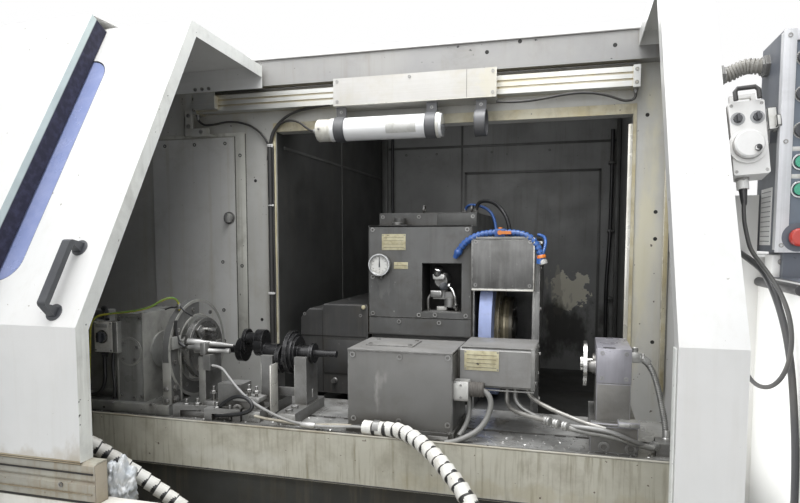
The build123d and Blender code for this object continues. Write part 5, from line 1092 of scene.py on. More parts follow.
FINISHES: dict[str, Finish] = {
    "white_paint": Finish((0.80, 0.80, 0.79), (0.76, 0.765, 0.755), grime_and_shade_colour=(0.50, 0.47, 0.40), grime_share=0.10,
                          streak=0.10, streak_colour=(0.52, 0.49, 0.42), chips=0.1, chip_colour=(0.42, 0.40, 0.36),
                          corner=0.12, rough=(0.30, 0.42), grain=0.05, grain_scale=700, dents=0.04, dents_scale=5.0,
                          coat=0.15, patches=(
                              Patch((-660, -1282, 872), (300, 60, 30), (0.50, 0.45, 0.36), 0.5, 0.5, 18, 0.8, 0.6),
                              Patch((-490, -1282, 890), (40, 80, 70), (0.42, 0.37, 0.28), 0.45, 0.5, 20, 0.8, 0.5))),
    "pan_edge": Finish((0.76, 0.779, 0.76), (0.874, 0.893, 0.855), grime_share=0.25, streak=0.3, chips=0.2,
                       rough=(0.45, 0.6)),
    "shell_paint": Finish((0.70, 0.70, 0.685), (0.66, 0.66, 0.645), patch_scale=1.6, grime_and_shade_colour=(0.42, 0.40, 0.34),
                          grime_share=0.14, grime_scale=3.0, streak=0.10, streak_colour=(0.48, 0.46, 0.40),
                          streak_scale=(22.0, 22.0, 1.0), chips=0.08, chip_colour=(0.30, 0.28, 0.24), corner=0.25,
                          rough=(0.34, 0.5), grain=0.06, grain_scale=600, dents=0.04, dents_scale=4.0),
    # Near-black for the sheets' joint lines, and painted shade behind louvre slats.
    "seam_line": Finish((0.035, 0.035, 0.034), (0.06, 0.06, 0.055), grime_share=0.2, rough=(0.6, 0.75)),
    "shadow_sheet": Finish((0.055, 0.056, 0.055), (0.075, 0.076, 0.073), patch_scale=2.5, grime_and_shade_colour=(0.02, 0.02, 0.018),
                           grime_share=0.5, grime_scale=4.0, streak=0.4, streak_colour=(0.10, 0.095, 0.08),
                           rough=(0.42, 0.6), dents=0.08, dents_scale=5.0),
    "clip_dark": Finish((0.075, 0.078, 0.085), (0.11, 0.112, 0.118), grime_and_shade_colour=(0.2, 0.19, 0.17), grime_share=0.35,
                        edge=0.6, edge_colour=(0.32, 0.32, 0.33), rough=(0.35, 0.5)),
    "pan_inside": Finish((0.17, 0.17, 0.165), (0.21, 0.21, 0.20), grime_share=0.35, chips=0.2, rough=(0.5, 0.7)),
    "warm_grey_paint": Finish((0.864, 0.85, 0.792), (0.778, 0.763, 0.706), grime_and_shade_colour=(0.30, 0.27, 0.21), grime_share=0.25,
                              streak=0.22, streak_colour=(0.40, 0.36, 0.27), chips=0.15,
                              chip_colour=(0.22, 0.20, 0.16), corner=0.4, edge=0.5, edge_colour=(0.36, 0.33, 0.27),
                              rough=(0.38, 0.55)),
    "beam_grey": Finish((0.306, 0.306, 0.306), (0.36, 0.356, 0.347), grime_and_shade_colour=(0.16, 0.15, 0.12), grime_share=0.3,
                        streak=0.28, streak_colour=(0.22, 0.19, 0.12), chips=0.35, corner=0.5, edge=0.4,
                        edge_colour=(0.20, 0.19, 0.17), rough=(0.35, 0.55), dents=0.05),
    # The bed's paint, darkened as painted shade: the bed lies in shadow under the gutter.
    "cast_paint": Finish((0.064, 0.066, 0.064), (0.044, 0.044, 0.042), grime_and_shade_colour=OIL, grime_share=0.5, streak=0.4,
                         chips=0.4, corner=0.6, edge=0.4, edge_colour=(0.26, 0.26, 0.25), rough=(0.4, 0.62),
                         grain=0.35, grain_scale=180, dents=0.2),
    "steel_feet": Finish((0.20, 0.20, 0.20), (0.15, 0.145, 0.14), grime_and_shade_colour=RUST, grime_share=0.4, corner=0.5,
                         edge=0.6, edge_colour=(0.40, 0.40, 0.40), metallic=0.75, rough=(0.45, 0.65), grain=0.25),
    "stained_tray": Finish((0.676, 0.662, 0.577), (0.564, 0.55, 0.466), patch_scale=4.0, grime_and_shade_colour=(0.24, 0.21, 0.15),
                           grime_share=0.45, streak=0.75, streak_colour=(0.26, 0.23, 0.15),
                           streak_scale=(75.0, 75.0, 5.0), chips=0.35, chip_colour=(0.16, 0.13, 0.10), corner=0.5,
                           edge=0.7, edge_colour=(0.17, 0.15, 0.11), edge_radius=0.004, rough=(0.35, 0.55),
                           patches=(Patch((-250, -920, 790), (330, 20, 26), (0.74, 0.74, 0.68), 0.3, 0.6, 14, 0.8,
                                          0.5), Patch((620, -920, 770), (420, 20, 30), (0.48, 0.42, 0.27), 0.3, 0.6,
                                                      20, 0.8, 0.5))),
    "dark_sheet": Finish((0.31, 0.314, 0.31), (0.253, 0.256, 0.253), grime_and_shade_colour=(0.12, 0.115, 0.10), grime_share=0.4,
                         grime_scale=4.0, streak=0.35, streak_colour=(0.14, 0.13, 0.11), chips=0.05,
                         chip_colour=(0.05, 0.05, 0.05), corner=0.5, rough=(0.42, 0.62), dents=0.08, dents_scale=5.0,
                         patches=(Patch((735, 1357, 1142), (106, 30, 112), (0.86, 0.83, 0.70), 1.0, 0.42, 15, 0.05),
                                  Patch((655, 1357, 1120), (60, 30, 130), (0.52, 0.50, 0.43), 0.6, 0.8, 17, 0.2, 0.4),
                                  Patch((690, 1357, 900), (330, 30, 210), (0.03, 0.028, 0.024), 0.85, 0.5, 9, 0.8,
                                        0.5))),
    "bulkhead_paint": Finish((0.61, 0.61, 0.585), (0.53, 0.53, 0.505), patch_scale=2.2, grime_and_shade_colour=(0.33, 0.31, 0.25),
                             grime_share=0.3, grime_scale=5.0, streak=0.35, streak_colour=(0.44, 0.40, 0.28),
                             streak_scale=(30.0, 30.0, 1.3), chips=0.12, chip_colour=(0.14, 0.12, 0.10), corner=0.4,
                             edge=0.35, edge_colour=(0.62, 0.58, 0.44), rough=(0.34, 0.55), dents=0.10,
                             dents_scale=4.0, patches=(Patch((1000, -157, 1500), (60, 40, 620), (0.78, 0.73, 0.52),
                                                             0.6, 0.4, 9, 0.8, 0.3),
                                                       Patch((1030, -157, 1250), (60, 40, 300), (0.70, 0.68, 0.60),
                                                             0.4, 0.5, 9, 0.7, 0.4),
                                                       Patch((-500, -157, 1000), (60, 40, 220), (0.30, 0.28, 0.22),
                                                             0.4, 0.5, 8, 0.8, 0.4))),
    # A lighter copy of the bulkhead paint: painted light that offsets the door's shadow on the hatch.
    "hatch_paint": Finish((0.80, 0.80, 0.78), (0.72, 0.72, 0.70), patch_scale=2.2, grime_and_shade_colour=(0.40, 0.38, 0.31),
                          grime_share=0.3, grime_scale=5.0, streak=0.35, streak_colour=(0.52, 0.48, 0.36),
                          streak_scale=(30.0, 30.0, 1.3), chips=0.1, chip_colour=(0.14, 0.12, 0.10), corner=0.4,
                          edge=0.35, edge_colour=(0.70, 0.66, 0.52), rough=(0.34, 0.55), dents=0.10, dents_scale=4.0),
    "seal_trim": Finish((0.667, 0.632, 0.494), (0.552, 0.483, 0.299), patch_scale=9.0, grime_and_shade_colour=(0.20, 0.16, 0.09),
                        grime_share=0.6, streak=0.5, chips=0.3, corner=0.4, rough=(0.45, 0.65)),
    "rail_stained": Finish((0.46, 0.45, 0.38), (0.36, 0.35, 0.31), patch_scale=5.0, grime_and_shade_colour=(0.20, 0.15, 0.09),
                           grime_share=0.6, streak=0.6, streak_colour=(0.26, 0.18, 0.09), chips=0.5,
                           chip_colour=(0.16, 0.09, 0.05), corner=0.5, edge=0.5, edge_colour=(0.20, 0.15, 0.10),
                           rough=(0.4, 0.6), patches=(
                               Patch((-445, -1262, 800), (50, 80, 90), (0.34, 0.27, 0.19), 0.5, 0.5, 22, 0.8, 0.6),)),
    "extruded_aluminium": Finish((0.68, 0.69, 0.68), (0.62, 0.62, 0.59), grime_and_shade_colour=YELLOW_STAIN, grime_share=0.18,
                                 grime_scale=6.0, corner=0.6, edge=0.3, edge_colour=(0.75, 0.75, 0.72), metallic=0.55,
                                 rough=(0.28, 0.46), brush=(2.0, 260.0, 260.0), brush_depth=0.25,
                                 patches=(Patch((620, -220, 2040), (190, 30, 40), (0.60, 0.54, 0.34), 0.35, 0.6, 18,
                                                0.8, 0.7),)),
    "stainless_sheet": Finish((0.56, 0.552, 0.536), (0.496, 0.488, 0.464), grime_and_shade_colour=(0.42, 0.38, 0.26), grime_share=0.35,
                              streak=0.25, streak_colour=(0.40, 0.36, 0.24), metallic=0.35, rough=(0.30, 0.48),
                              brush=(4.0, 220.0, 220.0), brush_depth=0.12, dents=0.10, dents_scale=6.0,
                              patches=(Patch((455, -277, 2020), (60, 20, 70), (0.56, 0.52, 0.38), 0.35, 0.6, 20, 0.8,
                                             0.6),)),
    "lamp_glass": Finish((0.9, 0.9, 0.9), (0.86, 0.87, 0.88), grime_share=0.08, rough=(0.12, 0.25), metallic=0.0,
                         grain=0.03, coat=0.4, dents=0.04),
    "lamp_cap": Finish((0.78, 0.78, 0.75), (0.70, 0.69, 0.64), grime_and_shade_colour=(0.40, 0.36, 0.26), grime_share=0.35,
                       corner=0.4, rough=(0.35, 0.5)),
    "bright_lens": Finish((0.86, 0.88, 0.90), (0.74, 0.76, 0.80), grime_share=0.1, metallic=0.7, rough=(0.06, 0.16),
                          grain=0.02),
    "black_rubber": Finish((0.032, 0.032, 0.034), (0.045, 0.044, 0.043), grime_and_shade_colour=(0.13, 0.12, 0.10), grime_share=0.35,
                           rough=(0.42, 0.62), grain=0.15, grain_scale=500),
    "panel_dark": Finish((0.12, 0.135, 0.165), (0.15, 0.165, 0.195), grime_and_shade_colour=(0.08, 0.08, 0.08), grime_share=0.2,
                         chips=0.2, corner=0.25, edge=0.35, edge_colour=(0.30, 0.31, 0.33), rough=(0.34, 0.5),
                         grain=0.12),
    "panel_face": Finish((0.137, 0.169, 0.215), (0.169, 0.202, 0.247), grime_share=0.15, rough=(0.3, 0.45),
                         grain=0.08),
    "panel_frame": Finish((0.78, 0.79, 0.81), (0.70, 0.71, 0.74), grime_share=0.15, metallic=0.1, rough=(0.3, 0.45),
                          brush=(260.0, 260.0, 3.0)),
    "grey_conduit": Finish((0.391, 0.383, 0.357), (0.323, 0.315, 0.289), grime_and_shade_colour=(0.18, 0.16, 0.13), grime_share=0.4,
                           corner=0.6, rough=(0.4, 0.6)),
    "white_plastic": Finish((0.88, 0.88, 0.87), (0.84, 0.84, 0.83), grime_and_shade_colour=(0.40, 0.37, 0.32), grime_share=0.18,
                            corner=0.25, rough=(0.32, 0.46), grain=0.06, coat=0.1),
    "black_plastic": Finish((0.040, 0.043, 0.050), (0.060, 0.064, 0.072), grime_and_shade_colour=(0.12, 0.12, 0.12), grime_share=0.25,
                            edge=0.3, edge_colour=(0.15, 0.155, 0.165), rough=(0.3, 0.48), grain=0.12,
                            grain_scale=900, coat=0.1),
    "machine_paint": Finish((0.145, 0.147, 0.145), (0.105, 0.106, 0.104), patch_scale=5.0, grime_and_shade_colour=OIL, grime_share=0.4,
                            grime_scale=9.0, streak=0.3, streak_colour=(0.06, 0.055, 0.045), chips=0.35,
                            chip_colour=(0.28, 0.28, 0.27), corner=0.65, edge=0.65, edge_colour=(0.40, 0.40, 0.385),
                            edge_radius=0.004, rough=(0.30, 0.55), grain=0.22, grain_scale=240, dents=0.10,
                            patches=(Patch((212, -861, 1010), (24, 14, 60), (0.28, 0.28, 0.27), 0.4, 0.6, 40, 0.7,
                                           0.4), Patch((-5, -101, 1260), (40, 14, 46), (0.21, 0.21, 0.205), 0.4, 0.8,
                                                       40, 0.7, 0.4), Patch((290, -861, 930), (150, 14, 40),
                                                                            (0.21, 0.21, 0.20), 0.3, 0.8, 20, 0.7,
                                                                            0.4), Patch((-140, -101, 1090),
                                                                                        (90, 14, 60), (0.15, 0.145,
                                                                                                       0.13), 0.35,
                                                                                        0.8, 20, 0.7, 0.4))),
    "belt_paint": Finish((0.070, 0.070, 0.070), (0.050, 0.050, 0.050), patch_scale=5.0, grime_and_shade_colour=OIL, grime_share=0.4,
                         streak=0.3, streak_colour=(0.12, 0.115, 0.10), chips=0.25, chip_colour=(0.2, 0.2, 0.19),
                         corner=0.6, edge=0.55, edge_colour=(0.24, 0.24, 0.235), edge_radius=0.005,
                         rough=(0.32, 0.55), grain=0.2, grain_scale=240, dents=0.1),
    "worn_sheet": Finish((0.221, 0.221, 0.217), (0.162, 0.162, 0.159), patch_scale=7.0, grime_and_shade_colour=(0.07, 0.068, 0.06),
                         grime_share=0.5, streak=0.55, streak_colour=(0.34, 0.34, 0.33), chips=0.3,
                         chip_colour=(0.40, 0.40, 0.39), edge=0.9, edge_colour=(0.62, 0.62, 0.60), edge_radius=0.005,
                         metallic=0.5, rough=(0.36, 0.58), brush=(120.0, 120.0, 14.0), brush_depth=0.3, dents=0.15),
    "bare_plate": Finish((0.62, 0.58, 0.40), (0.54, 0.49, 0.31), patch_scale=30.0, grime_and_shade_colour=(0.25, 0.20, 0.12),
                         grime_share=0.45, grime_scale=60.0, chips=0.3, rough=(0.4, 0.6)),
    "silver_plate": Finish((0.62, 0.62, 0.60), (0.52, 0.52, 0.50), patch_scale=20.0, grime_and_shade_colour=(0.25, 0.23, 0.18),
                           grime_share=0.35, grime_scale=50.0, metallic=0.3, rough=(0.35, 0.5)),
    "dark_casting": Finish((0.075, 0.076, 0.076), (0.055, 0.055, 0.055), grime_and_shade_colour=OIL, grime_share=0.5, streak=0.3,
                           corner=0.6, edge=0.5, edge_colour=(0.22, 0.22, 0.215), rough=(0.35, 0.6), grain=0.3,
                           grain_scale=200, dents=0.15),
    "chrome_case": Finish((0.60, 0.61, 0.62), (0.48, 0.49, 0.50), grime_and_shade_colour=OIL, grime_share=0.35, corner=0.5,
                          metallic=0.85, rough=(0.16, 0.34), grain=0.05),
    "dial_white": Finish((0.76, 0.76, 0.74), (0.70, 0.70, 0.66), grime_and_shade_colour=(0.42, 0.38, 0.28), grime_share=0.3,
                         rough=(0.3, 0.45), coat=0.5),
    "dull_metal": Finish((0.33, 0.33, 0.325), (0.25, 0.25, 0.245), patch_scale=8.0, grime_and_shade_colour=OIL, grime_share=0.45,
                         chips=0.2, corner=0.6, edge=0.7, edge_colour=(0.62, 0.62, 0.60), metallic=0.65,
                         rough=(0.34, 0.56), grain=0.15, brush=(90.0, 90.0, 90.0), brush_depth=0.15),
    "blue_hose": Finish((0.045, 0.13, 0.42), (0.06, 0.17, 0.50), grime_and_shade_colour=(0.03, 0.035, 0.05), grime_share=0.45,
                        corner=0.5, edge=0.3, edge_colour=(0.16, 0.30, 0.62), rough=(0.28, 0.45), grain=0.06,
                        coat=0.2),
    "orange_plastic": Finish((0.80, 0.24, 0.035), (0.70, 0.20, 0.03), grime_and_shade_colour=(0.20, 0.08, 0.03), grime_share=0.35,
                             corner=0.4, rough=(0.3, 0.45), coat=0.2),
    "abrasive": Finish((0.40, 0.47, 0.74), (0.35, 0.42, 0.68), patch_scale=12.0, grime_and_shade_colour=(0.20, 0.22, 0.32),
                       grime_share=0.35, grime_scale=30.0, chips=0.2, chip_colour=(0.62, 0.66, 0.82),
                       rough=(0.7, 0.85), grain=0.5, grain_scale=900),
    "hub_paint": Finish((0.336, 0.296, 0.2), (0.24, 0.208, 0.144), patch_scale=10.0, grime_and_shade_colour=OIL, grime_share=0.5,
                        corner=0.5, edge=0.6, edge_colour=(0.62, 0.58, 0.46), metallic=0.35, rough=(0.34, 0.52),
                        brush=(220.0, 12.0, 12.0), brush_depth=0.3),
    "table_iron": Finish((0.472, 0.472, 0.46), (0.331, 0.331, 0.324), patch_scale=7.0, grime_and_shade_colour=OIL, grime_share=0.6,
                         grime_scale=11.0, chips=0.3, chip_colour=(0.42, 0.42, 0.41), corner=0.6, edge=0.6,
                         edge_colour=(0.48, 0.48, 0.47), metallic=0.4, rough=(0.22, 0.5), grain=0.15,
                         brush=(6.0, 90.0, 90.0), brush_depth=0.3, dents=0.08),
    "bright_steel": Finish((0.66, 0.66, 0.65), (0.56, 0.56, 0.55), grime_and_shade_colour=OIL, grime_share=0.35, corner=0.5,
                           edge=0.4, edge_colour=(0.85, 0.85, 0.84), metallic=0.95, rough=(0.16, 0.34),
                           brush=(240.0, 14.0, 14.0), brush_depth=0.2),
    "forged_black": Finish((0.0165, 0.0165, 0.018), (0.0263, 0.0263, 0.0277), patch_scale=12.0,
                           grime_and_shade_colour=(0.01, 0.01, 0.01), grime_share=0.4, edge=0.8, edge_colour=(0.30, 0.30, 0.31),
                           edge_radius=0.003, metallic=0.6, rough=(0.2, 0.42), grain=0.3, grain_scale=260, coat=0.3),
    "pale_wrap": Finish((0.851, 0.851, 0.816), (0.759, 0.747, 0.701), patch_scale=14.0, grime_and_shade_colour=(0.28, 0.24, 0.18),
                        grime_share=0.35, grime_scale=28.0, chips=0.35, chip_colour=(0.30, 0.18, 0.12), corner=0.5,
                        rough=(0.38, 0.55), grain=0.08),
    "grey_rubber": Finish((0.30, 0.30, 0.30), (0.36, 0.36, 0.35), grime_and_shade_colour=OIL, grime_share=0.35, rough=(0.45, 0.62)),
    "braided_hose": Finish((0.36, 0.36, 0.345), (0.28, 0.28, 0.27), patch_scale=20.0, grime_and_shade_colour=OIL, grime_share=0.45,
                           grime_scale=30.0, corner=0.5, metallic=0.3, rough=(0.34, 0.55), grain=0.5,
                           grain_scale=700),
    "earth_wire": Finish((0.62, 0.50, 0.06), (0.36, 0.42, 0.06), patch_scale=60.0, grime_and_shade_colour=OIL, grime_share=0.35,
                         rough=(0.4, 0.55)),
    "green_button": Finish((0.03, 0.34, 0.20), (0.04, 0.40, 0.25), grime_share=0.2, rough=(0.22, 0.36), grain=0.03,
                           coat=0.4),
    "yellow_plastic": Finish((0.72, 0.66, 0.08), (0.66, 0.60, 0.07), grime_share=0.2, rough=(0.3, 0.45)),
    "red_button": Finish((0.55, 0.045, 0.03), (0.48, 0.04, 0.03), grime_share=0.2, rough=(0.22, 0.36), coat=0.4),
    "clear_film": Finish((0.60, 0.64, 0.68), (0.72, 0.74, 0.75), patch_scale=40.0, grime_and_shade_colour=(0.34, 0.33, 0.30),
                         grime_share=0.4, grime_scale=40.0, rough=(0.18, 0.36), grain=0.5, grain_scale=120, coat=0.5),
    # Near-black for dark joints and gaps, and painted shade in holes and recesses: tapped holes, slots and the window
    # bay's lining.
    "dark_hole": Finish((0.012, 0.012, 0.012), (0.018, 0.017, 0.016), grime_share=0.3, rough=(0.6, 0.8)),
    "hatch_strip": Finish((0.775, 0.775, 0.714), (0.612, 0.612, 0.562), patch_scale=3.0, grime_and_shade_colour=(0.14, 0.125, 0.09),
                          grime_share=0.4, streak=0.55, streak_colour=(0.22, 0.19, 0.12),
                          streak_scale=(60.0, 60.0, 1.2), chips=0.4, chip_colour=(0.07, 0.06, 0.05), edge=0.4,
                          edge_colour=(0.5, 0.48, 0.4), rough=(0.34, 0.55)),
    "bright_edge": Finish((0.82, 0.81, 0.76), (0.66, 0.64, 0.56), grime_and_shade_colour=(0.40, 0.36, 0.24), grime_share=0.3,
                          metallic=0.3, rough=(0.2, 0.4)),
    "pale_stain": Finish((0.62, 0.58, 0.42), (0.52, 0.46, 0.28), patch_scale=6.0, grime_and_shade_colour=(0.24, 0.19, 0.10),
                         grime_share=0.35, streak=0.4, rough=(0.4, 0.6)),
    "gutter_edge": Finish((0.30, 0.27, 0.20), (0.44, 0.43, 0.38), patch_scale=5.0, grime_and_shade_colour=(0.12, 0.09, 0.05),
                          grime_share=0.5, edge=0.4, edge_colour=(0.6, 0.59, 0.55), rough=(0.3, 0.5)),
    "stain_edge": Finish((0.42, 0.37, 0.27), (0.34, 0.28, 0.18), patch_scale=7.0, grime_and_shade_colour=(0.18, 0.12, 0.06),
                         grime_share=0.5, rough=(0.4, 0.6)),
    "rust_end": Finish((0.46, 0.41, 0.33), (0.38, 0.33, 0.25), patch_scale=14.0, grime_and_shade_colour=(0.22, 0.15, 0.09),
                       grime_share=0.4, rough=(0.5, 0.7)),
    "dark_post": Finish((0.12, 0.122, 0.118), (0.09, 0.091, 0.088), grime_and_shade_colour=(0.035, 0.032, 0.026), grime_share=0.5,
                        streak=0.4, streak_colour=(0.05, 0.046, 0.036), edge=0.6, edge_colour=(0.24, 0.24, 0.23),
                        rough=(0.36, 0.55)),
    "plate_line": Finish((0.05, 0.05, 0.05), (0.08, 0.075, 0.06), rough=(0.4, 0.6)),
    "worn_edge": Finish((0.34, 0.34, 0.33), (0.24, 0.24, 0.235), patch_scale=9.0, grime_and_shade_colour=OIL, grime_share=0.4,
                        metallic=0.5, rough=(0.3, 0.5)),
    "hub_band": Finish((0.58, 0.52, 0.38), (0.44, 0.39, 0.27), patch_scale=10.0, grime_and_shade_colour=OIL, grime_share=0.35,
                       metallic=0.4, rough=(0.26, 0.44), brush=(220.0, 12.0, 12.0), brush_depth=0.2),
    "hub_dark": Finish((0.11, 0.10, 0.085), (0.16, 0.15, 0.12), patch_scale=10.0, grime_and_shade_colour=OIL, grime_share=0.4,
                       edge=0.4, edge_colour=(0.4, 0.38, 0.3), metallic=0.4, rough=(0.3, 0.5)),
    "paper_disc": Finish((0.40, 0.36, 0.26), (0.30, 0.27, 0.20), grime_and_shade_colour=OIL, grime_share=0.4, rough=(0.6, 0.8)),
    "headstock_edge": Finish((0.42, 0.42, 0.392), (0.28, 0.28, 0.266), patch_scale=9.0, grime_and_shade_colour=OIL, grime_share=0.4,
                             chips=0.3, chip_colour=(0.06, 0.05, 0.04), metallic=0.2, rough=(0.3, 0.5)),
    "headstock_paint": Finish((0.295, 0.299, 0.287), (0.209, 0.212, 0.202), patch_scale=6.0, grime_and_shade_colour=OIL,
                              grime_share=0.5, streak=0.35, streak_colour=(0.07, 0.06, 0.045), edge=0.6,
                              edge_colour=(0.42, 0.42, 0.39), rough=(0.25, 0.5), dents=0.1),
    "switch_plate": Finish((0.9, 0.9, 0.865), (0.765, 0.744, 0.684), patch_scale=12.0, grime_and_shade_colour=(0.12, 0.11, 0.08),
                           grime_share=0.45, grime_scale=22.0, streak=0.3, rough=(0.35, 0.5)),
    "green_stripe": Finish((0.10, 0.30, 0.06), (0.08, 0.24, 0.05), rough=(0.4, 0.55)),
    "pale_steel": Finish((0.56, 0.56, 0.545), (0.42, 0.42, 0.41), patch_scale=14.0, grime_and_shade_colour=OIL, grime_share=0.4,
                         edge=0.5, edge_colour=(0.8, 0.8, 0.78), metallic=0.6, rough=(0.26, 0.46)),
    "pale_lead": Finish((0.50, 0.47, 0.39), (0.42, 0.38, 0.30), patch_scale=20.0, grime_and_shade_colour=OIL, grime_share=0.3,
                        rough=(0.4, 0.6)),
    "grey_lead": Finish((0.26, 0.26, 0.25), (0.20, 0.20, 0.19), grime_and_shade_colour=OIL, grime_share=0.3, rough=(0.35, 0.5)),
    "tail_paint": Finish((0.189, 0.188, 0.182), (0.154, 0.153, 0.147), patch_scale=4.0, grime_and_shade_colour=(0.11, 0.10, 0.085),
                         grime_share=0.4, streak=0.35, streak_colour=(0.13, 0.12, 0.10), corner=0.5, edge=0.7,
                         edge_colour=(0.50, 0.50, 0.48), edge_radius=0.004, rough=(0.3, 0.5), grain=0.2, dents=0.08,
                         patches=(Patch((206, -862, 1010), (11, 20, 60), (0.38, 0.375, 0.36), 0.6, 0.4, 60, 0.8, 0.3),
                                  Patch((222, -862, 1040), (24, 20, 30), (0.33, 0.325, 0.31), 0.45, 0.5, 50, 0.8,
                                        0.4))),
    "cylinder_paint": Finish((0.29, 0.288, 0.282), (0.24, 0.238, 0.232), patch_scale=5.0, grime_and_shade_colour=(0.11, 0.10, 0.085),
                             grime_share=0.4, streak=0.4, streak_colour=(0.14, 0.13, 0.10), edge=0.6,
                             edge_colour=(0.46, 0.46, 0.44), edge_radius=0.004, rough=(0.3, 0.5), grain=0.2),
    "tail_top": Finish((0.253, 0.25, 0.245), (0.198, 0.195, 0.19), patch_scale=6.0, grime_and_shade_colour=(0.14, 0.13, 0.11),
                       grime_share=0.45, chips=0.3, edge=0.4, edge_colour=(0.62, 0.62, 0.6), rough=(0.3, 0.5)),
    "dark_plug": Finish((0.09, 0.085, 0.08), (0.13, 0.12, 0.11), grime_and_shade_colour=OIL, grime_share=0.35, edge=0.5,
                        edge_colour=(0.3, 0.29, 0.27), rough=(0.35, 0.5)),
    "pipe_steel": Finish((0.384, 0.376, 0.352), (0.288, 0.28, 0.264), patch_scale=16.0, grime_and_shade_colour=OIL, grime_share=0.35,
                         metallic=0.4, rough=(0.28, 0.5)),
    "dresser_upper": Finish((0.40, 0.395, 0.44), (0.34, 0.335, 0.37), patch_scale=8.0, grime_and_shade_colour=(0.18, 0.17, 0.16),
                            grime_share=0.3, edge=0.6, edge_colour=(0.62, 0.62, 0.64), rough=(0.26, 0.42),
                            metallic=0.3, brush=(90.0, 90.0, 8.0)),
    "dresser_lower": Finish((0.23, 0.225, 0.212), (0.178, 0.174, 0.166), patch_scale=8.0, grime_and_shade_colour=OIL, grime_share=0.35,
                            streak=0.3, edge=0.5, edge_colour=(0.45, 0.45, 0.43), rough=(0.34, 0.52)),
    "plate_grey": Finish((0.22, 0.22, 0.225), (0.28, 0.28, 0.285), rough=(0.4, 0.55)),
    "scale_grey": Finish((0.42, 0.43, 0.44), (0.36, 0.37, 0.38), grime_share=0.15, rough=(0.3, 0.45)),
    "coil_black": Finish((0.020, 0.021, 0.023), (0.03, 0.03, 0.032), grime_and_shade_colour=(0.10, 0.09, 0.07), grime_share=0.3,
                         rough=(0.3, 0.5)),
}

NODE_FINISH: dict[str, str] = {
    "machine_bed": "cast_paint", "levelling_feet": "steel_feet", "front_sill": "warm_grey_paint",
    "coolant_trays": "stained_tray", "left_front_panel": "white_paint", "enclosure_sheets": "dark_sheet",
    "end_housing": "shell_paint", "door_pillar": "white_paint", "header_beam": "beam_grey",
    "bulkhead": "bulkhead_paint", "hatch_panel": "hatch_paint", "hatch_knob": "pale_steel",
    "control_cabinet": "white_paint", "lower_rail": "rail_stained", "rodless_cylinder": "extruded_aluminium",
    "cylinder_cover": "stainless_sheet", "lamp_tube": "lamp_glass", "post_cables": "black_rubber",
    "panel_housing": "panel_dark", "panel_conduit": "grey_conduit", "handwheel_box": "white_plastic",
    "sliding_door": "white_paint", "door_window": "window_pane", "door_handle": "black_plastic",
    "door_carriage": "extruded_aluminium", "wheelhead_housing": "machine_paint", "wheelhead_slide": "dark_casting",
    "belt_cover": "belt_paint", "wheel_guard": "worn_sheet", "gauge_body": "chrome_case",
    "gauge_needle": "black_plastic", "regulator_valve": "dull_metal", "coolant_nozzle": "blue_hose",
    "coolant_tap": "orange_plastic", "grinding_wheel": "abrasive", "wheel_hub": "hub_paint", "table": "table_iron",
    "headstock_housing": "headstock_paint", "headstock_guard": "machine_paint", "mode_knob": "black_plastic",
    "face_driver": "bright_steel", "crankshaft": "forged_black", "v_rests": "dull_metal",
    "tailstock_housing": "machine_paint", "tailstock_quill": "bright_steel", "table_fittings": "dull_metal",
    "dresser_head": "dull_metal", "dresser_disc": "bright_steel", "handwheel": "white_plastic",
    "axis_knob": "black_plastic", "step_knob": "black_plastic", "stop_button": "red_button",
    "speed_knob": "black_plastic", "feed_knob": "black_plastic", "override_knob": "black_plastic",
    "start_button": "green_button", "cycle_button": "green_button",
}


@dataclass(frozen=True)
class Zone:
    """Part of a CAD node that has a finish of its own: a box, in millimetres, round the faces' centres."""

    node: str
    low: Point
    high: Point
    finish: str
    facing: Point | None = None

    def holds(self, face: bpy.types.MeshPolygon) -> bool:
        """Whether a face of the node lies in the zone and faces its way."""
        inside = all(low <= c <= high for low, c, high in zip(self.low, face.center / MM, self.high))
        return inside and (self.facing is None or face.normal.dot(Vector(self.facing)) > FACING_SHARE)


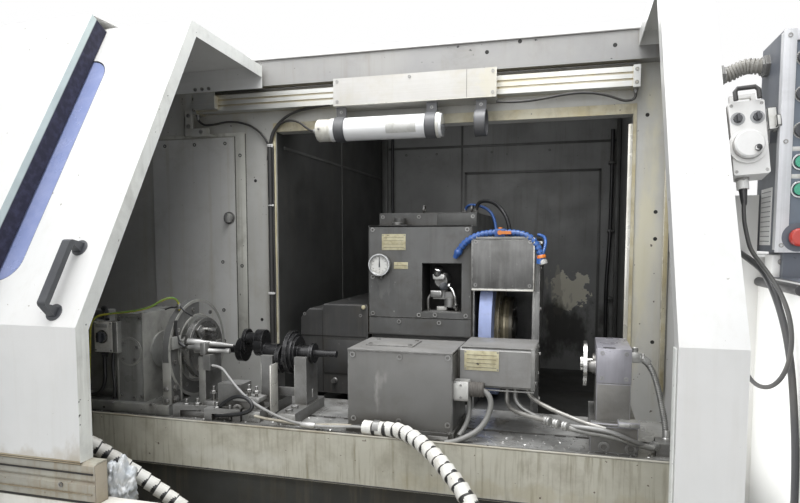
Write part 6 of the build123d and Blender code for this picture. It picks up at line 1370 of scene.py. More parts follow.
FACING_SHARE = 0.6
WIDE = 1e5
ZONES: tuple[Zone, ...] = (
    Zone("sliding_door", (-475.0, -WIDE, -WIDE), (WIDE, WIDE, WIDE), "pan_edge", RIGHT),
    Zone("sliding_door", (-WIDE, -1281.0, 873.0), (-476.0, WIDE, WIDE), "pan_inside", BACK),
    # The fixed panel's edge return: painted shade in front, a painted shadow band behind.
    Zone("left_front_panel", (-799.0, -WIDE, -WIDE), (WIDE, WIDE, WIDE), "sealed_edge", RIGHT),
    Zone("enclosure_sheets", (-WIDE, -WIDE, 2196.0), (WIDE, WIDE, WIDE), "white_paint"),
    Zone("enclosure_sheets", (-WIDE, -WIDE, -WIDE), (-1900.0, WIDE, WIDE), "white_paint"),
    Zone("enclosure_sheets", (-WIDE, 1356.5, -WIDE), (WIDE, WIDE, WIDE), "shell_paint", BACK),
    Zone("enclosure_sheets", (1012.0, -WIDE, -WIDE), (1014.0, WIDE, WIDE), "shell_paint", RIGHT),
    Zone("enclosure_sheets", (-464.0, -WIDE, -WIDE), (-462.0, WIDE, WIDE), "shell_paint", LEFT),
    Zone("header_beam", (-WIDE, -WIDE, 2188.5), (WIDE, WIDE, WIDE), "white_paint"),
    Zone("enclosure_sheets", (-WIDE, -153.0, 2187.5), (WIDE, WIDE, 2195.0), "shell_paint", UP),
    Zone("bulkhead", (-WIDE, -155.0, -WIDE), (-464.0, WIDE, WIDE), "shell_paint", BACK),
    Zone("enclosure_sheets", (-461.5, -WIDE, -WIDE), (-450.0, WIDE, WIDE), "shadow_sheet", RIGHT),
    Zone("cylinder_cover", (-WIDE, -WIDE, -WIDE), (WIDE, WIDE, 1970.5), "clip_dark"),
    Zone("bulkhead", (-WIDE, -WIDE, -WIDE), (WIDE, -161.0, WIDE), "seal_trim"),
    Zone("tailstock_housing", (440.0, -WIDE, -WIDE), (WIDE, WIDE, WIDE), "cylinder_paint"),
)


def dress_cad(palette: Palette) -> None:
    """Gives every CAD node that stays its detailed finish, zone by zone.

    Args:
        palette: The finishes.
    """
    for name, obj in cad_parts.items():
        if name not in NODE_FINISH:
            continue
        data = obj.data
        data.materials.clear()
        data.materials.append(palette.get(NODE_FINISH[name]))
        zones = [zone for zone in ZONES if zone.node == name]
        for zone in zones:
            data.materials.append(palette.get(zone.finish))
        for face in data.polygons:
            face.material_index = max((n for n, zone in enumerate(zones, 1) if zone.holds(face)), default=0)
    log.info("dressed %d CAD nodes", len(NODE_FINISH))


@dataclass
class Trees:
    """The Geometry Nodes trees that every sub-assembly shares."""

    fasteners: Repeat
    bands: Repeat
    slats: Repeat
    dials: Repeat


@dataclass
class Dress:
    """The small fittings of one sub-assembly, from the shared finishes and trees."""

    palette: Palette
    trees: Trees

    def screws(self, name: str, body: Body, slot: str, places: list[Place], radius: float = 7.0,
               height: float = 5.0, finish: str = "dull_metal", sides: int = 18) -> None:
        """A group of socket screws as one piece.

        Args:
            name: The piece's name.
            body: The body it rides on.
            slot: Its material slot.
            places: Where each head sits, in millimetres, and the way it faces.
            radius: Head radius in millimetres.
            height: Head height in millimetres.
            finish: The finish.
            sides: Sides of a head: 6 makes hexagons.
        """
        self.trees.fasteners.grow(name, point_field(places), {
            "Head Radius": radius * MM, "Head Height": height * MM, "Sides": sides, "Turn Seed": 11,
            "Finish": self.palette.get(finish)}, body, slot)

    def marks(self, name: str, slot: str, count: int, radius: float, size: Point, place: Point, lean: float,
              body: Body = Body.FRAME) -> None:
        """Graduation marks round a dial as one piece.

        Args:
            name: The piece's name.
            slot: Its material slot.
            count: Number of marks.
            radius: Radius of their circle, in metres.
            size: Size of one mark, in metres.
            place: The dial's centre in millimetres.
            lean: How far the dial is tipped up from the floor, in degrees.
            body: The body it rides on.
        """
        self.trees.dials.grow(name, fresh_mesh(), {
            "Marks": count, "Dial Radius": radius, "Mark Size": size, "Place": tuple(c * MM for c in place),
            "Turn": (math.radians(lean), 0, 0), "Finish": self.palette.get("plate_line")}, body, slot)

    def links(self, name: str, body: Body, slot: str, line: list[Vector], finish: str,
              sizes: tuple[float, float, float], lean: float, unevenness: float, seed: int) -> bpy.types.Object:
        """Bands along a hose as one piece.

        Args:
            name: The piece's name.
            body: The body it rides on.
            slot: Its material slot.
            line: The hose's middle in millimetres.
            finish: The finish.
            sizes: Pitch, radius and width of the bands, in metres.
            lean: How far a band leans, in radians.
            unevenness: How much the bands differ.
            seed: Seed of their differences.

        Returns:
            The piece.
        """
        pitch, radius, width = sizes
        return self.trees.bands.grow(name, line_field(line), {
            "Pitch": pitch, "Band Radius": radius, "Band Width": width, "Lean": lean, "Unevenness": unevenness,
            "Seed": seed, "Finish": self.palette.get(finish)}, body, slot)


@dataclass
class EnclosureDress(Dress):
    """Fittings of the beam, the bulkhead, the lamp, the gutter and the sill."""

    bulkhead_y: float = -160.0
    hatch_y: float = -165.0
    beam_y: float = -220.0
    lamp_axis: tuple[float, float] = (-250.0, 1885.0)
    lamp_radius: float = 45.0
    clip_centres: tuple[float, ...] = (-131.0, 231.0, 417.0)
    bundle: tuple[float, float] = (-486.0, -170.3)
    gutter_top: float = 887.0
    film_centre: Point = (-440.0, -1176.0, 764.0)
    film_reach: Point = (44.0, 40.0, 88.0)

    def build(self) -> None:
        """Makes every fitting."""
        self.beam()
        self.hatch()
        self.bracket()
        self.lamp()
        self.ties()
        self.gutter()
        self.sill()
        self.lump()
        self.pillar()

    def beam(self) -> None:
        """Tapped holes as near-black discs of painted shade, edges of the beam, and the screws and end fittings of the
        cylinder on it.
        """
        # Painted shade: each tapped hole is a thin near-black disc.
        holes = Piece(self.palette)
        for x, z in ((432, 2147), (552, 2176), (882, 2136), (-700, 2130)):
            holes.lathe((x, self.beam_y + 0.5, z), FRONT, turned(7.5, (0.8, 7.5)), "dark_hole", 18)
        holes.done("beam_holes", Body.FRAME)
        places = [((x, self.beam_y - 6, z), FRONT) for x in (-810, 957) for z in (2003, 2048)]
        self.screws("cylinder_screws", Body.FRAME, "extruded_aluminium", places, 6.5, 5.0)
        ends = Piece(self.palette)
        for x in (-810.0, 957.0):
            ends.hexagon((x, -194, 1987), DOWN, 9, 9, "dull_metal")
            ends.lathe((x, -194, 1979), DOWN, turned(7.5, (10, 6), (12, 6)), "dull_metal", 16)
        ends.done("cylinder_fittings", Body.FRAME)
        lip = Piece(self.palette)
        lip.box((-796, 1086), (-226, -220), (2184, 2188), "beam_grey", 0.8)
        lip.box((-796, 958), (-222, -219), (2066, 2070), "dark_hole", 0.4)
        lip.done("beam_edges", Body.FRAME)

    def hatch(self) -> None:
        """Strips, screws and latch ring of the inspection hatch, and the holes and edges round it."""
        y = self.bulkhead_y
        strip = Piece(self.palette)
        strip.box((-652, -606), (y - 4, y + 0.5), (948, 1906), "hatch_strip", 0.8)
        strip.box((-1068, -606), (y - 3, y + 0.5), (1897, 1912), "hatch_strip", 0.8)
        strip.box((-656.5, -652), (y - 2, y + 0.5), (975, 1897), "dark_hole", 0.3)
        strip.box((-606, -602), (y - 1.4, y + 0.5), (948, 1906), "dark_hole", 0.3)
        strip.done("hatch_strip", Body.FRAME)
        places = [((-629, y - 4, z), FRONT) for z in (1815, 1342, 1020)]
        places += [((-722, self.hatch_y, z), FRONT) for z in (1358, 1147, 1010)]
        places += [((-700, self.hatch_y, 1868), FRONT), ((-1000, self.hatch_y, 1868), FRONT),
                   ((-850, self.hatch_y, 1868), FRONT)]
        self.screws("hatch_screws", Body.FRAME, "bulkhead_paint", places, 7.5, 4.0, "dark_casting")
        edge = Piece(self.palette)
        edge.ring((-686, self.hatch_y, 1549), FRONT, 19.6, 27, 3, "dull_metal")
        edge.done("hatch_rosette", Body.FRAME)
        # Painted shade: each hole is a thin near-black disc.
        holes = Piece(self.palette)
        for x, z in ((1038, 1554), (1039, 1457), (1040, 1080), (-540, 1110), (-560, 1706), (1001, 1900)):
            holes.lathe((x, y + 0.5, z), FRONT, turned(7, (1.0, 7)), "dark_hole", 16)
        holes.done("bulkhead_holes", Body.FRAME)
        flange = Piece(self.palette)
        flange.box((938, 952.6), (y - 5.6, y - 5), (690, 1870), "bright_edge", 0.2)
        flange.box((-471.6, -464), (y - 5.5, y - 5), (1060, 1868), "pale_stain", 0.2)
        flange.box((1064, 1082), (y - 14, y), (900, 2080), "seal_trim", 1.5)
        flange.done("opening_edges", Body.FRAME)

    def bracket(self) -> None:
        """The C-shaped bracket under the door cylinder's left end."""
        y = self.bulkhead_y
        part = Piece(self.palette)
        part.boxes("bulkhead_paint", 1,
                   ((-872, -866), (y - 46, y), (1899, 2007)),
                   ((-872, -751), (y - 46, y - 40), (1899, 1930)),
                   ((-872, -830), (y - 46, y - 40), (1930, 2007)),
                   ((-866, -751), (y - 40, y), (1899, 1904)),
                   ((-866, -812), (y - 5, y), (1904, 1960)))
        for x, z in ((-850, 1985), (-850, 1940), (-790, 1915)):
            part.hexagon((x, y - 46, z), FRONT, 8, 6, "dull_metal")
        part.done("cylinder_bracket", Body.FRAME)

    def lamp(self) -> None:
        """Cap ribs, gland, lens, label plate and clip screws of the tube lamp, and the cover's screws."""
        y, z = self.lamp_axis
        part = Piece(self.palette)
        ribs = []
        for foot in range(0, 54, 6):
            ribs += [(2 + foot, 41), (5 + foot, 43.5), (7 + foot, 41)]
        part.lathe((-231, y, z), RIGHT, turned(30, *ribs, (60, 45.6), (64, 45.6), (64, 30)), "lamp_cap", 40)
        part.lathe((-231, y, z), LEFT, turned(16, (5, 16), (7, 12), (16, 9.5), (20, 7.5)), "grey_rubber", 24)
        part.ring((250, y, z), RIGHT, 45.2, 47.5, 12, "lamp_cap", 48)
        part.lathe((272, y, z), RIGHT, turned(42, (1.5, 41), (2.4, 36)), "bright_lens", 48)
        part.lathe((-212, y - 44, z), FRONT, turned(5, (3, 4)), "dull_metal", 14)
        part.hose([(-494, -172, 1788), (-483, -174, 1878), (-446, -180, 1934), (-381, -186, 1975), (-292, -196, 1990),
                   (-196, -214, 1993)], 5.5, "black_rubber", 12)
        part.done("lamp_ends", Body.FRAME)
        label = Piece(self.palette)
        turns = [math.radians(-24 + 62 * step / ARC_STEPS) for step in range(ARC_STEPS + 1)]
        arc = [(self.lamp_radius + 0.5, t) for t in turns] + [(self.lamp_radius + 0.1, t) for t in reversed(turns)]
        label.slab([(60.0, y - r * math.cos(t), z - r * math.sin(t)) for r, t in arc], (117, 0, 0), "silver_plate")
        label.done("lamp_plate", Body.FRAME)
        places = [((x, -256, 1951), FRONT) for x in self.clip_centres]
        places += [((x, -277, 1988), FRONT) for x in (-140, 462)]
        places += [((x, -277, 2064), FRONT) for x in (-140, 150, 462)]
        self.screws("cover_screws", Body.FRAME, "stainless_sheet", places, 6.0, 4.0)
        cover = Piece(self.palette)
        cover.box((366, 367.4), (-277.7, -276.6), (1972, 2075), "dark_casting", 0)
        cover.box((-154, 474), (-277.8, -276.8), (1971.5, 1974), "bright_edge", 0.3)
        cover.box((473.2, 475.4), (-277.8, -276.8), (1973, 2075), "bright_edge", 0.3)
        for x in self.clip_centres:
            for side in (-20.6, 17.6):
                cover.ring((x + side, y, z), RIGHT, self.lamp_radius + 0.4, 49.6, 3, "black_plastic", 44)
        cover.done("cover_seams", Body.FRAME)

    def ties(self) -> None:
        """Cable ties and clips on the bundle down the post."""
        x, y = self.bundle
        part = Piece(self.palette)
        for z, wide in ((1852, 5), (1846, 3), (1600, 3), (1227, 6), (1000, 3)):
            part.ring((x, y, z - wide / 2), UP, 9.8, 11.6, wide, "white_plastic", 22)
            part.box((x + 8, x + 16), (y - 4, y + 2), (z - 4, z + 4), "white_plastic", 1)
        part.box((x - 11, x + 17), (y - 11.6, y - 9.8), (1222, 1232), "white_plastic", 0.5)
        part.done("bundle_ties", Body.FRAME)
        pair = Piece(self.palette)
        pair.hose([(x + 13, -166, 1848), (x + 14, -166, 1700), (x + 12, -167, 1500), (x + 15, -166, 1300),
                   (x + 13, -166, 1080), (x + 13, -166, 700)], 5.0, "black_rubber", 10)
        pair.done("post_lead", Body.FRAME)

    def gutter(self) -> None:
        """Rolled lip, hem, end edge and screws of the splash gutter."""
        top = self.gutter_top
        part = Piece(self.palette)
        part.rod((-1379, -918, top), (1080, -918, top), 3.6, "gutter_edge", 14)
        part.box((-1379, 1080), (-920.6, -919.8), (738, 743), "dark_casting", 0.3)
        part.box((1060, 1079), (-920.8, -919.6), (752, 884), "gutter_edge", 0.4)
        part.done("gutter_lip", Body.FRAME)
        places = [((x, -910, top + 0.2), UP) for x in (-900, -420, 60, 540, 1020)]
        self.screws("gutter_screws", Body.FRAME, "stained_tray", places, 6.5, 4.0, "dull_metal")

    def sill(self) -> None:
        """Seals, stained strips and screws of the rail at the foot of the door, and its stained end."""
        part = Piece(self.palette)
        part.box((-1984, -436), (-1284.5, -1281.5), (840, 844), "dark_hole", 0.5)
        part.box((-1984, -474), (-1283, -1281.5), (865, 869), "stain_edge", 0.5)
        part.box((-1984, -432), (-1283.2, -1281.6), (762, 768), "dark_hole", 0.5)
        part.box((-1984, -440), (-1285.5, -1282), (786, 789), "stain_edge", 0.5)
        part.box((-432.5, -430.5), (-1281, -1238), (762, 866), "rust_end", 0.4)
        part.done("rail_strips", Body.FRAME)
        places = [((x, -1282, 805), FRONT) for x in (-1900, -1560, -1220, -880, -540)]
        self.screws("rail_screws", Body.FRAME, "rail_stained", places, 7.0, 4.5)

    def lump(self) -> None:
        """Crumpled film pressed round the end of the rail."""
        mesh = bmesh.new()
        bmesh.ops.create_icosphere(mesh, subdivisions=5, radius=1.0)
        for vert in mesh.verts:
            fold = noise.noise(vert.co * 2.1 + Vector((3, 1, 7)))
            crease = abs(noise.noise(vert.co * 5.5)) * 0.22 + abs(noise.noise(vert.co * 12)) * 0.09
            size = 1.0 + 0.42 * fold - 1.5 * crease
            reach = Vector([c * r for c, r in zip(vert.co, self.film_reach)])
            vert.co = (Vector(self.film_centre) + reach * size) * MM
        data = bpy.data.meshes.new("crumpled_film")
        mesh.to_mesh(data)
        mesh.free()
        for face in data.polygons:
            face.use_smooth = True
        data.materials.append(self.palette.get("clear_film"))
        adopt("crumpled_film", data, Body.FRAME)

    def pillar(self) -> None:
        """Inner edge strip of the right-hand pillar."""
        part = Piece(self.palette)
        part.box((957.4, 960.6), (-1270, -1236), (72, 1236), "pan_edge", 1)
        part.done("pillar_strip", Body.FRAME)


@dataclass
class DoorDress(Dress):
    """Gasket and fittings of the sliding door, placed along its slope."""

    fold: tuple[float, float] = (-1282.0, 1227.0)
    lean: float = 30.0
    window: tuple[float, float, float, float] = (-1694.0, -734.0, 128.0, 950.0)
    corner: float = 70.0

    def place(self, x: float, along: float, out: float = 0.0) -> Point:
        """A point on the door's sloped face.

        Args:
            x: Place across.
            along: Way up the slope from the fold.
            out: Way out from the face.

        Returns:
            The point in millimetres.
        """
        turn = math.radians(self.lean)
        y, z = self.fold
        return (x, y + along * math.sin(turn) - out * math.cos(turn),
                z + along * math.cos(turn) + out * math.sin(turn))

    def build(self) -> None:
        """Makes the door's fittings."""
        left, right, low, high = self.window
        corners = ((right - self.corner, high - self.corner), (left + self.corner, high - self.corner),
                   (left + self.corner, low + self.corner), (right - self.corner, low + self.corner))
        outline = []
        for quarter, (x, along) in enumerate(corners):
            for step in range(ARC_STEPS + 1):
                turn = math.radians(90 * quarter + 90 * step / ARC_STEPS)
                outline.append((x + self.corner * math.cos(turn), along + self.corner * math.sin(turn)))
        outline += outline[:2]
        gasket = Piece(self.palette)
        gasket.tube([Vector(self.place(x, along, -3.5)) for x, along in outline], 3.4, "black_rubber", 10)
        gasket.done("window_gasket", Body.DOOR)
        feet = Piece(self.palette)
        axis = Vector(self.place(0, 0, 1)) - Vector(self.place(0, 0, 0))
        for along in (40.0, 235.0):
            spot = self.place(-558, along, 0.0)
            feet.lathe(spot, tuple(axis), turned(24, (2, 24), (3, 22)), "black_plastic", 28)
        feet.done("handle_feet", Body.DOOR)
        hem = Piece(self.palette)
        hem.box((-1950, -476), (-1283.2, -1281.5), (870.4, 874), "stain_edge", 0.5)
        hem.done("door_hem", Body.DOOR)
        places = [((-745 + step, -262, 2078), FRONT) for step in (-32, 0, 32)]
        self.screws("carriage_screws", Body.DOOR, "extruded_aluminium", places, 7.0, 5.0)
        # Painted shade: the hood's hole is a thin near-black disc.
        hole = Piece(self.palette)
        hole.lathe((-500, -420, 2158.5), DOWN, turned(9, (1, 9)), "dark_hole", 18)
        hole.done("hood_hole", Body.DOOR)


@dataclass
class CompartmentDress(Dress):
    """Sheet seams, posts and pipes of the dark compartment behind the wheelhead."""

    left_x: float = -460.0
    right_x: float = 1010.0
    back_y: float = 1357.0
    roof_z: float = 2185.0

    def build(self) -> None:
        """Makes the compartment's seams and posts."""
        back = self.back_y
        part = Piece(self.palette)
        part.box((-456, -420), (back - 26, back - 3), (680, 2180), "dark_post", 2)
        part.boxes("dark_post", 1,
                   ((58, 70), (back - 4, back), (640, 2180)),
                   ((-430, 1008), (back - 5, back), (2034, 2048)),
                   ((82, 96), (back - 7, back), (700, 1880)),
                   ((82, 900), (back - 7, back), (1866, 1880)),
                   ((888, 902), (back - 7, back), (700, 1880)))
        part.box((984, 1006), (back - 30, back - 3), (660, 2180), "dark_post", 2)
        part.boxes("dark_post", 1,
                   ((self.left_x, self.left_x + 4), (-90, back - 26), (1844, 1856)),
                   ((self.left_x, self.left_x + 4), (604, 612), (700, 2180)),
                   ((1003, 1010), (300, 322), (700, 2180)))
        part.box((995, 1010), (40, 64), (760, 2000), "dark_post", 2)
        part.done("compartment_seams", Body.FRAME)
        places = [((x, back - 7, z), FRONT) for x in (89, 895) for z in (760, 1130, 1500, 1850)]
        places += [((x, back, 2000), FRONT) for x in (-300, -100, 250, 600)]
        self.screws("compartment_screws", Body.FRAME, "dark_sheet", places, 7.0, 4.0, "dark_casting")
        pipes = Piece(self.palette)
        pipes.hose([(960, back - 40, 2100), (960, back - 40, 1700), (955, back - 46, 1420), (940, back - 60, 1200),
                    (944, back - 60, 900), (944, back - 60, 690)], 11, "coil_black", 14)
        pipes.hose([(-380, back - 40, 2100), (-382, back - 40, 1800), (-376, back - 44, 1500), (-382, back - 40, 1200),
                    (-380, back - 40, 700)], 9, "coil_black", 12)
        for z in (1900, 1500, 1100):
            pipes.box((940, 980), (back - 54, back - 1), (z, z + 16), "dark_post", 2)
        pipes.done("compartment_hoses", Body.FRAME)


@dataclass
class WheelheadDress(Dress):
    """Fittings of the wheelhead, its gauge, window bay, guard, hose and hub."""

    front_y: float = -100.0
    seam_z: float = 1132.0
    gauge: Point = (-18.0, -130.0, 1351.0)
    wheel_axis: tuple[float, float] = (150.0, 1080.0)

    def build(self) -> None:
        """Makes every fitting of the wheelhead."""
        self.plates()
        self.castings()
        self.dial()
        self.bay()
        self.guard()
        self.nozzle()
        self.hub()
        self.belt()

    def plates(self) -> None:
        """Bare riveted plates on the front."""
        y = self.front_y
        part = Piece(self.palette)
        part.box((-14, 88), (y - 1.6, y + 0.4), (1412, 1478), "bare_plate", 0.5)
        for line in range(4):
            part.box((-6, 80), (y - 1.9, y - 1.5), (1422 + line * 14, 1423.2 + line * 14), "plate_line", 0)
        part.box((38, 98), (y - 1.6, y + 0.4), (1334, 1362), "bare_plate", 0.5)
        part.box((44, 92), (y - 1.9, y - 1.5), (1347, 1348.4), "plate_line", 0)
        for x, z in ((-9, 1417), (83, 1417), (-9, 1473), (83, 1473), (42, 1348), (94, 1348)):
            part.lathe((x, y - 1.5, z), FRONT, RIVET, "dull_metal", 12)
        part.done("front_plates", Body.WHEELHEAD)

    def castings(self) -> None:
        """Seam, screws, cap, lifting eyes and top cables of the housing."""
        y = self.front_y
        part = Piece(self.palette)
        part.box((-74.6, 365), (y - 0.8, y + 0.4), (self.seam_z - 1.6, self.seam_z + 1.6), "dark_hole", 0)
        part.box((-76.5, 366.5), (y - 1.6, y + 2), (1058, 1064), "dark_casting", 0.8)
        part.box((-74, 366), (-100, -96), (1506, 1513.5), "dark_post", 1)
        part.box((-30, 96), (-99, -30), (1512, 1517), "dark_casting", 1.5)
        part.lathe((43, -62, 1517), UP, turned(24, (8, 24), (11, 20)), "dull_metal", 26)
        part.box((18, 70), (2, 30), (1513, 1553), "bare_plate", 4)
        for x in (120, 330):
            part.ring((x, 80, 1587), RIGHT, 11, 19, 9, "dull_metal", 26)
            part.rod((x + 4.5, 80, 1560), (x + 4.5, 80, 1572), 9, "dull_metal", 16)
        part.box((200, 366), (-1.5, 1), (1515, 1566), "dark_post", 1)
        part.done("housing_trim", Body.WHEELHEAD)
        places = [((x, y, z), FRONT) for x, z in ((-54, 1147), (145, 1145), (213, 1147), (340, 1147), (-54, 1496),
                                                  (344, 1496), (-54, 1300), (60, 1115), (230, 1115))]
        self.screws("front_screws", Body.WHEELHEAD, "machine_paint", places, 9.0, 7.0)
        places = [((x, 60, 1568), UP) for x in (-30, 160, 340)] + [((x, 0, 1552), FRONT) for x in (-40, 120, 350)]
        self.screws("top_screws", Body.WHEELHEAD, "machine_paint", places, 8.0, 6.0)
        cables = Piece(self.palette)
        cables.hose([(352, 60, 1568), (356, 60, 1600), (380, 40, 1618), (430, 10, 1612), (470, -20, 1580),
                     (500, -30, 1530), (508, -26, 1470)], 8, "coil_black", 12)
        cables.hose([(300, 90, 1566), (304, 90, 1592), (330, 70, 1606), (400, 60, 1590), (440, 40, 1540),
                     (446, 30, 1462)], 6, "blue_hose", 12)
        for spot in ((352, 60, 1568), (300, 90, 1566)):
            cables.lathe(spot, UP, turned(13, (9, 13), (11, 10), (20, 9)), "dull_metal", 6)
        cables.done("top_cables", Body.WHEELHEAD)

    def dial(self) -> None:
        """Rim, face and graduations of the pressure gauge."""
        x, y, z = self.gauge
        part = Piece(self.palette)
        part.ring((x, y - 2.5, z), BACK, 39.5, 46.8, 12, "chrome_case", 48)
        part.lathe((x, y + 7.4, z), FRONT, turned(39.5, (0.8, 39.5)), "dial_white", 48)
        part.lathe((x, y + 6.0, z - 18), FRONT, turned(1.6, (0.6, 1.6)), "plate_line", 12)
        part.hexagon((x, -104, z - 45), DOWN, 9, 16, "dull_metal")
        part.done("gauge_rim", Body.WHEELHEAD)
        for name, count, radius, size in (("gauge_marks", 48, 0.0345, (0.0042, 0.0008, 0.0005)),
                                          ("gauge_band", 12, 0.0295, (0.006, 0.0013, 0.0005))):
            self.marks(name, "chrome_case", count, radius, size, (x, y + 6.2, z), 90, Body.WHEELHEAD)

    def bay(self) -> None:
        """Near-black lining of the window bay as painted shade, and the pipes, knob and gland of the regulating valve
        in it.
        """
        part = Piece(self.palette)
        part.boxes("dark_hole", 0,
                   ((157.4, 322.6), (48, 49.6), (1157.4, 1359.6)),
                   ((157.2, 159), (-99, 48), (1157.4, 1359.6)),
                   ((321, 322.8), (-99, 48), (1157.4, 1359.6)),
                   ((157.4, 322.6), (-99, 48), (1357.6, 1359.4)))
        part.box((158, 322), (-96, 48), (1157.2, 1160), "dull_metal", 0.5)
        part.done("bay_shade_lining", Body.WHEELHEAD)
        valve = Piece(self.palette)
        valve.lathe((212, -52, 1306), (0.25, -0.55, 0.8), turned(19, (4, 21), (22, 21), (26, 18), (40, 18), (43, 14)),
                    "bright_steel", 28)
        valve.box((196, 246), (-74, -22), (1290, 1312), "silver_plate", 3)
        valve.box((184, 232), (-66, -20), (1216, 1244), "dull_metal", 3)
        valve.lathe((238, -58, 1262), (0.3, -0.9, 0.1), turned(15, (5, 17), (16, 17), (18, 13)), "black_plastic", 24)
        valve.hose([(250, -40, 1262), (268, -50, 1258), (284, -62, 1236), (292, -60, 1204), (292, -50, 1162)], 7.5,
                   "bright_steel", 14)
        valve.hose([(190, -36, 1228), (176, -46, 1222), (170, -50, 1200), (172, -46, 1162)], 6, "dull_metal", 12)
        valve.hexagon((292, -60, 1188), DOWN, 12, 16, "bright_steel")
        valve.hexagon((253, -40, 1262), RIGHT, 12, 12, "bright_steel")
        valve.box((206, 250), (-40, -8), (1160, 1176), "silver_plate", 2)
        valve.done("valve_fittings", Body.WHEELHEAD)

    def guard(self) -> None:
        """Folded front cover, hems and bolts of the wheel guard."""
        y = self.front_y
        part = Piece(self.palette)
        part.box((370, 608), (y - 34, y - 0.6), (1259, 1463), "worn_sheet", 2.5)
        part.box((368, 610), (y - 37, y + 4), (1253, 1262), "bright_edge", 1.5)
        part.box((366.5, 371), (y - 36, y + 2), (1258, 1463), "worn_edge", 1)
        part.box((607, 611.5), (y - 36, y + 2), (1258, 1463), "bright_edge", 1)
        part.box((380, 600), (y - 36, y - 33), (1455, 1466), "worn_edge", 1)
        part.done("guard_cover", Body.WHEELHEAD)
        side = Piece(self.palette)
        side.box((609, 631.8), (y - 2, y + 6), (764, 1250), "worn_sheet", 1.5)
        side.box((604, 611), (y - 3, y + 3), (764, 1256), "worn_edge", 1)
        for z in (820, 1000, 1180, 1340, 1440):
            side.hexagon((631, y + 30, z), RIGHT, 9, 7, "dull_metal")
        side.done("guard_edges", Body.WHEELHEAD)
        places = [((x, y - 34, z), FRONT) for x in (384, 594) for z in (1276, 1446)]
        places += [((x, 40, 1461), UP) for x in (400, 490, 580)]
        self.screws("guard_screws", Body.WHEELHEAD, "machine_paint", places, 7.0, 5.0)

    def nozzle(self) -> None:
        """Ball links of the blue coolant hose, its flared ends and the tap's nuts."""
        left = route([(310, -124, 1402), (330, -124, 1436), (366, -125, 1462), (408, -124, 1478), (458, -124, 1482)])
        right = route([(498, -124, 1482), (545, -124, 1481), (592, -125, 1466), (622, -124, 1432), (634, -124, 1392)])
        for name, line in (("hose_links_left", left), ("hose_links_right", right)):
            self.links(name, Body.WHEELHEAD, "blue_hose", line, "blue_hose", (0.016, 0.0142, 0.0098), 0.05, 0.03, 4)
        part = Piece(self.palette)
        part.lathe((317, -124, 1414), (-0.5, 0, -0.86), turned(11, (4, 15), (14, 16), (22, 12), (38, 8.5), (38, 6),
                                                               (12, 6)), "blue_hose", 24)
        part.lathe((634, -124, 1396), (0.2, 0, -0.98), turned(15, (3, 18), (12, 19), (14, 15)), "orange_plastic", 24)
        part.lathe((637, -124, 1380), (0.3, 0, -0.95), turned(15, (10, 18.5), (20, 18.5), (23, 15)), "silver_plate", 24)
        part.lathe((455, -124, 1482), RIGHT, turned(13, (6, 14)), "orange_plastic", 24)
        part.lathe((495, -124, 1482), RIGHT, turned(14, (8, 13)), "orange_plastic", 24)
        part.box((459, 497), (-140.5, -108), (1468, 1496), "blue_hose", 4)
        part.lathe((478, -124, 1495), UP, turned(9, (8, 8)), "orange_plastic", 18)
        part.hose([(640, -110, 1400), (648, -96, 1424), (650, -80, 1452), (640, -60, 1470), (618, -52, 1474)], 6.5,
                  "blue_hose", 12)
        part.done("hose_ends", Body.WHEELHEAD)

    def hub(self) -> None:
        """Flange ring, turned bands, balancing screws and paper washer of the wheel hub."""
        y, z = self.wheel_axis
        part = Piece(self.palette)
        part.ring((461, y, z), RIGHT, 126, 188, 3, "hub_band", 64)
        part.ring((449, y, z), RIGHT, 188, 205, 1.4, "paper_disc", 64)
        bands = ((8, "hub_paint"), (10, "hub_band"), (8, "hub_paint"), (12, "hub_dark"))
        for step, (width, finish) in enumerate(bands):
            part.ring((464.5 + step * 11.5, y, z), RIGHT, 124, 127.5 - step * 0.4, width, finish, 64)
        part.ring((511, y, z), RIGHT, 60, 118, 2.4, "hub_dark", 56)
        part.lathe((511, y, z), RIGHT, turned(42, (9, 42), (12, 38), (12, 20), (4, 18)), "dark_casting", 36)
        part.done("hub_rings", Body.WHEEL)
        places = bolt_circle(464.0, self.wheel_axis, 157, 8) + bolt_circle(513.2, self.wheel_axis, 88, 6)
        self.screws("hub_screws", Body.WHEEL, "hub_paint", places, 8.0, 7.0)

    def belt(self) -> None:
        """Lid seam, knob and screws of the belt cover."""
        y = self.front_y
        part = Piece(self.palette)
        part.box((-383, -84), (y - 1.5, y + 1), (1040, 1044), "dark_hole", 0.3)
        part.box((-284, -281), (y - 1.5, y + 1), (800, 1150), "dark_hole", 0.3)
        part.box((-278, -90), (y - 5, y + 0.5), (880, 1030), "belt_paint", 2)
        part.lathe((-228, y, 850), FRONT, turned(12, (4, 12), (6, 9), (16, 8), (18, 10), (22, 10)), "dull_metal", 22)
        part.lathe((-96, y - 2, 1170), (0.2, -1, 0), turned(9, (9, 8), (10, 5)), "bare_plate", 18)
        part.box((-84, -77), (y - 1, y + 40), (800, 1176), "dark_casting", 1)
        part.done("belt_trim", Body.WHEELHEAD)
        places = [((x, y, z), FRONT) for x in (-366, -110) for z in (822, 1134)]
        places += [((x, 120, 1180), UP) for x in (-240, -110)]
        self.screws("belt_screws", Body.WHEELHEAD, "machine_paint", places, 7.0, 5.0)


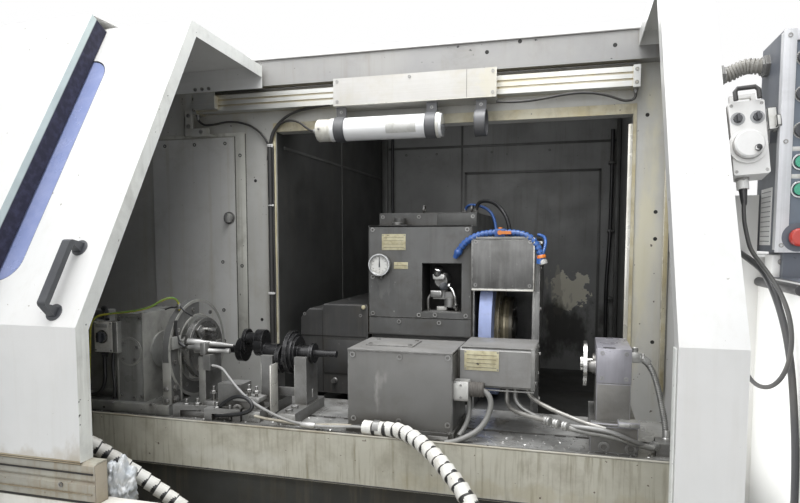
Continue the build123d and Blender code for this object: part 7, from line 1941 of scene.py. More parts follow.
@dataclass
class TableDress(Dress):
    """Everything small on the table: headstock, guard, rests, tailstock, dresser, pipes and swarf."""

    work_axis: tuple[float, float] = (-700.0, 1080.0)
    table_top: float = 880.0
    jaw_turn: float = 0.55
    chip_count: int = 340
    chip_steps: tuple[float, float] = (0.6180339, 0.7548777)

    def build(self) -> None:
        """Makes every fitting of the table."""
        self.headstock()
        self.switch_box()
        self.earth_wire()
        self.guard_ring()
        self.driver()
        self.clamps()
        self.rests()
        self.tailstock()
        self.quill()
        self.limit_switch()
        self.pipes()
        self.dresser()
        self.table()

    def headstock(self) -> None:
        """Cover seams, ring moulding, ribs and bolts of the headstock and its motor."""
        part = Piece(self.palette)
        part.ring((-655, -861.2, 1084), BACK, 42, 49, 4.5, "headstock_edge", 44)
        part.lathe((-655, -860.2, 1084), FRONT, turned(43, (1.4, 42)), "headstock_paint", 44)
        part.boxes("headstock_edge", 1,
                   ((-702, -600), (-861.4, -859), (1203, 1211.5)),
                   ((-705, -699), (-862, -852), (918, 1211)),
                   ((-604, -600.4), (-862, -640), (917, 1212)))
        part.box((-860, -500), (-876, -871), (884, 916), "headstock_edge", 1.5)
        for z in range(955, 1180, 22):
            part.box((-853, -845), (-846, -634), (z, z + 6), "headstock_paint", 1)
        part.box((-846, -706), (-850.5, -846), (950, 1176), "headstock_paint", 2)
        part.hose([(-812, -790, 1186), (-812, -796, 1212), (-792, -812, 1226), (-762, -830, 1210), (-738, -860, 1188)],
                  7, "coil_black", 12)
        part.box((-840, -784), (-820, -764), (1185, 1214), "headstock_paint", 3)
        part.done("headstock_trim", Body.TABLE)
        places = [((x, -861, z), FRONT) for x, z in ((-690, 1196), (-612, 1196), (-690, 935), (-612, 935),
                                                     (-640, 930), (-838, 1164), (-838, 962))]
        places += [((-655 + 34 * math.cos(t), -861.6, 1084 + 34 * math.sin(t)), FRONT) for t in (0.5, 2.2, 3.9, 5.4)]
        places += [((x, y, 1211), UP) for x in (-690, -615) for y in (-845, -625)]
        self.screws("headstock_screws", Body.TABLE, "machine_paint", places, 6.5, 5.0)
        places = [((x, -874, 917), UP) for x in (-864, -720, -560)]
        self.screws("headstock_bolts", Body.TABLE, "machine_paint", places, 11.0, 9.0, "dull_metal", 6)

    def switch_box(self) -> None:
        """Bare plate, rim, screws and glands of the headstock's switch box."""
        part = Piece(self.palette)
        part.box((-775, -705), (-880, -877.6), (1082, 1184), "switch_plate", 1)
        part.box((-704, -685), (-880, -877.6), (1082, 1184), "headstock_paint", 1)
        part.ring((-745.6, -880, 1133), BACK, 17.6, 23, 2, "dull_metal", 32)
        part.box((-768, -722), (-880.8, -879.5), (1164, 1176), "silver_plate", 0.4)
        for x in (-770, -710):
            for z in (1088, 1178):
                part.lathe((x, -880, z), FRONT, turned(3.6, (1.6, 3)), "dull_metal", 14)
        part.lathe((-752, -862, 1081), DOWN, turned(13, (8, 13), (10, 10), (20, 9)), "coil_black", 6)
        part.hose([(-752, -862, 1064), (-752, -864, 1030), (-748, -866, 990), (-760, -868, 950), (-790, -868, 932),
                   (-830, -866, 926)], 6.5, "coil_black", 12)
        part.hose([(-716, -862, 1081), (-716, -868, 1052), (-712, -872, 1010), (-706, -872, 960), (-712, -870, 926)], 5,
                  "coil_black", 12)
        part.done("switch_box_trim", Body.TABLE)

    def earth_wire(self) -> None:
        """Yellow and green wire over the headstock to the guard."""
        part = Piece(self.palette)
        line = route([(-817, -874, 805), (-812, -878, 880), (-800, -880, 982), (-788, -886, 1110), (-782, -888, 1175),
                      (-764, -886, 1200), (-728, -874, 1209), (-643, -868, 1217), (-569, -862, 1232),
                      (-539, -850, 1254), (-510, -834, 1266), (-500, -812, 1256), (-502, -800, 1232),
                      (-508, -792, 1218)])
        part.tube(line, 3.4, "earth_wire", 10)
        part.tube([p + Vector((2.4, -2.0, 1.6)) for p in line[60:118]], 1.6, "green_stripe", 8)
        part.hose([(-500, -800, 1240), (-488, -802, 1222), (-470, -806, 1212), (-446, -812, 1204)], 3, "coil_black", 8)
        part.hose([(-504, -798, 1236), (-522, -792, 1226), (-546, -784, 1228), (-574, -776, 1218)], 3, "coil_black", 8)
        part.lathe((-503, -800, 1242), DOWN, turned(8, (10, 8), (12, 5), (18, 5)), "dull_metal", 12)
        part.done("earth_wire", Body.TABLE)

    def guard_ring(self) -> None:
        """Worn rims, legs and bolts of the round guard in front of the headstock, and the bars in it."""
        y, z = self.work_axis
        part = Piece(self.palette)
        part.ring((-501, y, z), RIGHT, 158, 168.5, 2.5, "headstock_edge", 72)
        part.ring((-501, y, z), RIGHT, 111.5, 118, 2.5, "headstock_edge", 64)
        part.box((-501.5, -498), (-863, -858), (917, 1082), "headstock_edge", 0.8)
        part.box((-526, -496), (-866, -861), (917, 1090), "headstock_edge", 1.2)
        part.box((-501.5, -495), (-809, -803), (917, 1082), "headstock_edge", 0.8)
        part.box((-498, -490), (-856, -812), (1096, 1138), "headstock_paint", 2)
        for zz in (930, 968):
            part.hexagon((-499, -836, zz), RIGHT, 11, 8, "dull_metal")
            part.hexagon((-511, -866, zz), FRONT, 9, 7, "dull_metal")
        part.box((-490, -430), (-812, -806), (1090, 1100), "bright_steel", 1)
        part.done("ring_rims", Body.TABLE)
        places = bolt_circle(-498.6, self.work_axis, 138, 8, 0.2)
        self.screws("ring_screws", Body.TABLE, "machine_paint", places, 7.0, 5.0)
        bars = Piece(self.palette)
        bars.lathe((-468, -806, 1117), (0.97, 0.22, -0.08), turned(12, (44, 12.5), (50, 10), (110, 8.5), (140, 6),
                                                                   (152, 5)), "dull_metal", 20)
        grip = [(0, 0), (0, 9), (40, 10), (48, 7), (100, 6.5), (106, 9), (118, 9), (122, 0)]
        bars.lathe((-440, -812, 1092), (0.98, 0.2, -0.03), grip, "pale_steel", 20)
        bars.box((-412, -392), (-826, -790), (1078, 1118), "dull_metal", 2)
        bars.lathe((-400, -806, 1100), (-1, -0.2, 0), turned(14, (10, 15), (34, 15), (44, 9), (60, 8)),
                   "dull_metal", 24)
        bars.hose([(-470, -820, 1102), (-486, -822, 1110), (-494, -826, 1128), (-494, -834, 1160), (-490, -838, 1190)],
                  5.5, "coil_black", 12)
        bars.done("steady_bars", Body.TABLE)

    def driver(self) -> None:
        """Jaws, bolts and worn rims of the driving plate."""
        y, z = self.work_axis
        part = Piece(self.palette)
        part.ring((-470.4, y, z), RIGHT, 92, 104, 2, "dull_metal", 56)
        part.ring((-470.4, y, z), RIGHT, 31, 44, 6, "dark_casting", 40)
        for jaw in range(3):
            turn = Matrix.Translation((0, y, z)) @ Matrix.Rotation(math.tau * jaw / 3 + self.jaw_turn, 4, "X")
            part.box((-470.5, -462), (-15, 15), (48, 90), "dull_metal", 2, turn)
        part.done("driver_trim", Body.SPINDLE)
        places = bolt_circle(-470.2, self.work_axis, 72, 3, self.jaw_turn + 0.4)
        places += bolt_circle(-462, self.work_axis, 68, 3, self.jaw_turn + math.tau / 4)
        self.screws("driver_screws", Body.SPINDLE, "bright_steel", places, 6.0, 5.0)

    def clamps(self) -> None:
        """Clamping bars, studs, nuts, blocks and the dark hose loop between headstock and rests."""
        top = self.table_top
        part = Piece(self.palette)
        part.box((-488, -372), (-858, -828), (top, top + 20), "dull_metal", 2)
        part.box((-421, -397), (-818, -720), (top + 188, top + 192), "dull_metal", 1)
        part.box((-421.5, -396.5), (-820, -816), (top, top + 190), "headstock_edge", 1)
        part.box((-392, -350), (-846, -790), (top, top + 52), "dull_metal", 3)
        part.box((-286, -192), (-842, -786), (top + 58, top + 72), "pale_steel", 2)
        part.box((-276, -202), (-836, -790), (top, top + 58), "dull_metal", 3)
        part.box((-176, -170), (-800, -752), (top + 8, top + 172), "bright_edge", 0.8)
        part.box((-232, -170), (-800, -752), (top, top + 14), "dull_metal", 2)
        for x, y, height in ((-452, -846, 44), (-408, -850, 50), (-330, -862, 46), (-282, -864, 40), (-366, -820, 86),
                             (-240, -816, 98), (-214, -816, 94)):
            part.rod((x, y, top + 4), (x, y, top + height + 12), 5.2, "dull_metal", 16)
            part.hexagon((x, y, top + height - 12), UP, 10, 10, "dull_metal")
        part.ring((-268, -840, top + 34), (0.3, -1, 0.1), 8, 16, 10, "dull_metal", 24)
        part.done("table_clamps", Body.TABLE)
        hose = Piece(self.palette)
        hose.hose([(-352, -838, 902), (-330, -858, 916), (-300, -864, 940), (-262, -862, 962), (-222, -866, 960),
                   (-196, -872, 940), (-204, -876, 920), (-240, -876, 908), (-292, -874, 900), (-330, -870, 896)], 6,
                  "coil_black", 12)
        hose.hose([(-190, -874, 906), (-150, -876, 900), (-96, -874, 896), (-40, -878, 892), (10, -880, 894),
                   (60, -882, 900), (120, -886, 905), (186, -890, 906)], 4.6, "pale_lead", 12)
        hose.hose([(186, -896, 912), (150, -890, 908), (110, -884, 900), (60, -878, 892), (20, -872, 890)], 4.2,
                  "coil_black", 12)
        hose.lathe((-22, -899, 899.5), RIGHT, turned(7, (4, 9), (40, 9.6), (46, 7)), "pale_steel", 20)
        hose.done("table_hoses", Body.TABLE)

    def rests(self) -> None:
        """Hardened vee inserts, tie bolts and worn edges of the rests."""
        y = self.work_axis[0]
        part = Piece(self.palette)
        for x in (-214, -93):
            for side in (-1, 1):
                spot = Matrix.Translation((x, y + side * 26, 1058))
                turn = spot @ Matrix.Rotation(side * math.radians(-42), 4, "X")
                part.box((-19, 19), (-3, 3), (-17, 17), "pale_steel", 1, turn)
            part.box((x - 21.6, x - 19), (-747, -653), (918, 1046), "headstock_edge", 0.6)
            part.box((x - 31, x + 31), (-856, -852), (882, 914), "pale_steel", 1)
            for yy in (-832, -790, -640):
                part.hexagon((x, yy, 916), UP, 12, 10, "dull_metal")
        part.box((-236, -70), (-700, -690), (930, 960), "dull_metal", 2)
        part.done("rest_inserts", Body.TABLE)

    def tailstock(self) -> None:
        """Cover plate, lid, seams, screws, bare plate and lug of the tailstock."""
        part = Piece(self.palette)
        part.box((116, 430), (-862.5, -859.6), (902, 1128), "tail_paint", 2)
        part.box((114.6, 431.4), (-866, -640), (1126, 1131.5), "tail_top", 1.5)
        part.box((150, 300), (-800, -690), (1131, 1136), "tail_top", 1.5)
        part.box((434, 656), (-797, -793.6), (1014, 1018), "worn_edge", 1)
        part.box((444, 656), (-793, -607), (1139, 1141), "tail_top", 1)
        part.box((646, 658.5), (-796, -604), (1020, 1140), "worn_edge", 1.5)
        part.box((454, 556), (-796.6, -794.6), (1072, 1131), "bare_plate", 0.6)
        for line in range(4):
            part.box((462, 548), (-797, -796.4), (1081 + line * 12, 1082.2 + line * 12), "plate_line", 0)
        for x, z in ((458, 1077), (552, 1077), (458, 1127), (552, 1127)):
            part.lathe((x, -796.6, z), FRONT, RIVET, "dull_metal", 12)
        part.box((366, 426), (-893, -889), (832, 896), "worn_edge", 2)
        part.hexagon((394, -892, 872), FRONT, 12, 9, "dull_metal")
        part.lathe((394, -892, 872), FRONT, turned(17, (2.5, 17)), "dull_metal", 24)
        part.done("tailstock_trim", Body.TABLE)
        places = [((x, -862.5, z), FRONT) for x, z in ((131, 1114), (276, 1113), (418, 1117), (133, 922), (273, 922),
                                                       (419, 922))]
        self.screws("tailstock_screws", Body.TABLE, "machine_paint", places, 8.5, 6.0)
        places = [((x, y, 1136), UP) for x in (162, 288) for y in (-788, -702)]
        places += [((657.5, y, z), RIGHT) for y in (-778, -622) for z in (1038, 1122)]
        places += [((x, -866, 900), UP) for x in (128, 250, 424)]
        self.screws("tailstock_bolts", Body.TABLE, "machine_paint", places, 6.5, 5.0)

    def quill(self) -> None:
        """Wiper ring and worn sleeve round the quill."""
        y, z = self.work_axis
        part = Piece(self.palette)
        part.ring((108, y, z), RIGHT, 31, 44, 6.5, "black_rubber", 40)
        part.ring((103, y, z), RIGHT, 31, 40, 5.4, "dull_metal", 40)
        part.done("quill_wiper", Body.TABLE)

    def limit_switch(self) -> None:
        """Bright switch case, ribbed plug and lead of the limit switch."""
        part = Piece(self.palette)
        part.box((431, 475.5), (-845, -803), (990, 1048), "pale_steel", 3)
        part.box((431, 475), (-847, -844), (996, 1042), "silver_plate", 1)
        for z in (1001, 1037):
            part.lathe((453, -847, z), FRONT, turned(3.6, (1.8, 3)), "dull_metal", 14)
        ribs = []
        for foot in range(0, 42, 7):
            ribs += [(3 + foot, 22.5), (6 + foot, 21)]
        part.lathe((475, -822, 1022), RIGHT, turned(21.5, *ribs, (42, 20)), "dark_plug", 28)
        part.hose([(512, -822, 1020), (532, -826, 1012), (540, -832, 980), (528, -842, 940), (508, -856, 914),
                   (486, -868, 900), (462, -880, 890), (440, -896, 884), (418, -902, 882)], 8.5, "grey_lead", 14)
        part.hose([(470, -806, 992), (474, -806, 960), (470, -818, 930), (462, -836, 908), (450, -856, 892)], 7,
                  "grey_lead", 12)
        part.done("switch_trim", Body.TABLE)

    def pipes(self) -> None:
        """Bent pipes, ribbed couplings, collars and the second hose along the table."""
        part = Piece(self.palette)
        part.hose([(574, -740, 1022), (574, -742, 990), (576, -752, 968), (592, -772, 956), (640, -806, 950),
                   (690, -836, 950)], 7, "pipe_steel", 14)
        part.hose([(632, -760, 1022), (640, -764, 1000), (664, -782, 988), (706, -812, 976), (760, -846, 966),
                   (800, -866, 958), (850, -876, 950)], 6, "pipe_steel", 14)
        for x, y, z in ((690, -836, 950), (714, -852, 949), (738, -864, 948)):
            part.lathe((x, y, z), (0.86, -0.48, -0.02), turned(9, (2, 12.5), (7, 12.5), (8, 10), (10, 12.5), (15, 12.5),
                                                               (17, 9)), "pale_steel", 22)
        for x, y, z in ((684, -808, 944), (706, -820, 942)):
            part.lathe((x, y, z), (0.86, -0.5, -0.08), turned(9.5, (2, 12), (12, 12), (14, 9.5)), "pale_steel", 6)
        part.hose([(752, -862, 942), (792, -870, 936), (840, -875, 934), (880, -875, 928), (926, -868, 914),
                   (960, -858, 904), (982, -846, 899)], 8.0, "braided_hose", 16)
        part.lathe((968, -852, 908), (0.75, 0.5, -0.25), turned(12, (16, 12), (20, 9)), "pale_steel", 18)
        part.done("pipe_fittings", Body.TABLE)
        hose = route([(938, -780, 1130), (958, -784, 1118), (974, -792, 1090), (986, -800, 1050), (996, -806, 1000),
                      (1004, -810, 960), (1008, -812, 914)])
        self.links("hose_braid", Body.TABLE, "dull_metal", hose, "braided_hose", (0.006, 0.0086, 0.0044), 0.5, 0.03, 9)
        ends = Piece(self.palette)
        ends.box((908, 944), (-794, -766), (1116, 1145), "pale_steel", 3)
        ends.hexagon((938, -780, 1130), RIGHT, 14, 12, "pale_steel")
        ends.lathe((946, -781, 1127), (0.8, -0.15, -0.6), turned(11, (18, 10.5), (22, 9)), "pale_steel", 20)
        ends.lathe((1008, -812, 914), UP, turned(12, (6, 12), (8, 10), (26, 10), (28, 9)), "pale_steel", 20)
        ends.rod((926, -780, 1144), (926, -780, 1158), 8, "pale_steel", 16)
        ends.done("hose_fittings", Body.TABLE)

    def dresser(self) -> None:
        """Upper block's plate, seam, slot, bolts and the base's nuts of the dresser."""
        part = Piece(self.palette)
        part.box((824, 913.5), (-842.5, -639), (1066, 1161), "dresser_upper", 2)
        part.box((824.6, 912.6), (-841.4, -640), (956, 1064), "dresser_lower", 1.5)
        part.box((840, 872), (-838, -826), (1160.6, 1162), "dark_hole", 0)
        part.box((810, 932), (-862, -858), (881, 953), "dresser_lower", 2)
        part.box((812, 930), (-866, -838), (953, 962), "dull_metal", 2)
        part.box((880, 936), (-872, -830), (955, 970), "pale_steel", 3)
        part.lathe((802, -740, 1092), RIGHT, turned(15, (12, 18), (23, 20)), "dull_metal", 32)
        part.done("dresser_trim", Body.TABLE)
        places = [((x, -862, 898), FRONT) for x in (846, 914)]
        self.screws("dresser_bolts", Body.TABLE, "dull_metal", places, 15.0, 9.0)
        places = [((x, -842.5, z), FRONT) for x in (838, 900) for z in (1080, 1148)]
        self.screws("dresser_screws", Body.TABLE, "dull_metal", places, 5.5, 3.5)

    def table(self) -> None:
        """Slot nuts, worn edge, seams and scattered swarf on the table."""
        top = self.table_top
        part = Piece(self.palette)
        part.box((-899, 1039), (-881.2, -879), (868, 880.5), "worn_edge", 0.6)
        part.box((-898, 1038), (-750, -730), (866, 868), "dark_hole", 0)
        part.box((-899, 1039), (-880.8, -879.6), (836, 839), "dark_hole", 0)
        for x in (40, 700, 760, -30):
            part.box((x - 14, x + 14), (-748, -732), (868, 879), "dull_metal", 2)
        part.done("table_trim", Body.TABLE)
        chips = []
        for step in range(self.chip_count):
            across, back = ((step * share) % 1.0 for share in self.chip_steps)
            x = -880 + 1900 * across
            y = -872 + 120 * back ** 1.6
            lean = (math.sin(step * 2.3), math.cos(step * 3.1), 1.4)
            chips.append(((x, y, top + 1.0), lean))
        self.trees.fasteners.grow("table_swarf", point_field(chips), {
            "Head Radius": 0.0032, "Head Height": 0.0016, "Sides": 3, "Turn Seed": 21,
            "Finish": self.palette.get("pale_steel")}, Body.TABLE, "table_iron")


@dataclass
class OperatorDress(Dress):
    """Operator's side: panel frame and bezels, handwheel box, conduit, cabinet and small boxes."""

    panel_front: float = -1019.0
    knob_rows: tuple[float, ...] = (1848.0, 1770.0, 1692.0)
    key_rows: tuple[float, ...] = (1623.0, 1563.0)
    stop_row: float = 1458.0
    column: float = 1235.0
    box_centre: Point = (1133.0, -1012.0, 1682.0)

    def build(self) -> None:
        """Makes the operator side's fittings."""
        self.panel()
        self.handwheel()
        self.conduit()
        self.cabinet()

    def panel(self) -> None:
        """Bright frame, bezels, screws, dial marks and a striped bare plate on the panel."""
        y = self.panel_front
        part = Piece(self.palette)
        part.box((1190.6, 1216.5), (y - 5.4, y - 1), (1424, 1910), "panel_frame", 0.8)
        part.boxes("panel_frame", 1,
                   ((1216, 1663), (y - 5.4, y - 1), (1885, 1910)),
                   ((1216, 1663), (y - 5.4, y - 1), (1424, 1449)),
                   ((1638, 1663), (y - 5.4, y - 1), (1449, 1885)))
        part.box((1217, 1262), (y - 0.4, y + 1.0), (1450, 1884), "panel_face", 0)
        for z in self.knob_rows:
            part.ring((self.column, y, z), FRONT, 14.5, 18.5, 1.6, "silver_plate", 40)
            part.box((self.column + 34, self.column + 78), (y - 0.8, y + 1), (z - 18, z + 18), "silver_plate", 0.5)
        for z in self.key_rows:
            part.ring((self.column, y, z), FRONT, 14.5, 18.5, 4, "chrome_case", 40)
            part.box((self.column - 24, self.column + 24), (y - 0.8, y + 1), (z + 24, z + 34), "silver_plate", 0.6)
        part.ring((self.column + 8, y, self.stop_row + 4), FRONT, 20, 27, 1.6, "yellow_plastic", 48)
        part.done("panel_trim", Body.FRAME)
        for index, z in enumerate(self.knob_rows):
            self.marks(f"panel_marks_{index}", "panel_dark", 24, 0.0165, (0.0030, 0.0006, 0.0005),
                       (self.column, y - 1.8, z), 90)
        places = [((x, y - 5.4, z), FRONT) for x in (1203, 1650) for z in (1440, 1668, 1896)]
        places += [((1420, y - 5.4, z), FRONT) for z in (1437, 1897)]
        self.screws("panel_screws", Body.FRAME, "panel_dark", places, 5.0, 3.0)
        plate = Piece(self.palette)
        plate.box((1190.4, 1192.4), (-984, -900), (1440, 1572), "white_plastic", 0.5)
        for line in range(11):
            plate.box((1190, 1190.6), (-978, -906), (1448 + line * 11.4, 1449.8 + line * 11.4), "plate_grey", 0)
        plate.box((1190.6, 1192.4), (-1022, -1004), (1430, 1905), "panel_frame", 0.5)
        plate.done("side_plate", Body.FRAME)

    def handwheel(self) -> None:
        """Hook, bracket, gland nut, scale ring, crank knob and screws of the handwheel box."""
        tilt = Matrix.Rotation(math.radians(-10), 4, "X") @ Matrix.Rotation(math.radians(-4), 4, "Y")
        turn = Matrix.Translation(self.box_centre) @ tilt

        def spot(x: float, z: float, out: float) -> Point:
            """A point on the box's front."""
            return tuple(turn @ Vector((x, -out, z)))

        facing = tuple((turn.to_3x3() @ Vector(FRONT)).normalized())
        down = tuple((turn.to_3x3() @ Vector(DOWN)).normalized())
        part = Piece(self.palette)
        hook = ((-24, 84, 14), (-24, 104, 12), (-18, 112, 10), (18, 112, 10), (24, 104, 12), (24, 84, 14))
        part.tube([Vector(spot(*place)) for place in hook], 5.2, "coil_black", 14)
        part.box((38, 58), (-8, 0), (10, 62), "silver_plate", 2, turn)
        part.box((52, 62), (-20, 24), (14, 40), "silver_plate", 2, turn)
        part.ring(spot(-5, -20, -0.4), facing, 32.5, 39.5, 2.2, "scale_grey", 52)
        for kx in (-20, 20):
            part.ring(spot(kx, 45, -0.2), facing, 9.6, 15, 1.4, "scale_grey", 32)
        for kx in (-31, 31):
            for kz in (-77, 77):
                part.lathe(spot(kx, kz, -0.4), facing, turned(4, (1.6, 3.4)), "dull_metal", 14)
        part.lathe(spot(-14, -84, -30), down, turned(15, (7, 15), (9, 13), (20, 13), (24, 10), (26, 10)),
                   "bright_steel", 6)
        part.lathe(spot(-14, -108, -30), down, turned(9.5, (10, 8.5), (34, 6.5), (40, 5)), "coil_black", 20)
        part.done("handwheel_box_trim", Body.FRAME)
        self.marks("handwheel_scale", "white_plastic", 100, 0.0372, (0.0030, 0.00045, 0.0004), spot(-5, -20, 2.3), 80)
        knob = Piece(self.palette)
        knob.ring(spot(-5, -20, 12), facing, 22, 27, 5.2, "scale_grey", 48)
        knob.lathe(spot(9, -34, 15), facing, turned(6, (3, 4.5), (8, 5), (14, 7.5), (18, 7), (20, 4)), "coil_black", 22)
        knob.done("crank_knob", Body.DIAL)

    def conduit(self) -> None:
        """Corrugated conduit from the post to the panel with its end nuts."""
        line = route([(1088, -884, 1850), (1108, -884, 1850), (1130, -888, 1862), (1150, -896, 1868),
                      (1170, -904, 1862), (1192, -904, 1862)])
        core = Piece(self.palette)
        core.tube(line, 15.6, "grey_conduit", 22)
        core.lathe((1088, -884, 1850), RIGHT, turned(26, (10, 26), (12, 22), (16, 22)), "dull_metal", 6)
        core.lathe((1192, -904, 1862), LEFT, turned(26, (10, 26), (12, 22), (16, 22)), "dull_metal", 6)
        obj = core.done("conduit_core", Body.FRAME)
        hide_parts("panel_conduit")
        ribs = self.links("conduit_ribs", Body.FRAME, "grey_conduit", line, "grey_conduit", (0.0078, 0.0186, 0.0046),
                          0.0, 0.01, 2)
        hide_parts("panel_conduit")

    def cabinet(self) -> None:
        """Shelf edge, doors' gap, lock, small boxes and cable ends at the operator's cabinet."""
        part = Piece(self.palette)
        part.rod((1192, -1203, 1352), (1984, -1203, 1352), 12, "coil_black", 20)
        part.rod((1192, -1203, 1352), (1192, -905, 1352), 11, "coil_black", 20)
        part.box((1200, 1984), (-1200, -900), (1364.6, 1367), "panel_dark", 1)
        part.boxes("dark_hole", 0,
                   ((1196, 1984), (-1283, -1281), (1018, 1022)),
                   ((1586, 1590), (-1283, -1281), (1022, 1336)),
                   ((1586, 1590), (-1283, -1281), (74, 1018)))
        for z in (1180, 560):
            part.lathe((1556, -1282, z), FRONT, turned(15, (3, 15), (4, 12), (9, 12)), "chrome_case", 28)
            part.box((1554, 1558), (-1292, -1290.6), (z - 8, z + 8), "dark_hole", 0)
        part.done("cabinet_trim", Body.FRAME)
        boxes = Piece(self.palette)
        boxes.box((1196, 1232), (-990, -930), (1366, 1419), "white_plastic", 3)
        boxes.box((1236, 1282), (-1000, -930), (1366, 1412), "white_plastic", 3)
        boxes.box((1288, 1330), (-996, -930), (1366, 1405), "panel_face", 3)
        for x, y, z in ((1214, -990, 1402), (1258, -1000, 1398), (1308, -996, 1392)):
            boxes.lathe((x, y, z), FRONT, turned(7, (3, 7), (4, 5)), "dull_metal", 20)
        boxes.done("shelf_boxes", Body.FRAME)
        lead = Piece(self.palette)
        lead.hose([(1150, -900, 1420), (1150, -930, 1416), (1152, -1010, 1402), (1158, -1090, 1380),
                   (1166, -1160, 1320), (1176, -1200, 1240), (1182, -1222, 1140), (1186, -1240, 1000),
                   (1187, -1240, 800), (1187, -1240, 560), (1187, -1236, 300), (1187, -1230, 90)], 7, "coil_black", 14)
        lead.done("cabinet_lead", Body.FRAME)


@dataclass
class OutsideDress(Dress):
    """Seams, louvres, screws and service fittings on the sides that the photograph doesn't show."""

    right_x: float = 1013.0
    left_x: float = -463.0
    left_back_y: float = -154.0
    cover_back_y: float = -160.0
    roof_z: float = 2188.0
    louvre_gap: float = 9.5
    louvre_count: int = 14
    louvre_step: float = 26.0

    def build(self) -> None:
        """Makes the outside fittings."""
        self.seams()
        self.louvres()
        self.fixings()
        self.service()

    def seams(self) -> None:
        """Joint lines of the outer sheets."""
        part = Piece(self.palette)
        for y in (350.0, 860.0):
            part.box((self.right_x - 0.4, self.right_x + 1.0), (y - 2, y + 2), (90, 2180), "seam_line", 0)
            part.box((self.left_x - 1.0, self.left_x + 0.4), (y - 2, y + 2), (90, 2180), "seam_line", 0)
        part.boxes("seam_line", 0,
                   ((self.right_x - 0.4, self.right_x + 1.1), (-150, 1354), (1118, 1122)),
                   ((self.left_x - 1.1, self.left_x + 0.4), (-150, 1354), (1118, 1122)),
                   ((-458, 1010), (598, 602), (self.roof_z - 0.4, self.roof_z + 1.0)),
                   ((273, 277), (-150, 1354), (self.roof_z - 0.4, self.roof_z + 1.1)))
        for x in (-1560.0, -1120.0):
            part.box((x - 2, x + 2), (self.left_back_y - 0.4, self.left_back_y + 1.0), (90, 2150), "seam_line", 0)
        part.boxes("seam_line", 0,
                   ((-1980, -470), (self.left_back_y - 0.4, self.left_back_y + 1.1), (938, 942)),
                   ((1536, 1540), (self.cover_back_y - 0.4, self.cover_back_y + 1.0), (80, 1404)),
                   ((1094, 1980), (-532, -528), (1409.6, 1411)))
        part.done("outer_seams", Body.FRAME)

    def louvres(self) -> None:
        """Five rows of ventilation louvres with their frames."""
        tilt = math.radians(28)
        gap, step = self.louvre_gap, self.louvre_step
        rear = self.cover_back_y + gap
        rows = (("right_louvres", (self.right_x + gap, 1110.0, 1600.0), (12.0, 300.0, 15.0), (0.0, -tilt, 0.0)),
                ("left_louvres", (self.left_x - gap, 1110.0, 1600.0), (12.0, 300.0, 15.0), (0.0, tilt, 0.0)),
                ("rear_louvres", (-1340.0, self.left_back_y + gap, 1500.0), (320.0, 12.0, 15.0), (tilt, 0.0, 0.0)),
                ("cover_louvres", (1310.0, rear, 620.0), (300.0, 12.0, 15.0), (tilt, 0.0, 0.0)),
                ("cabinet_louvres", (1770.0, rear, 620.0), (300.0, 12.0, 15.0), (tilt, 0.0, 0.0)))
        frames = Piece(self.palette)
        for name, start, size, turn in rows:
            self.trees.slats.grow(name, fresh_mesh(), {
                "Count": self.louvre_count, "Start": tuple(c * MM for c in start), "Step": (0.0, 0.0, step * MM),
                "Size": tuple(c * MM for c in size), "Turn": turn,
                "Finish": self.palette.get("shell_paint")}, Body.FRAME, "beam_grey")
            high = (start[2] - step, start[2] + self.louvre_count * step)
            self.louvre_frame(frames, start, size, high)
        frames.done("louvre_frames", Body.FRAME)

    def louvre_frame(self, frames: Piece, start: Point, size: Point, high: Span) -> None:
        """The two rims and the dark ground of one row of louvres; the ground is painted shade behind the slats.

        Args:
            frames: The piece that they are added to.
            start: The lowest slat's centre.
            size: A slat's size.
            high: The frame's lowest and highest place.
        """
        across = max(size[0], size[1]) / 2 + 16
        if size[1] > size[0]:
            wall = (self.right_x - 0.5, self.right_x + 2.5)
            if start[0] < 0:
                wall = (self.left_x - 2.5, self.left_x + 0.5)
            for y in (start[1] - across, start[1] + across - 6):
                frames.box(wall, (y, y + 6), high, "shell_paint", 0.6)
            # Painted shade behind the slats.
            frames.box((wall[0] + 1, wall[1] - 1), (start[1] - across, start[1] + across), high, "seam_line", 0)
        else:
            base = start[1] - self.louvre_gap
            for x in (start[0] - across, start[0] + across - 6):
                frames.box((x, x + 6), (base - 0.5, base + 2.5), high, "shell_paint", 0.6)
            # Painted shade behind the slats.
            frames.box((start[0] - across, start[0] + across), (base - 0.4, base + 1.4), high, "seam_line", 0)

    def fixings(self) -> None:
        """Rows of sheet screws along the seams and plugs over the roof's lifting holes."""
        heights = (150.0, 620.0, 1090.0, 1150.0, 1650.0, 2130.0)
        places = [((self.right_x, y, z), RIGHT) for y in (-120, 326, 374, 836, 884, 1330) for z in heights]
        places += [((self.left_x, y, z), LEFT) for y in (-120, 326, 374, 836, 884, 1330) for z in heights]
        places += [((x, self.left_back_y, z), BACK) for x in (-1950, -1584, -1536, -1144, -1096, -500)
                   for z in (130, 560, 910, 970, 1500, 2080)]
        places += [((x, self.cover_back_y, z), BACK) for x in (1120, 1512, 1564, 1950)
                   for z in (120, 540, 1000, 1370)]
        self.screws("sheet_screws", Body.FRAME, "beam_grey", places, 8.0, 3.5)
        places = [((x, y, self.roof_z), UP) for x in (-380, 930) for y in (-60, 1270)]
        self.screws("roof_plugs", Body.FRAME, "beam_grey", places, 22.0, 9.0, "dull_metal", 6)

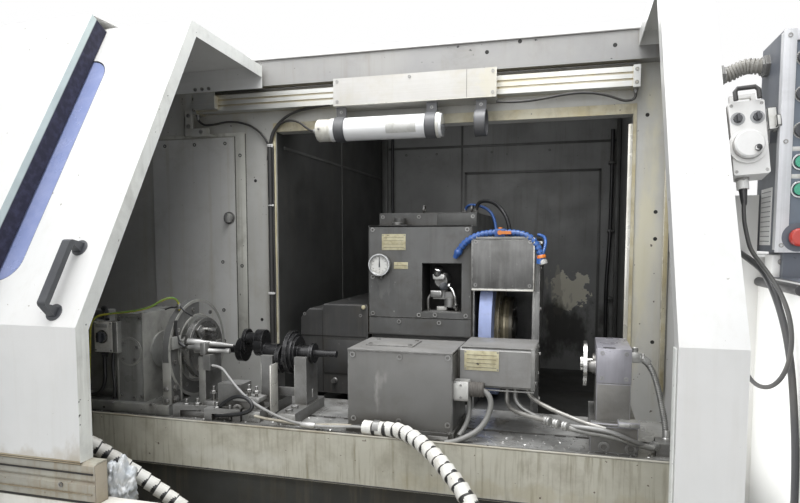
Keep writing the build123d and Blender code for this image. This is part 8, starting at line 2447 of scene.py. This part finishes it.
    def service(self) -> None:
        """Connection box with glands and its conduit at the back of the right-hand side."""
        x = self.right_x
        part = Piece(self.palette)
        part.box((x, x + 44), (560, 690), (980, 1080), "shell_paint", 4)
        part.box((x + 44, x + 47), (564, 686), (984, 1076), "beam_grey", 1)
        for y in (590.0, 625.0, 660.0):
            part.lathe((x + 22, y, 981), DOWN, turned(12, (8, 12), (10, 9), (20, 8)), "dull_metal", 6)
            part.hose([(x + 22, y, 964), (x + 22, y, 900), (x + 20, y, 700), (x + 18, y, 420), (x + 18, y, 180)], 6.5,
                      "coil_black", 12)
        for z in (820.0, 520.0, 240.0):
            part.box((x, x + 30), (574, 676), (z, z + 14), "dull_metal", 1.5)
        part.done("service_box", Body.FRAME)


@dataclass
class Cords:
    """The three loose cables: the wrapped bundle to the table, the signal lead and the handwheel's lead."""

    palette: Palette
    bands: Repeat
    bundle_diameter: float = 40.0
    lead_diameter: float = 9.0
    bundle_route: list[Point] = field(default_factory=lambda: [
        (192, -896, 906), (240, -896, 906), (290, -912, 911), (345, -950, 904), (399, -1000, 890),
        (450, -1055, 868), (505, -1112, 838), (552, -1150, 792), (572, -1166, 735), (566, -1166, 676),
        (538, -1160, 622), (492, -1152, 580), (435, -1144, 550), (372, -1136, 530), (305, -1128, 519),
        (235, -1120, 514), (160, -1112, 515), (82, -1104, 522), (2, -1096, 535), (-80, -1088, 554),
        (-160, -1080, 582), (-240, -1070, 620), (-318, -1058, 668), (-392, -1066, 720), (-460, -1082, 768),
        (-524, -1100, 818), (-584, -1122, 864), (-644, -1138, 900), (-702, -1138, 900)])
    signal_route: list[Point] = field(default_factory=lambda: [
        (192, -896, 906), (150, -896, 906), (102, -898, 902), (52, -900, 899), (2, -900, 900),
        (-46, -898, 904), (-90, -892, 912), (-134, -884, 924), (-178, -872, 938), (-224, -857, 955),
        (-268, -842, 982), (-306, -830, 1014), (-340, -818, 1044), (-372, -818, 1044)])
    handwheel_route: list[Point] = field(default_factory=lambda: [
        (1126.8, -1001.9, 1566.8), (1128.6, -1006.4, 1541.2),
        (1127, -1016, 1514), (1126, -1032, 1488), (1127, -1052, 1462),
        (1130, -1072, 1432), (1137, -1112, 1408), (1145, -1154, 1384), (1153, -1196, 1356), (1160, -1230, 1322),
        (1164, -1250, 1284), (1164, -1256, 1244), (1160, -1250, 1206), (1152, -1234, 1176), (1142, -1212, 1158),
        (1132, -1186, 1152), (1124, -1158, 1156), (1119, -1130, 1168), (1116, -1100, 1186), (1115, -1066, 1200),
        (1115, -1030, 1206), (1115, -988, 1209), (1115, -944, 1206), (1115, -900, 1206)])

    def build(self) -> None:
        self.bundle()
        self.lead("signal_lead", self.signal_route, Body.TABLE, "signal_cable", "grey_rubber", 0.611)
        self.lead("handwheel_lead", self.handwheel_route, Body.FRAME, "handwheel_cable", "black_rubber", 0.861)

    def bundle(self) -> None:
        """The cable bundle in its spiral wrap, bending between the rail's post and the table."""
        line = route(self.bundle_route)
        core = Piece(self.palette)
        core.tube(line, self.bundle_diameter / 2, "coil_black", 20)
        tube = core.done("trailing_bundle", Body.TABLE, ride=False)
        wrap = self.bands.grow("trailing_wrap", line_field(line), {
            "Pitch": 0.0335, "Band Radius": 0.0216, "Band Width": 0.0305, "Lean": 0.16, "Unevenness": 0.05,
            "Seed": 5, "Finish": self.palette.get("pale_wrap")}, Body.TABLE, "pale_wrap", ride=False)
        for obj in (tube, wrap):
            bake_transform(obj)
        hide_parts("trailing_cable")

    def lead(self, name: str, points: list[Point], body: Body, node: str, finish: str, length: float) -> None:
        """One thin cable.

        Args:
            name: The piece's name.
            points: Its route in millimetres.
            body: The body it rides on.
            node: The CAD node it stands for.
            finish: Its finish and slot.
            length: Its real length in metres; not used.
        """
        line = route(points)
        piece = Piece(self.palette)
        piece.tube(line, self.lead_diameter / 2, finish, 12)
        obj = piece.done(name, body)
        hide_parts(node)


@dataclass(frozen=True)
class Light:
    """One soft rectangular light: place, target and size in metres, power in watts, beam in degrees."""

    name: str
    place: Point
    target: Point
    size: tuple[float, float]
    power: float
    spread: float = 180.0

    def build(self) -> None:
        """Adds the light to the scene."""
        data = bpy.data.lights.new(self.name, "AREA")
        data.shape = "RECTANGLE"
        data.size, data.size_y = self.size
        data.energy = self.power
        data.spread = math.radians(self.spread)
        obj = bpy.data.objects.new(self.name, data)
        obj.location = self.place
        obj.rotation_euler = (Vector(self.target) - Vector(self.place)).to_track_quat("-Z", "Y").to_euler()
        bpy.context.scene.collection.objects.link(obj)


LIGHTS = (
    Light("over_light", (-0.2, -3.2, 4.6), (0.0, -0.6, 1.0), (5.5, 3.5), 128.0),
    Light("top_light", (0.2, -0.85, 3.3), (0.15, -0.5, 1.0), (1.7, 0.9), 17.0, 95.0),
    Light("front_light", (0.4, -6.5, 2.4), (0.0, 0.0, 1.2), (5.0, 2.6), 62.0),
    Light("cabinet_fill", (1.1, -1.03, 1.13), (1.192, -1.03, 1.13), (1.1, 0.5), 2.4),
    Light("inner_fill", (0.28, 0.05, 2.08), (0.35, 1.357, 1.1), (1.2, 0.25), 2.3),
    Light("right_light", (6.2, 0.8, 3.4), (1.0, 0.0, 1.0), (5.0, 3.0), 105.0),
    Light("back_light", (-1.5, 4.6, 4.2), (0.0, 0.0, 1.0), (5.0, 3.0), 120.0),
)


@dataclass
class Studio:
    """Pale floor, soft lights, white surroundings and the camera at the photograph's place."""

    floor_size: float = 30.0
    floor_colour: Colour = (0.74, 0.74, 0.73)
    floor_roughness: float = 0.7
    sky_colour: Colour = (0.95, 0.97, 1.0)
    sky_strength: float = 0.28
    image_width: int = 800
    image_height: int = 503
    focal_pixels: float = 627.0
    sensor_width: float = 36.0
    principal_row: float = 288.0
    camera_place: Point = (0.762, -2.6, 1.45)
    camera_yaw: float = 15.6
    camera_pitch: float = 4.3

    def build(self) -> None:
        """Makes the floor, world, lights and camera."""
        self.floor()
        self.world()
        for light in LIGHTS:
            light.build()
        self.camera()

    def floor(self) -> None:
        """A plain pale floor that isn't part of the machine."""
        half = self.floor_size / 2
        data = bpy.data.meshes.new("floor")
        data.from_pydata([(-half, -half, 0), (half, -half, 0), (half, half, 0), (-half, half, 0)], [], [(0, 1, 2, 3)])
        obj = bpy.data.objects.new("floor", data)
        bpy.context.scene.collection.objects.link(obj)
        data.materials.append(NodeGraph("floor_surface").finished(self.floor_colour, self.floor_roughness))

    def world(self) -> None:
        """Soft surroundings that the camera and reflections see as white."""
        world = bpy.data.worlds.new("surroundings")
        bpy.context.scene.world = world
        world.use_nodes = True
        tree = world.node_tree
        tree.nodes.clear()
        output = tree.nodes.new("ShaderNodeOutputWorld")
        soft = tree.nodes.new("ShaderNodeBackground")
        soft.inputs["Color"].default_value = (*self.sky_colour, 1.0)
        soft.inputs["Strength"].default_value = self.sky_strength
        white = tree.nodes.new("ShaderNodeBackground")
        white.inputs["Color"].default_value = (1.0, 1.0, 1.0, 1.0)
        rays = tree.nodes.new("ShaderNodeLightPath")
        either = tree.nodes.new("ShaderNodeMath")
        either.operation = "MAXIMUM"
        tree.links.new(rays.outputs["Is Camera Ray"], either.inputs[0])
        through = tree.nodes.new("ShaderNodeMath")
        through.operation = "MAXIMUM"
        tree.links.new(rays.outputs["Is Glossy Ray"], through.inputs[0])
        tree.links.new(rays.outputs["Is Transmission Ray"], through.inputs[1])
        tree.links.new(through.outputs[0], either.inputs[1])
        mix = tree.nodes.new("ShaderNodeMixShader")
        tree.links.new(either.outputs[0], mix.inputs[0])
        tree.links.new(soft.outputs[0], mix.inputs[1])
        tree.links.new(white.outputs[0], mix.inputs[2])
        tree.links.new(mix.outputs[0], output.inputs["Surface"])

    def camera(self) -> None:
        """The camera, with the photograph's frame and principal point."""
        data = bpy.data.cameras.new("camera")
        data.sensor_width = self.sensor_width
        data.sensor_fit = "HORIZONTAL"
        data.lens = self.focal_pixels / self.image_width * self.sensor_width
        data.shift_y = (self.principal_row - self.image_height / 2) / self.image_width
        data.clip_end = 60.0
        obj = bpy.data.objects.new("camera", data)
        obj.location = self.camera_place
        obj.rotation_euler = (math.radians(90.0 - self.camera_pitch), 0.0, math.radians(self.camera_yaw))
        bpy.context.scene.collection.objects.link(obj)
        bpy.context.scene.camera = obj


def main() -> None:
    """Builds the machine's pieces in order and reports each one."""
    logging.basicConfig(level=logging.INFO, format="%(name)s: %(message)s")
    bpy.context.scene.view_settings.view_transform = "Standard"
    palette = Palette(FINISHES)
    Studio().build()
    trees = Trees(fastener_tree(), band_tree(), slat_tree(), dial_tree())
    Cords(palette, trees.bands).build()
    dress_cad(palette)
    for dress in (EnclosureDress, DoorDress, CompartmentDress, WheelheadDress, TableDress, OperatorDress,
                  OutsideDress):
        log.info("dressing: %s", dress.__name__)
        dress(palette, trees).build()


if __name__ == "__main__":
    main()
